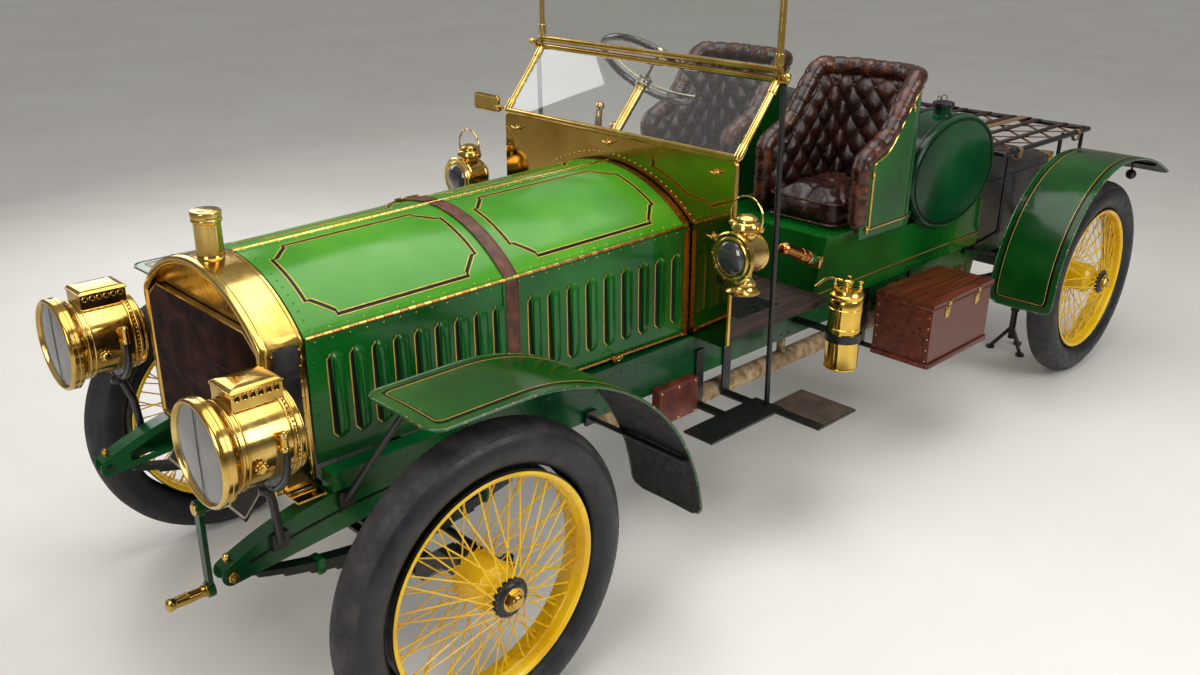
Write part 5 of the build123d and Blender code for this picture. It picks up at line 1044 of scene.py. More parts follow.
def shell_plan(out, count=14):
    """A horseshoe in plan round one seat, seen from above: up one side, round two rear corners and
    down the other, moved out from the shell's outer face by a little."""
    half, rear, corner = seat_outer + out, seat_rear + out, seat_corner + out
    a = np.linspace(0, pi / 2, count)
    left = points_of(half - corner + corner * np.cos(a), rear - corner + corner * np.sin(a))
    front = points_of(half, np.linspace(seat_front, rear - corner, 11)[:-1])
    one = np.concatenate([front, left])
    return np.concatenate([one, (one * (-1, 1))[::-1]])


def rim_height(y):
    """The height of a seat shell's rim over a y station: level at the arms, then a slope and a rise."""
    straight = np.interp(y, [seat_front, seat_front + 0.12, seat_rear - 0.11, seat_rear],
                         [seat_low, seat_low + 0.07, seat_high, seat_high])
    return straight - 0.024 * np.exp(-((y - seat_front - 0.155) / 0.055) ** 2) + 0.012 * np.exp(
        -((y - seat_rear + 0.15) / 0.045) ** 2)


def body_trim(side):
    """Beading: round each seat shell's front edges and rim, along the base and down its corners."""
    shapes = []
    plan = shell_plan(0.002)
    plan = plan[plan[:, 1] > seat_front + 0.036]
    over = points_of(side * seat_x + plan[:, 0], plan[:, 1], rim_height(plan[:, 1]) - 0.05)
    under = over * (1, 1, 0) + (0, 0, base_high + 0.01)
    rise = np.linspace(0, 1, 9)[1:-1, None]
    shapes.append(tube(np.concatenate([
        over, over[-1] + rise * (under[-1] - over[-1]), under[::-1],
        under[0] + rise * (over[0] - under[0])]), 0.0042, 8, True))
    foot = [(side * (base_half + 0.001), y, sill_high + 0.002)
            for y in np.linspace(floor_rear + 0.002, tail_rear, 20)]
    shapes.append(tube(foot, 0.004, 8))
    for y, z in ((seat_front + 0.04, base_high + 0.014), (seat_front + 0.052, seat_low - 0.055),
                 (seat_rear - 0.16, seat_high - 0.11)):
        shapes.append(turned(eased([(-0.001, 0), (-0.001, 0.006), (0.003, 0.006), (0.006, 0.008),
                                    (0.011, 0.006), (0.013, 0)], 0.002),
                             (side * (seat_x + seat_outer), y, z), (side, 0, 0), 14))
        for turn in (0.3, 1.87, 3.44, 5.01):
            tip = np.array((side * (seat_x + seat_outer + 0.006), y + 0.017 * cos(turn),
                            z + 0.017 * sin(turn)))
            shapes.append(tube([(side * (seat_x + seat_outer + 0.004), y, z), tip], 0.0026, 6))
    return shapes


make("body_beading", both(body_trim), brass)
base_rivets = [(side * (base_half + 0.0005), y, 0.672) for side in (1, -1)
               for y in np.linspace(floor_rear + 0.04, tail_rear - 0.04, 30)]
tail_rivets = [(side * (base_half + 0.0005), y, 0.835) for side in (1, -1)
               for y in np.linspace(seat_rear + 0.35, tail_rear - 0.03, 9)]
make("body_rivets", [copies(head(0.004, 0.0025), base_rivets + tail_rivets, (1, 0, 0))], green_body)

# Seats: two buckets trimmed in dark brown hide, quilted over horsehair with deep buttons. A
# fat rolled rim goes round each shell, and a loose cushion with a piped edge lies on the base.
seat_hide, tree, shader, place = bare("buttoned_hide")
hide_stops = [(0.28, paint(24, 14, 12)), (0.5, paint(44, 25, 20)), (0.72, paint(66, 38, 29))]
scuffs = spread(tree, cloud(tree, place, 0.02, 5), 0, 1, 0.6, 0.72)
hide_colour = blended(tree, scuffs, ramp(tree, cloud(tree, place, 0.09, 7), hide_stops),
                      paint(96, 62, 48))
feed(shader, {"Base Color": hide_colour, "Roughness": spread(tree, cloud(tree, place, 0.03), 0.2, 0.4)})
lift(tree, shader, cloud(tree, place, 0.0022, 3), 0.0005)
worn_hide = finish("worn_rim_hide", [(28, 16, 12), (54, 29, 20), (92, 50, 30)], 0.05, (0.18, 0.38),
                   grain=0.009, relief=0.0012, spots=((140, 80, 44), 0.66, 0.02))
button_leather = finish("button_leather", [(30, 17, 15), (52, 30, 24)], 0.02, (0.3, 0.45))
shell_thickness, hide_gap, hide_depth = 0.01, 0.0003, 0.062
quilt_pitch, quilt_rise, quilt_depth = 0.098, 0.112, 0.026
roll_radius = 0.035
inner_plan_out = -(shell_thickness + hide_gap)


def quilt(along, up):
    """Depth of the buttoned quilt, 0 at a button and its creases and 1 at a pillow's crown: the
    diamond's pillow is (|sin a| * |sin b|) ^ 0.42 of the two slanting coordinates a and b."""
    a = pi * (along / quilt_pitch + up / quilt_rise)
    b = pi * (along / quilt_pitch - up / quilt_rise)
    return (np.abs(np.sin(a)) * np.abs(np.sin(b))) ** 0.42


def evenly(line, count=None, step=0.012):
    """A flat line at even steps, with the length run at each point and the way to its right."""
    line = np.asarray(line, float)
    run = np.concatenate([[0], np.cumsum(np.hypot(*np.diff(line, axis=0).T))])
    s = np.linspace(0, run[-1], count or int(run[-1] / step))
    even = points_of(np.interp(s, run, line[:, 0]), np.interp(s, run, line[:, 1]))
    return even, s, unit(np.gradient(even, axis=0)) @ np.array([[0, 1], [-1, 0]])


def even_plan(count):
    """The inner horseshoe of a seat at even steps of its length, with the direction inwards."""
    plan, s, right = evenly(shell_plan(inner_plan_out, 40), count)
    inward = right * np.sign(np.sum(right * (plan.mean(0) - plan), axis=1))[:, None]
    return plan, s - s[-1] / 2, inward


def moved(shapes, way):
    """Shapes carried over by a way."""
    return [(points + way, faces) for points, faces in shapes]


def hide_wall():
    """The quilted lining of one bucket: a closed pad whose outer face follows the shell's plan, whose
    face stands in by depth * (0.55 + 0.45 * quilt), with its foot and rim rounded."""
    plan, s, inward = even_plan(260)
    low, high = base_high + 0.002, rim_height(plan[:, 1]) - 0.03
    share = np.linspace(0, 1, 90)[:, None]
    z = low + share * (high - low)
    crown = quilt(s, z - low)
    ends = 1 - (np.abs(s) / s.max()) ** 24
    swell = (1 - np.abs(2 * share - 1) ** 10) * ends
    depth = (hide_depth - quilt_depth) * (0.35 + 0.65 * swell) + quilt_depth * crown * swell
    face = points_of(plan[:, 0] + inward[:, 0] * depth, plan[:, 1] + inward[:, 1] * depth, z)
    back = points_of(plan[:, 0], plan[:, 1], z)
    rings = np.concatenate([face, back[[-1, 60, 30, 0]]])
    ends_in = [np.repeat(rings[:, i:i + 1].mean(0, keepdims=True), len(rings), 0) for i in (0, -1)]
    return sheet_of(np.concatenate([ends_in[0], rings, ends_in[1]], 1), ring_rows=True)


def rim_roll():
    """The padded roll over the shell's edge: up one front edge, round the horseshoe's rim and down the
    other, a circle pinched by a row of pleats, radius * (1 - 0.08 * cos^8), and creased by a noise."""
    plan, s, inward = even_plan(320)
    rim = points_of(*(plan + inward * 0.011).T, rim_height(plan[:, 1]) - 0.014)
    ups = np.column_stack([inward, np.zeros(len(s))])
    drop = np.linspace(0, 1, 46)[1:, None]
    first, last = rim[0] + (0, 0.01, 0), rim[-1] + (0, 0.01, 0)
    down = [end + drop * (0, 0, base_high + 0.01 - end[2]) for end in (first, last)]
    path = np.concatenate([down[0][::-1], rim, down[1]])
    for column in (1, 2):
        path[:, column] = np.convolve(np.pad(path[:, column], 6, "edge"), np.ones(13) / 13, "valid")
    up = np.concatenate([np.repeat(ups[:1], 45, 0), ups, np.repeat(ups[-1:], 45, 0)])
    along = np.concatenate([[0], np.cumsum(np.linalg.norm(np.diff(path, axis=0), axis=1))])
    pinch = 1 - 0.08 * np.abs(np.cos(pi * along / 0.058)) ** 8 - 0.03 * np.sin(along * 71) * np.sin(
        along * 29)
    ends = np.minimum(1,
                      0.3 + 0.7 * np.sqrt(np.clip(np.minimum(along, along[-1] - along) / 0.03, 0, 1)))
    return carried(circle(roll_radius, 20), path, up, sizes=pinch * ends)


def hide_buttons():
    """A covered button at each crossing of the quilt's creases."""
    plan, s, inward = even_plan(260)
    places, ways = [], []
    for i, j in ((i, j) for i in range(-6, 7) for j in range(1, 10) if (i + j) % 2 == 0):
        along, z = i * quilt_pitch / 2, base_high + 0.002 + j * quilt_rise / 2
        at = np.argmin(np.abs(s - along))
        if base_high + 0.03 < z < rim_height(plan[at, 1]) - 0.075 and abs(along) < s.max() - 0.04:
            places.append((*(plan[at] + inward[at] * (hide_depth - quilt_depth)), z))
            ways.append((*inward[at], 0.0))
    button = turned(eased([(-0.004, 0), (-0.004, 0.01), (0.003, 0.01), (0.006, 0)], 0.003, 2),
                    (0, 0, 0), (0, 0, 1), 12)
    return copies(button, places, ways)


cushion_half, cushion_front, cushion_rear = 0.157, front_axle + 1.822, front_axle + 2.21
cushion_low, cushion_high = 0.93, 1.075


def cushion_form():
    """A loose cushion before it is stuffed: a plan with two round rear corners, carried up with its
    edges rounded, then welded shut top and bottom."""
    half, front, rear = cushion_half - 0.013, cushion_front + 0.012, cushion_rear - 0.014
    outline = eased([(-half, front), (half, front), (half, rear), (-half, rear)], 0.045, 8, True)
    middle = outline.mean(0)
    rows = []
    foot, crown = cushion_low + 0.004, cushion_high - 0.03
    for z, share in ((foot, 0.0), (foot, 0.93), (foot + 0.012, 1.0), (crown - 0.015, 1.0),
                     (crown, 0.93), (crown, 0.0)):
        rows.append(raised(middle + share * (outline - middle), z))
    return sheet_of(rows, False, True)


def stuffed(piece, pressure=4.0, cap=0.022, voxel=0.006):
    """Blows a pad up as cloth without weight, holds every point within a cap of where it began,
    and keeps the swollen shape."""
    remesh = piece.modifiers.new("remesh", "REMESH")
    remesh.mode, remesh.voxel_size = "VOXEL", voxel
    with bpy.context.temp_override(object=piece, active_object=piece, selected_objects=[piece]):
        bpy.ops.object.modifier_apply(modifier=remesh.name)
    mesh = piece.data
    rest = np.empty(len(mesh.vertices) * 3)
    mesh.vertices.foreach_get("co", rest)
    swollen = rest
    cloth = piece.modifiers.new("cloth", "CLOTH")
    cloth.settings.use_pressure = True
    cloth.settings.uniform_pressure_force = pressure
    cloth.settings.effector_weights.gravity = 0
    cloth.settings.quality = 5
    for number in range(1, 21):
        scene.frame_set(number)
    with bpy.context.temp_override(object=piece, active_object=piece, selected_objects=[piece]):
        bpy.ops.object.modifier_apply(modifier=cloth.name)
    scene.frame_set(1)
    swollen = np.empty(len(mesh.vertices) * 3)
    mesh.vertices.foreach_get("co", swollen)
    move = (swollen - rest).reshape(-1, 3)
    length = np.linalg.norm(move, axis=1, keepdims=True)
    swollen = rest.reshape(-1, 3) + move * np.minimum(1, cap / np.maximum(length, 1e-9))
    return np.asarray(swollen).reshape(-1, 3)


for side, place in hands:
    seat = (side * seat_x, 0, 0)
    lining = make(f"seat_hide_{place}", moved([hide_wall(), rim_roll()], seat), [seat_hide, worn_hide],
                  stands_for=["seat_leathers"] if side > 0 else (), crease=75)
    make(f"seat_buttons_{place}", moved([hide_buttons()], seat), button_leather)
    cushion = make(f"seat_cushion_{place}", moved([cushion_form()], seat), seat_hide,
                   stands_for=["seat_cushions"] if side > 0 else (), crease=75)
    points = stuffed(cushion)
    up = (points[:, 2] - cushion_low) / (cushion_high - cushion_low)
    dx, dy = (points[:, 0] - side * seat_x) / 0.105, (
        points[:, 1] - (cushion_front + cushion_rear) / 2) / 0.115
    tuft = np.exp(-((dx - np.round(dx)) ** 2 + (dy - np.round(dy)) ** 2) * 26)
    inside = (np.abs(points[:, 0] - side * seat_x) < 0.13) & (np.abs(dy) < 1.4)
    points[:, 2] = np.clip(points[:, 2] - np.where(inside & (up > 0.55), 0.013 * tuft, 0),
                           cushion_low + 0.0005, cushion_high - 0.001)
    cushion.data.vertices.foreach_set("co", points.ravel())
    cushion.data.update()
    cushion.data.shade_smooth()
    smooth = cushion.modifiers.new("smooth", "SUBSURF")
    smooth.levels = smooth.render_levels = 1
    half, front, rear = cushion_half - 0.004, cushion_front + 0.003, cushion_rear - 0.004
    edge = eased([(-half, front), (half, front), (half, rear), (-half, rear)], 0.05, 10, True)
    piping = [tube(raised(edge, z), 0.0042, 8, True)
              for z in (cushion_low + 0.018, cushion_high - 0.05)]
    make(f"cushion_piping_{place}", moved(piping, seat), worn_hide)

# Fuel tank: a seamless green drum with dished ends on the tail's saddle, held by two steel
# bands. A short filler with a knurled cap stands at the left, with wire loops for a chain.
tank_y, tank_z, tank_half = front_axle + 2.634, 1.028, 0.476
tank_across, tank_tall = 0.328, 0.225
tank_green = finish("green_tank", [(6, 44, 24), (10, 58, 32), (18, 74, 40)], 0.4, (0.1, 0.2), coat=0.05,
                    gloss=0.3)


def tank_shell():
    """The drum: ellipses of a share of its size set out across the car, the ends all but flat
    inside a rolled seam."""
    seam = [(tank_half, 0.0), (tank_half - 0.0006, 0.5), (tank_half - 0.0026, 0.9),
            (tank_half - 0.004, 0.94), (tank_half - 0.002, 0.95), (tank_half - 0.0012, 0.962),
            (tank_half - 0.003, 0.978), (tank_half - 0.008, 0.993), (tank_half - 0.016, 1.0),
            (tank_half - 0.03, 1.0)]
    return sheet_of([tank_ring(x, share) for x,
                     share in seam + [(-x, share) for x, share in seam[::-1]]], ring_columns=True)


def tank_ring(x, share=1.0, out=0.0, count=96):
    """An ellipse at one x, of a share of the drum's size, moved out a little."""
    return ring_about(0, (x, tank_y, tank_z), (tank_across * share + out, tank_tall * share + out),
                      count)


def tank_band(x, half, out):
    """A flat hoop round the drum with eased edges."""
    rows = [(-half, 0.0004), (-half, out * 0.6), (-half + 0.0015, out), (half - 0.0015, out),
            (half, out * 0.6), (half, 0.0004)]
    return sheet_of([tank_ring(x + dx, out=lift_off) for dx, lift_off in rows], ring_columns=True)


def end_disc(side, share, width):
    """A painted ring on the drum's end, inside its seam: an ellipse of a share of its size."""
    return line_along(tank_ring(side * (tank_half - 0.0022), share, count=90), (side, 0, 0), width,
                      ring=True)


band_table = [(-0.3, 0.017), (0.3, 0.017), (-tank_half + 0.034, 0.006), (tank_half - 0.034, 0.006)]
make("tank_bands", [tank_band(x, half, 0.0032) for x, half in band_table], iron)
make("tank_end_rings", [end_disc(side, 0.922, 0.006) for side in (1, -1)], black_line)
filler_x, filler_low = 0.385, 1.228
loop_radius, loop_z = 0.011, 1.3095
filler_neck = turned([(0.0, 0.037), (0.004, 0.035), (0.053, 0.0345)], (filler_x, tank_y, filler_low),
                     (0, 0, 1), 40)
make("tank_drum", [tank_shell(), filler_neck], tank_green, stands_for=["fuel_tank"])
tank_filler = turned(eased([(0.0, 0.034), (0.0, 0.0405), (0.006, 0.0405), (0.01, 0.0358),
                            (0.02, 0.0352)], 0.0015), (filler_x, tank_y, filler_low + 0.007), (0, 0, 1),
                     40)
a = round_steps(120)
knurl = 0.0425 + 0.0008 * np.sign(np.sin(20 * a)) * np.abs(np.sin(20 * a)) ** 0.3
# rows: height, share of the cap's size
cap_table = [(1.2805, 0.8), (1.2805, 1.0), (1.2935, 1.0), (1.2965, 0.965), (1.2972, 0.88),
             (1.299, 0.82), (1.2995, 0.3), (1.2995, 0.0)]
cap_rows = [points_of(filler_x + knurl * share * np.cos(a), tank_y + knurl * share * np.sin(a), z)
            for z, share in cap_table]
across, rise = circle(loop_radius, 22).T
loops = []
for turn in (0.5, 2.6):
    foot_x, foot_y = filler_x + 2 * loop_radius * cos(turn + 1.57), tank_y + 2 * loop_radius * sin(
        turn + 1.57)
    loops.append(tube(points_of(foot_x + across * cos(turn), foot_y + across * sin(turn),
                                loop_z + rise), 0.0016, 6, True))
make("tank_filler_trim", [tank_filler, sheet_of(cap_rows, False, True)] + loops, iron)

# Luggage rack and trunk: black iron bars on three pairs of posts, flat slats of dark oak between
# them over crossed leather webs, two woven straps, and a flat black trunk with brass corners.
rack_half, rack_z, rack_front, rack_rear = 0.5, 1.05, front_axle + 2.995, front_axle + 3.83
wear("luggage_rack", iron)
wear("iron_stays", iron)
webbing, tree, shader, place = bare("woven_webbing")
weave = node_of(tree, "TexWave", {"Scale": 130.0, "Distortion": 0.8, "Vector": place},
                bands_direction="DIAGONAL").outputs["Fac"]
feed(shader,
     {"Base Color": blended(tree, weave, paint(86, 62, 42), paint(142, 112, 80)), "Roughness": 0.85})
lift(tree, shader, weave, 0.0005)
wear("rear_trunk", iron)


def strap_over(x, width):
    """A woven strap laid lengthways over the rack: it wraps the front bar, runs along, and wraps
    the rear bar, each wrap a half circle round the bar."""
    r = 0.0145
    turn = np.linspace(-pi / 2, pi / 2, 9)
    front_wrap = points_of(x, rack_front - r * np.cos(turn), rack_z + r * np.sin(turn))
    run = points_of(x, np.linspace(rack_front + 0.02, rack_rear - 0.02, 30), rack_z + r + 0.0035)
    rear_wrap = points_of(x, rack_rear + r * np.cos(turn[::-1]), rack_z + r * np.sin(turn[::-1]))
    path = np.concatenate([front_wrap, run, rear_wrap])
    return line_along(path, (0, -0.02, 1.0), width, height=0.0016)


def strap_loop(y, side):
    """A short strap round the side bar and down to a buckle, as a closed flat loop."""
    r = 0.0142
    t = round_steps(20)
    bar = np.array([side * rack_half, 0, rack_z])
    path = bar + points_of(r * np.cos(t), y, r * np.sin(t) - 0.02 * (np.sin(t) < -0.4))
    rows = [path + (0, dy, 0) for dy in (-0.014, 0.014)]
    thick = [bar + (row - bar) * (1.16, 1, 1.12) for row in rows]
    return sheet_of([rows[0], thick[0], thick[1], rows[1]], ring_rows=True, ring_columns=True)


make("rack_straps", [strap_over(x, 0.042) for x in (-0.195, 0.195)]
     + [strap_loop(y, side) for side in (1, -1) for y in (front_axle + 3.12, front_axle + 3.7)],
     webbing)


def web_line(start, way):
    """A thin web across the rack below the slats, at 45 degrees, cut off where it meets the bars."""
    x = np.linspace(-rack_half, rack_half, 41)
    y = start + way * x
    kept = (y > rack_front) & (y < rack_rear)
    return points_of(x[kept], y[kept], rack_z + 0.0012 + 0.0014 * way)


webs = [web_line(start, way) for way in (1, -1)
        for start in np.arange(rack_front - 0.36, rack_rear + 0.4, 0.19)]
make("rack_lattice", [line_along(web, (0, 0, 1), 0.016, height=0.0012) for web in webs if len(web) > 3],
     strap_leather)
slat_x = [(i - 3) * 0.13 for i in range(7)]
slats = [block((x - 0.0125, rack_front + 0.004, rack_z + 0.0055),
               (x + 0.0125, rack_rear - 0.004, rack_z + 0.0148), 0.003) for x in slat_x]
make("rack_slats", slats, oak)
slat_screws = [(x, y, rack_z + 0.0148) for x in slat_x
               for y in (rack_front + 0.016, (rack_front + rack_rear) / 2, rack_rear - 0.016)]
rack_nuts = [(side * rack_half, y, rack_z + 0.0115) for side in (1, -1)
             for y in (rack_front + 0.06, front_axle + 3.55, rack_rear - 0.05)]
make("rack_fixings", [copies(head(0.0045, 0.0022, 8), slat_screws, (0, 0, 1)),
                      copies(nut(0.008, 0.006), rack_nuts, (0, 0, 1))], iron)
trunk_half, trunk_front, trunk_rear, trunk_high = 0.4, front_axle + 3.01, front_axle + 3.72, 0.94


def corner_plates(side):
    """Brass angles with two rivets each on the trunk's upper corners of one side."""
    shapes = []
    for y, way in ((trunk_front, -1), (trunk_rear, 1)):
        shapes.append(block((side * (trunk_half - 0.05), y - way * 0.05, trunk_high - 0.05),
                            (side * (trunk_half + 0.0022), y + way * 0.0022, trunk_high + 0.0022),
                            0.0018))
    shapes.append(copies(head(0.004, 0.002), [
        (side * (trunk_half + 0.0022), y + dy, trunk_high + dz) for y,
        s in ((trunk_front, 1), (trunk_rear, -1)) for dy,
        dz in ((s * 0.012, -0.038), (s * 0.04, -0.012))], (side, 0, 0)))
    return shapes


lid_line = [(-trunk_half, trunk_front), (trunk_half, trunk_front), (trunk_half, trunk_rear),
            (-trunk_half, trunk_rear)]
bead_path = np.array([(x * 1.0015, y, trunk_high - 0.045) for x, y in eased(lid_line, 0.004, 2, True)])
make("trunk_bead", [tube(bead_path, 0.0035, 8, True)], iron)
lock_plate = turned(eased([(0, 0), (0, 0.02), (0.0025, 0.02), (0.0035, 0.007), (0.008, 0.006),
                           (0.009, 0)], 0.001), (0, trunk_rear, trunk_high - 0.075), (0, 1, 0), 24)
make("trunk_corners", both(corner_plates) + [lock_plate], brass)

# Side panels and exhaust side: a red-brown casing along the left rail, a brass air pump for the
# fuel pressure on the seat base, and a small round black lamp at the tail.
wear("side_casing", finish("casing_paint", [(66, 26, 18), (96, 40, 27), (120, 56, 38)], 0.09,
                           (0.35, 0.6), grain=0.004, relief=0.0004, spots=((50, 40, 34), 0.66, 0.01)))
wear("tail_lamp", iron)
casing_y = (front_axle + 0.954, front_axle + 1.142)
casing_screws = [(0.4242, y, z) for y in (casing_y[0] + 0.012, sum(casing_y) / 2, casing_y[1] - 0.012)
                 for z in (0.441, 0.55)]
make("casing_screws", [copies(head(0.005, 0.0028, 8), casing_screws, (1, 0, 0))], brass)
pump_start, pump_end = np.array((0.45, front_axle + 1.52, 0.937)), np.array(
    (0.45, front_axle + 1.735, 0.844))
pump_way, pump_length = unit(pump_end - pump_start), np.linalg.norm(pump_end - pump_start)
pump_copper = finish("pump_copper", [(150, 84, 44), (186, 118, 66), (206, 148, 92)], 0.06, (0.12, 0.28),
                     metal=1.0)
barrel = [(0, 0), (0, 0.01), (0.004, 0.0175), (0.01, 0.0205), (0.014, 0.0235), (0.022, 0.0235),
          (0.024, 0.0215), (0.12, 0.0215), (0.122, 0.024), (0.13, 0.024), (0.132, 0.0215),
          (pump_length - 0.062, 0.0215)]
cap = [(pump_length - 0.063, 0.0), (pump_length - 0.063, 0.0232), (pump_length - 0.04, 0.0236),
       (pump_length - 0.024, 0.0215), (pump_length - 0.012, 0.0155), (pump_length - 0.005, 0.0085),
       (pump_length - 0.004, 0.0)]
ring_nut = [(pump_length - 0.07, 0.021), (pump_length - 0.07, 0.025), (pump_length - 0.062, 0.025),
            (pump_length - 0.06, 0.0225)]
make("air_pump_barrel", [turned(eased(barrel, 0.0015), pump_start, pump_way, 40),
                         turned(cap, pump_start, pump_way, 40),
                         turned(ring_nut, pump_start, pump_way, 40)], [pump_copper, green_body, brass],
     stands_for=["air_pump"])
saddle = [block((0.424, front_axle + 1.716, 0.822), (0.476, front_axle + 1.7415, 0.866), 0.003)]
make("air_pump_block", saddle, brass)

# Wings: four sheets of steel bent over the wheels, each edge rolled over a wire. They are green
# with a black line that holds a gold one, black beneath, and bolted to flat iron stays.
wing_sheet, wing_crown = 0.004, 0.004
front_inner, front_outer, front_wing_radius = 0.522, 0.802, 0.672
front_wing_high, front_wing_low = 0.956, 0.356
front_wing_tip, front_wing_turn = front_axle - 0.195, front_axle + 0.068
rear_inner, rear_outer, rear_wing_radius = 0.552, 0.832, 0.556
rear_wing_foot, tail_tip_y, tail_tip_z, rear_tyre = 0.425, front_axle + 4.04, 0.862, 0.446
wing_corner, wing_line_inset = 0.04, 0.028
green_wing = finish("green_wing", [(22, 60, 18), (34, 76, 24), (50, 92, 30)], 0.35, (0.12, 0.24),
                    coat=0.05, gloss=0.3, spots=((40, 56, 26), 0.78, 0.014))
dark_wing = finish("green_rear_wing", [(8, 44, 16), (14, 60, 22), (26, 76, 28)], 0.35, (0.12, 0.24),
                   coat=0.05, gloss=0.3)
worn_edge = finish("worn_wing_edge", [(14, 66, 28), (26, 84, 36)], 0.06, (0.14, 0.3), coat=0.3,
                   spots=((150, 104, 70), 0.6, 0.012))
underside = finish("black_underside", [(10, 11, 11), (20, 20, 20)], 0.12, (0.45, 0.7), grain=0.003,
                   relief=0.0003)


def front_wing_path():
    """The front wing from its tip: level, then round an arc down behind the wheel."""
    a = np.linspace(pi / 2,
                    asin((front_wing_low - front_wing_high + front_wing_radius) / front_wing_radius),
                    60)
    arc = points_of(front_wing_turn + front_wing_radius * np.cos(a),
                    front_wing_high - front_wing_radius + front_wing_radius * np.sin(a))
    return np.concatenate([[(front_wing_tip, front_wing_high)], arc])


def rear_wing_path():
    """The rear wing from its foot: up, over the wheel on one arc and down the tail on a long one,
    whose radius is (run^2 + drop^2) / (2 * drop)."""
    run, drop = tail_tip_y - rear_axle, rear_tyre + rear_wing_radius - tail_tip_z
    tail_radius = (run ** 2 + drop ** 2) / (2 * drop)
    a = np.linspace(-pi / 2, 0, 50)
    b = np.linspace(0, asin(run / tail_radius), 30)[1:]
    over = points_of(rear_axle + rear_wing_radius * np.sin(a), rear_tyre + rear_wing_radius * np.cos(a))
    tail = points_of(rear_axle + tail_radius * np.sin(b),
                     rear_tyre + rear_wing_radius - tail_radius + tail_radius * np.cos(b))
    return np.concatenate([[(rear_axle - rear_wing_radius, rear_wing_foot)], over, tail])


def half_width(s, full, half, inset=0.0, corner=wing_corner):
    """Half the sheet's width along its length, drawn in at both ends by round corners."""
    reach = np.minimum(s - inset, full - inset - s)
    cut = np.clip(corner - inset * 0.4 - reach, 0, corner)
    return half - inset - corner + np.sqrt(np.maximum(corner ** 2 - cut ** 2, 0))


def wing_grid(side, middle, half, path, out, rise):
    """Points across one wing at every station: the sheet is crowned by 4 mm * (1 - u^2)."""
    u = np.linspace(-1, 1, 15)[None, :]
    height = rise + wing_crown * (1 - u ** 2)
    return points_of(side * (middle + u * half[:, None]), path[:, :1] + out[:, :1] * height,
                     path[:, 1:] + out[:, 1:] * height)


def wing_shapes(side, inner, outer, flat):
    """The top and the under sheet, the wired edge, and the painted lines of one wing."""
    path, s, out = evenly(flat)
    out = out * np.sign(np.sum(out * (path - path.mean(0)), axis=1).sum())
    middle, full = (inner + outer) / 2, (outer - inner) / 2
    half = half_width(s, s[-1], full)
    above, below = [sheet_of(wing_grid(side, middle, half, path, out, rise))
                    for rise in (0.0, -wing_sheet)]

    def ring(inset, rise):
        """A closed line on the sheet at an inset from its edge, with the way out of the sheet."""
        keep = (s >= inset) & (s <= s[-1] - inset)
        reach = half_width(s, s[-1], full, inset)[keep]
        crown = rise + wing_crown * (1 - np.clip(reach / full, 0, 1) ** 2)
        base = path[keep] + out[keep] * crown[:, None]
        one, two = [np.column_stack([side * (middle + way * reach), base]) for way in (1, -1)]
        share = np.linspace(0, 1, 14)[1:-1, None]
        far = one[-1] + share * (two[-1] - one[-1])
        near = two[0] + share * (one[0] - two[0])
        for row, at in ((far, -1), (near, 0)):
            u = (row[:, 0] * side - middle) / full
            row[:, 1:] += out[keep][at] * (wing_crown * (1 - u ** 2) - (crown[at] - rise))[:, None]
        ways = np.column_stack([np.zeros(keep.sum()), out[keep]])
        line = np.concatenate([one, far, two[::-1], near])
        return line, np.concatenate([ways, np.repeat(ways[-1:], 12, 0), ways[::-1],
                                     np.repeat(ways[:1], 12, 0)])

    edge, edge_up = ring(0.0, -wing_sheet / 2)
    wire = carried(circle(0.0042, 10), edge, edge_up, ring=True)
    black = line_along(*ring(wing_line_inset, 0.0004), 0.01, ring=True, height=0.0003)
    gold = line_along(*ring(wing_line_inset + 0.0064, 0.0006), 0.0018, ring=True, height=0.0003)
    return above, below, wire, black, gold


wing_tables = [("front", front_inner, front_outer, front_wing_path()),
               ("rear", rear_inner, rear_outer, rear_wing_path())]
for place, inner, outer, flat in wing_tables:
    for side, hand in hands:
        above, below, wire, black, gold = wing_shapes(side, inner, outer, flat)
        make(f"wing_{place}_{hand}", [above, below, wire],
             [green_wing if place == "front" else dark_wing, underside, worn_edge],
             stands_for=["wings"] if (place, side) == ("front", 1) else (), crease=60)
        make(f"wing_lines_{place}_{hand}", [black, gold], [black_line, gold_line])


def wing_bolts(side):
    """Round bolt heads on top over each stay."""
    places, ways = [], []
    for x in (0.64, 0.69):
        places.append((side * x, front_axle - 0.15, front_wing_high + 0.003))
        ways.append((0, 0, 1))
    for angle in (-0.62, -0.02):
        for x in (0.6, 0.78):
            places.append((side * x, rear_axle + (rear_wing_radius + 0.002) * sin(angle),
                           rear_tyre + (rear_wing_radius + 0.002) * cos(angle)))
            ways.append((0, sin(angle), cos(angle)))
    return [copies(head(0.0075, 0.004, 10), places, ways)]


make("wing_bolts", both(wing_bolts), green_wing)

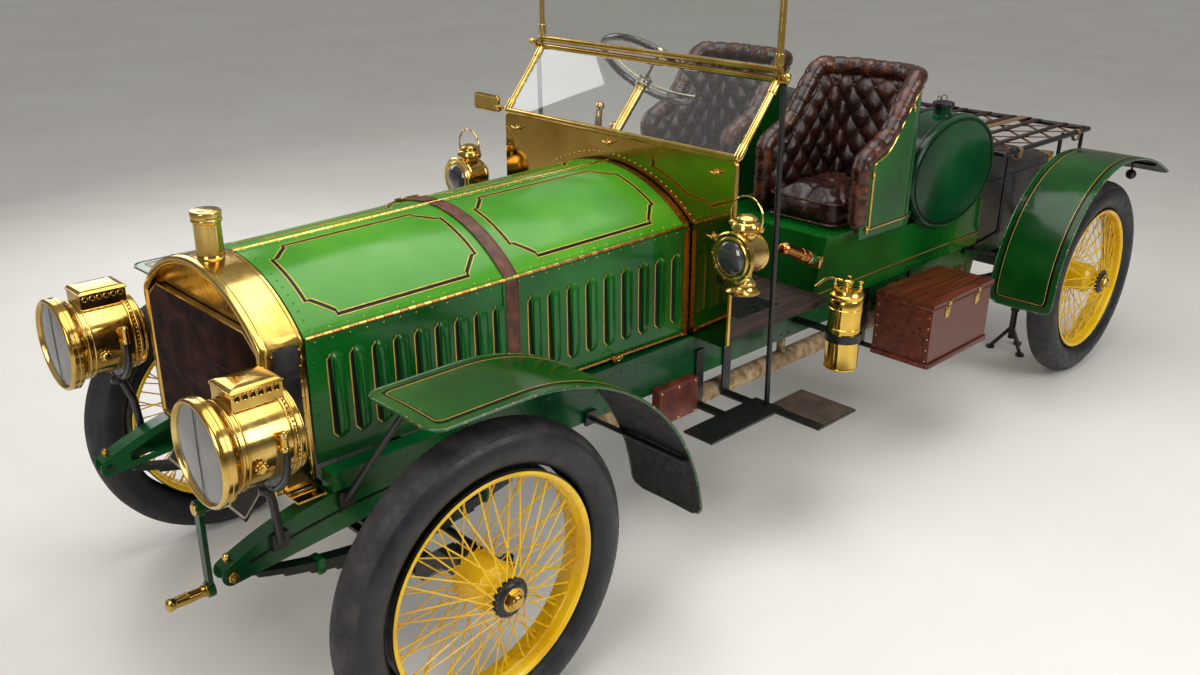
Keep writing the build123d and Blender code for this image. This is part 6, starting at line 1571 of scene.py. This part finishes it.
# Steps and side boxes: a chequered iron plate and a pad of ribbed rubber on the left step, a
# polished mahogany toolbox with brass fittings, and the brass gas generator in its hoop.
step_top, pad_top, rib_count = 0.44, 0.432, 24
wear("steps", iron)
pad_rubber = finish("brown_rubber_pad", [(52, 40, 32), (78, 62, 50)], 0.05, (0.6, 0.85), grain=0.002,
                    relief=0.0006)
pads, plates = [], []
for side in (1, -1):
    for i in range(rib_count):
        y = front_axle + 1.372 + (i + 0.5) * 0.17 / rib_count
        pads.append(bars([(side * 0.57, y, pad_top + 0.002)], [(side * 0.778, y, pad_top + 0.002)],
                         [(0, 0), (0, 0.0028), (1, 0.0028), (1, 0)], 6))
    pads.append(block((side * 0.566, front_axle + 1.368, pad_top),
                      (side * 0.782, front_axle + 1.546, pad_top + 0.003), 0.001))
    x, y = np.meshgrid(np.linspace(0.51, 0.61, 9), np.linspace(front_axle + 1.0, front_axle + 1.35, 27))
    stagger = (np.arange(27) % 2)[:, None] * 0.00625
    plates.append(copies(turned([(-0.0005, 0.0035), (0.0008, 0.0022), (0.0009, 0)], (0, 0, 0),
                                (0, 0, 1), 4),
                         points_of(side * (x + stagger * 0.9).ravel(), y.ravel(), step_top), (0, 0, 1)))
make("step_pads", pads, pad_rubber)
make("step_studs", plates, iron)

box_inner, box_outer, box_front, box_rear = 0.478, 0.72, front_axle + 2.13, front_axle + 2.58
box_low, box_rim, box_top = 0.385, 0.6205, 0.645
mahogany, tree, shader, place = bare("mahogany")
grain = node_of(tree, "Mapping", {"Scale": (11.0, 0.9, 11.0), "Vector": place}).outputs["Vector"]
figure = cloud(tree, grain, 0.22, 9)
wood_stops = [(0.3, paint(66, 26, 12)), (0.48, paint(84, 34, 16)), (0.6, paint(98, 41, 20)),
              (0.74, paint(112, 50, 25))]
feed(shader, {"Base Color": ramp(tree, figure, wood_stops),
              "Roughness": spread(tree, figure, 0.26, 0.46), "Coat Weight": 0.15,
              "Coat Roughness": 0.12})
lift(tree, shader, cloud(tree, grain, 0.05, 5), 0.0003)
wear("toolbox", mahogany)
wear("toolbox_lid", mahogany)


def corner_screws(y, way):
    """Small brass screws up both corners of the box at one end."""
    z = np.linspace(box_low + 0.03, box_rim - 0.03, 5)
    return copies(head(0.004, 0.002, 8),
                  np.concatenate([points_of(x, y, z) for x in (box_inner + 0.012, box_outer - 0.012)]),
                  way)


base_mould = eased([(box_inner, box_front - 0.004), (box_outer + 0.004, box_front - 0.004),
                    (box_outer + 0.004, box_rear + 0.004), (box_inner, box_rear + 0.004)], 0.006, 2,
                   True)
plinth = carried(eased([(-0.005, -0.01), (-0.005, 0.008), (0.003, 0.01), (0.005, -0.01)], 0.002, 2,
                       True), raised(base_mould, box_low + 0.012), (0, 0, 1), ring=True)
make("toolbox_plinth", [plinth], mahogany)
lock = [block((box_outer - 0.0005, y - 0.016, box_rim - 0.05),
              (box_outer + 0.0035, y + 0.016, box_rim - 0.004), 0.002)
        for y in (box_front + 0.11, box_rear - 0.11)]
make("toolbox_fittings", lock
     + [corner_screws(box_front - 0.0002, (0, -1, 0)), corner_screws(box_rear + 0.0002, (0, 1, 0))],
     brass)
lid_edge = [(box_inner + 0.001, box_front - 0.006), (box_outer + 0.006, box_front - 0.006),
            (box_outer + 0.006, box_rear + 0.006), (box_inner + 0.001, box_rear + 0.006)]
lid_mould = eased(lid_edge, 0.006, 2)
nose = carried(circle(0.0042, 8), raised(lid_mould, box_rim + 0.005), (0, 0, 1))
hasps = [block((box_outer + 0.004, y - 0.01, box_rim + 0.002),
               (box_outer + 0.011, y + 0.01, box_top - 0.004), 0.002)
         for y in (box_front + 0.11, box_rear - 0.11)]
make("toolbox_lid_nosing", [nose], mahogany, "toolbox_lid")
make("toolbox_hasps", hasps, brass, "toolbox_lid")

generator_x, generator_y, generator_low, generator_high = 0.6, front_axle + 1.72, 0.48, 0.79
bright_brass = finish("bright_brass", [(206, 160, 62), (228, 188, 88), (238, 206, 112)], 0.2,
                      (0.06, 0.16), metal=1.0)
can = [(0, 0), (0, 0.052), (0.004, 0.0585), (0.01, 0.0605), (0.014, 0.059), (0.15, 0.0585),
       (0.152, 0.0602), (0.16, 0.0602), (0.162, 0.0585), (0.218, 0.0585), (0.22, 0.0602),
       (0.232, 0.0602), (0.234, 0.0585), (0.262, 0.0585), (0.266, 0.056), (0.272, 0.0605),
       (0.282, 0.0608), (0.286, 0.056), (0.3, 0.052), (0.308, 0.03), (0.31, 0.0165), (0.322, 0.015),
       (0.324, 0.0195), (0.331, 0.0195), (0.336, 0.012), (0.3365, 0)]
make("gas_generator_can", [turned(can, (generator_x, generator_y, generator_low), (0, 0, 1), 72)],
     bright_brass, stands_for=["gas_generator"])
small = []
for turn in (0.4, 2.1, 3.6, 5.2):
    x, y = generator_x + 0.044 * cos(turn), generator_y + 0.044 * sin(turn)
    small.append(turned(eased([(-0.004, 0), (-0.004, 0.0065), (0.008, 0.0065), (0.01, 0.004),
                               (0.018, 0.004), (0.02, 0.0085), (0.028, 0.0085), (0.03, 0)], 0.0015),
                        (x, y, generator_high - 0.004), (0, 0, 1), 14))
tap = np.array([(generator_x - 0.02, generator_y, generator_high + 0.012),
                (generator_x - 0.05, generator_y - 0.004, generator_high + 0.016),
                (generator_x - 0.085, generator_y - 0.01, generator_high + 0.01),
                (generator_x - 0.12, generator_y - 0.02, generator_high - 0.03)])
make("gas_generator_taps", small + [tube(eased(tap, 0.015, 5), 0.0052, 10)], bright_brass)

# Headlamps: drums of spun brass on black forks. A stepped bezel clamps the glass, beaded rings
# go round the drum's back, and a vent box on top has a row of eyeleted holes on each side.
lamp_x, lamp_front, lamp_z = 0.431, front_axle - 0.56, 0.894
lamp_drum, fork_back = 0.108, 0.145
wear("headlamps", brass)
mirror = finish("silvered_bowl", [(168, 168, 162), (208, 206, 200)], 0.08, (0.05, 0.12), metal=1.0)
lens_stuff, tree, shader, place = bare("grey_lens")
lens_colour = ramp(tree, cloud(tree, place, 0.12, 3),
                   [(0.35, paint(120, 118, 118)), (0.65, paint(176, 174, 172))])
feed(shader, {"Base Color": lens_colour, "Transmission Weight": 0.55,
              "Roughness": spread(tree, cloud(tree, place, 0.05), 0.03, 0.1)})


def pair_of_lamps(shapes):
    """A headlamp's shapes, made about the middle of its glass, set in place on both sides."""
    return both(lambda side: moved(shapes, (side * lamp_x, lamp_front, lamp_z)))


def headlamp_trim():
    """Bezel, beaded rings, dome, eyelets, lid, taps and sockets of one lamp."""
    here, back = (0, 0, 0), (0, 1, 0)
    bezel = [(-0.003, 0.1165), (-0.006, 0.12), (-0.006, 0.124), (-0.003, 0.1275), (0.0, 0.129),
             (0.006, 0.129), (0.008, 0.127), (0.014, 0.127), (0.016, 0.1295), (0.024, 0.1295),
             (0.027, 0.1265), (0.031, 0.1225), (0.034, 0.118), (0.034, 0.112), (0.008, 0.112),
             (0.004, 0.115)]
    shapes = [turned(bezel, here, back, 96, wall=True)]
    for at, wide, rise in ((0.052, 0.004, 0.0035), (0.066, 0.003, 0.0025), (0.176, 0.004, 0.0035),
                           (0.19, 0.003, 0.0028), (0.204, 0.0025, 0.0012)):
        base = lamp_drum if at < 0.2 else lamp_drum - 0.002
        shapes.append(collar((0, at - wide, 0), back, base - 0.001, base + rise, 2 * wide, 0.0025, 96))
    beads = ring_about(1, (0, 0.183, 0), lamp_drum + 0.0022, 60)
    shapes.append(copies(head(0.003, 0.0024, 6), beads, ring_about(1, here, 1, 60)))
    dome = [(0.0, 0.058), (0.004, 0.06), (0.008, 0.052), (0.014, 0.04), (0.02, 0.036), (0.024, 0.02),
            (0.026, 0.0)]
    shapes.append(turned([(at * 0.45 + 0.2275, radius) for at, radius in dome], here, back, 64))
    # eyelets on both flanks of the vent box, and its lid with a bead round it
    eyelet = turned([(-0.001, 0.0056), (0.0015, 0.006), (0.0022, 0.0074), (0.0012, 0.0084),
                     (-0.001, 0.0086)], here, (0, 0, 1), 18)
    for face in (1, -1):
        shapes.append(copies(eyelet, [(face * 0.0485, 0.08 + i * 0.019, 0.126) for i in range(6)],
                             (face, 0, 0)))
    top, crown_rows = lamp_drum + 0.034, [
        (1.0, 0.0), (0.96, 0.0035), (0.8, 0.0068), (0.45, 0.0088), (0.0, 0.0092)]
    lid = eased([(-0.05, 0.064), (0.05, 0.064), (0.05, 0.192), (-0.05, 0.192)], 0.004, 2, True)
    middle = lid.mean(0)
    shapes.append(tube(raised(lid, top - 0.003), 0.0026, 8, True))
    shapes.append(sheet_of([raised(middle + share * (lid - middle), top - 0.001 + rise) for share,
                            rise in crown_rows], False, True))
    # sockets and taps on both flanks
    socket = eased([(0.002, 0.0092), (0.002, 0.0112), (0.01, 0.0112), (0.012, 0.0098), (0.034, 0.0098),
                    (0.036, 0.0112), (0.044, 0.0112), (0.05, 0.006), (0.051, 0)], 0.0012)
    knob = eased([(0, 0.011), (0.004, 0.011), (0.005, 0.005), (0.011, 0.005), (0.012, 0.0105),
                  (0.019, 0.0115), (0.022, 0.008), (0.0225, 0)], 0.001)
    for face in (1, -1):
        knob_at = np.array((face * (lamp_drum - 0.001), 0.086, -0.02))
        shapes.append(turned(socket, (face * (lamp_drum + 0.008), fork_back, 0), (0, 0, 1), 20))
        shapes.append(turned(knob, knob_at, (face, 0, 0), 20))
        shapes.append(copies(head(0.0038, 0.003, 6),
                             ring_about(0, knob_at + (face * 0.01, 0, 0), 0.013, 8), (face, 0, 0)))
    return shapes


def fork():
    """The black fork: two prongs that rise from the iron's crutch to the sockets on the flanks."""
    reach, shapes = lamp_drum + 0.008, []
    for face in (1, -1):
        prong = [(0, fork_back, -lamp_drum - 0.024),
                 (face * reach * 0.55, fork_back, -lamp_drum - 0.012),
                 (face * (reach + 0.002), fork_back, -0.062), (face * reach, fork_back, 0.001)]
        shapes.append(tube(eased(prong, 0.03, 5), 0.0085, 10))
    crutch = eased([(0, 0), (0, 0.019), (0.016, 0.019), (0.022, 0.013), (0.034, 0.012), (0.036, 0)],
                   0.003)
    return shapes + [turned(crutch, (0, fork_back, -lamp_drum - 0.046), (0, 0, 1), 24)]


make("headlamp_trim", pair_of_lamps(headlamp_trim()), brass)
depth = np.linspace(0, 1, 14)
bowl = turned(points_of(0.046 + 0.15 * depth, 0.1 * np.sqrt(1 - depth)), (0, 0, 0), (0, 1, 0), 64)
lens = turned([(0.0095, 0.115), (0.0025, 0.115), (0.0005, 0.08), (-0.0002, 0.04), (-0.0005, 0.0)],
              (0, 0, 0), (0, 1, 0), 64)
burner_lines = [[(0, 0.12, -0.1), (0, 0.12, -0.03), (-0.024, 0.12, -0.006), (-0.006, 0.12, 0.014)],
                [(0, 0.12, -0.034), (0.024, 0.12, -0.006), (0.006, 0.12, 0.014)]]
shadows = [tube([(0, -0.001, -0.114), (0, -0.0018, 0), (0, -0.001, 0.114)], 0.0009, 6)]
shadows += [block((face * 0.0466 - 0.0008, 0.071, 0.117), (face * 0.0466 + 0.0008, 0.184, 0.134),
                  0.0006) for face in (1, -1)]
make("headlamp_bowls", pair_of_lamps([bowl]), mirror)
make("headlamp_burners",
     pair_of_lamps([tube(eased(line, 0.012, 4), 0.0042, 8) for line in burner_lines]), brass)
make("headlamp_lenses", pair_of_lamps([lens]), lens_stuff)
make("headlamp_shadows", pair_of_lamps(shadows), painted_shade_black)
make("headlamp_forks", pair_of_lamps(fork()), iron)

# Side lamps: a short brass drum with a wide bevelled bezel and a thick lens, on a bell-shaped oil
# font, under a domed chimney of two tiers with a round carrying ring.
side_x, side_front, side_z, stem_back = 0.658, front_axle + 0.982, 1.065, 0.066
dark_lens, tree, shader, place = bare("dark_bull_lens")
dark_colour = ramp(tree, cloud(tree, place, 0.05, 4),
                   [(0.3, paint(26, 26, 30)), (0.7, paint(74, 72, 76))])
feed(shader, {"Base Color": dark_colour, "Coat Weight": 1.0,
              "Roughness": spread(tree, cloud(tree, place, 0.03), 0.05, 0.14)})


def side_lamp(side):
    """One side lamp's drum, font, chimney and ring."""
    centre = (side * side_x, side_front, side_z)
    stem = (side * side_x, side_front + stem_back, 0)
    drum = [(0.0, 0.05), (-0.002, 0.054), (-0.001, 0.059), (0.004, 0.064), (0.002, 0.068),
            (0.002, 0.074), (0.006, 0.078), (0.012, 0.0782), (0.016, 0.076), (0.019, 0.069),
            (0.024, 0.0635), (0.03, 0.06), (0.034, 0.062), (0.038, 0.06), (0.096, 0.0585),
            (0.099, 0.0615), (0.104, 0.0615), (0.107, 0.058), (0.116, 0.052), (0.121, 0.04),
            (0.124, 0.024), (0.13, 0.02), (0.132, 0.0)]
    inside = [(0.01, 0.0), (0.01, 0.049)]
    shapes = [turned(inside + drum, centre, (0, 1, 0), 80)]
    font = [(0.9455, 0.0), (0.9455, 0.052), (0.9475, 0.0545), (0.953, 0.054), (0.956, 0.05),
            (0.964, 0.042), (0.974, 0.0385), (0.979, 0.04), (0.983, 0.038), (0.988, 0.029),
            (0.995, 0.0255), (1.012, 0.027), (1.02, 0.03)]
    shapes.append(turned(font, stem, (0, 0, 1), 64))
    chimney = [(1.108, 0.03), (1.118, 0.031), (1.124, 0.0345), (1.129, 0.0345), (1.13, 0.03),
               (1.136, 0.03), (1.14, 0.04), (1.144, 0.0448), (1.15, 0.0448), (1.154, 0.0425),
               (1.16, 0.042), (1.164, 0.0385), (1.166, 0.03), (1.17, 0.029), (1.172, 0.033),
               (1.176, 0.033), (1.18, 0.027), (1.185, 0.016), (1.1872, 0.0)]
    shapes.append(turned(chimney, stem, (0, 0, 1), 64))
    shapes.append(tube(ring_about(1, (stem[0], stem[1], 1.18), 0.059, 48), 0.003, 8, True))
    for face in (1, -1):
        shapes.append(turned(eased([(0, 0), (0, 0.006), (0.018, 0.006), (0.019, 0.0085),
                                    (0.024, 0.0085), (0.025, 0)], 0.001),
                             (stem[0] + face * 0.036, stem[1], 1.15), (face, 0, 0), 12))
    shapes.append(copies(head(0.0026, 0.002, 6), ring_about(2, (stem[0], stem[1], 1.133), 0.0305, 10),
                         ring_about(2, (0, 0, 0), 1, 10)))
    shapes.append(copies(head(0.0032, 0.0024, 7),
                         ring_about(1, (centre[0], side_front + 0.0025, side_z), 0.0715, 10),
                         (0, -1, 0)))
    return shapes


make("side_lamp_bodies", both(side_lamp), brass, stands_for=["side_lamps"])
make("side_lamp_lenses", [turned([(0.006, 0.0505), (0.0, 0.05), (-0.006, 0.044), (-0.012, 0.03),
                                  (-0.0145, 0.014), (-0.015, 0.0)], (side * side_x, side_front, side_z),
                                 (0, 1, 0), 48) for side in (1, -1)], dark_lens)

# Number plate: a thin plate in brown-black enamel with a lighter raised border, left blank.
plate_lean = radians(40)
plate_up, plate_out = np.array((0, sin(plate_lean), cos(plate_lean))), np.array(
    (0, -cos(plate_lean), sin(plate_lean)))
plate_enamel = finish("plate_enamel", [(26, 20, 18), (44, 34, 30)], 0.07, (0.25, 0.45), coat=0.4)
plate_border = finish("plate_border", [(136, 128, 112), (176, 166, 146)], 0.05, (0.35, 0.55), metal=0.3)
wear("number_plate", plate_enamel)
plate_corners = eased([(-0.224, -0.049), (0.224, -0.049), (0.224, 0.049), (-0.224, 0.049)], 0.008, 3,
                      True)
plate_middle = np.array((0, front_axle - 0.35, 0.6))
plate_path = (plate_middle + plate_corners[:, :1] * (1, 0, 0) + plate_corners[:, 1:] * plate_up
              + 0.0024 * plate_out)
make("number_plate_border", [line_along(plate_path, plate_out, 0.006, ring=True, height=0.001)],
     plate_border)

# Steering and levers: a four-spoke spider of polished metal under a dark wooden rim, on a brass
# column, with a pair of iron levers outside the body and two pedals on the floor.
column_axis = np.array((0, cos(radians(49)), sin(radians(49))))
wheel_hub = np.array((-0.36, front_axle + 1.676, 1.386))
wheel_side, wheel_up = np.array((1.0, 0, 0)), np.cross(column_axis, (1, 0, 0))
rim_radius, rim_dish = 0.208, 0.052
spoke_turns = [radians(45 + 90 * i) for i in range(4)]
rim_wood = finish("dark_wheel_rim", [(24, 20, 20), (44, 36, 34), (62, 50, 44)], 0.04, (0.2, 0.36),
                  coat=0.7)
spider = finish("polished_spider", [(150, 142, 122), (190, 180, 156)], 0.06, (0.16, 0.3), metal=1.0)
wear("steering_column", brass)
t = round_steps(90)
rim_ways = np.cos(t)[:, None] * wheel_side + np.sin(t)[:, None] * wheel_up
rim_path = wheel_hub + rim_dish * column_axis + rim_radius * rim_ways
grip = 0.0138 + 0.0006 * np.cos(30 * t)
rim_ring = carried(circle(1.0, 16), rim_path, column_axis, ring=True, sizes=grip)
spokes, share = [], np.linspace(0, 1, 16)
flat_bar = eased([(-0.01, -0.0035), (0.01, -0.0035), (0.01, 0.0035), (-0.01, 0.0035)], 0.003, 2, True)
for a in spoke_turns:
    way = cos(a) * wheel_side + sin(a) * wheel_up
    run = wheel_hub + np.outer(0.02 + share * (rim_radius - 0.014), way) + np.outer(
        rim_dish * share ** 1.5, column_axis)
    spokes.append(carried(flat_bar, run, column_axis, sizes=1.25 - 0.6 * np.sin(share * pi) ** 0.7))
hub_profile = [(-0.023, 0.0), (-0.023, 0.03), (-0.016, 0.031), (-0.01, 0.026), (0.0, 0.0255),
               (0.006, 0.03), (0.012, 0.029), (0.014, 0.018), (0.022, 0.016), (0.026, 0.012),
               (0.0265, 0.0)]
make("steering_wheel_dressed",
     [rim_ring, turned(eased(hub_profile, 0.0012), wheel_hub, column_axis, 40)] + spokes,
     [rim_wood, spider] + [spider] * 4, "steering_wheel", stands_for=["steering_wheel"])
rim_ferrules = [tube([wheel_hub + rim_dish * column_axis
                      + rim_radius * (cos(b) * wheel_side + sin(b) * wheel_up)
                      for b in (a - 0.04, a, a + 0.04)], 0.0147, 14) for a in spoke_turns]
make("steering_wheel_ferrules", rim_ferrules, spider, "steering_wheel")
column_start = wheel_hub - 0.024 * column_axis
column_rings = [collar(column_start - at * column_axis, -column_axis, 0.0188, radius, length, 0.002, 32)
                for at, radius,
                length in ((0.006, 0.0225, 0.012), (0.34, 0.0235, 0.03), (0.58, 0.026, 0.02))]
make("column_rings", column_rings, brass)
wear("levers_and_pedals", iron)
lever_x, pedal_up, pedal_out = -0.565, np.array((0, 0.5, 0.866)), np.array((0, 0.866, -0.5))
# rows: y and z of each lever's foot and of its top, y from the front axle
lever_table = [((1.53, 0.69), (1.64, 1.27)), ((1.6, 0.69), (1.72, 1.18))]
lever_trim = []
for ends in lever_table:
    start, end = [np.array((lever_x, front_axle + y, z)) for y, z in ends]
    way = unit(end - start)
    lever_trim.append(turned(eased([(-0.11, 0.0092), (-0.108, 0.012), (-0.04, 0.0135), (-0.014, 0.012),
                                    (-0.012, 0.0165), (0.0, 0.0185), (0.012, 0.015), (0.018, 0)],
                                   0.003), end, way, 24))
    lever_trim.append(turned(eased([(0.01, 0.0092), (0.01, 0.015), (0.024, 0.015), (0.026, 0.0092)],
                                   0.002), start + way * 0.02, way, 20))
    grip_path = [end - way * down + (0, off, 0) for down,
                 off in ((0.055, 0.02), (0.1, 0.024), (0.17, 0.018), (0.21, 0.009))]
    lever_trim.append(tube(grip_path, 0.0032, 8))
make("lever_grips", lever_trim, brass)
pedal_ribs = []
for x in (-0.44, -0.28):
    middle = np.array((x, front_axle + 1.29, 0.8))
    for share in np.linspace(-0.021, 0.021, 6):
        at = middle + pedal_up * share + pedal_out * 0.0052
        pedal_ribs.append(bars([at - (0.03, 0, 0)], [at + (0.03, 0, 0)],
                               [(0, 0), (0, 0.0018), (1, 0.0018), (1, 0)], 6))
make("pedal_ribs", pedal_ribs, steel)

# Starting handle and stands: a green crank with a brass grip on a loose sleeve, and two black
# stands on round feet that carry the back axle.
wear("starting_handle", green_frame)
wear("axle_stands", iron)
handle_y, crank_z, grip_z = front_axle - 0.411, 0.508, 0.253
grip_profile = eased([(0.006, 0.0), (0.006, 0.015), (0.012, 0.0175), (0.02, 0.015), (0.055, 0.0172),
                      (0.095, 0.0152), (0.104, 0.018), (0.114, 0.0175), (0.119, 0.01), (0.12, 0.0)],
                     0.002)
crank_trim = [turned(grip_profile, (0, handle_y - 0.006, grip_z), (0, -1, 0), 40)]
for z in (crank_z, grip_z):
    crank_trim.append(turned(eased([(0.0, 0.0), (0.0, 0.0175), (0.006, 0.0175), (0.008, 0.01),
                                    (0.01, 0.0)], 0.002), (0, handle_y - 0.0085, z), (0, -1, 0), 24))
make("starting_handle_grip", crank_trim, brass, "starting_handle")
stand_nuts = [copies(nut(0.022, 0.016), [(side * 0.44, rear_axle, z) for side in (1, -1)], (0, 0, 1))
              for z in (0.205, 0.3)]
make("stand_nuts", stand_nuts, iron)
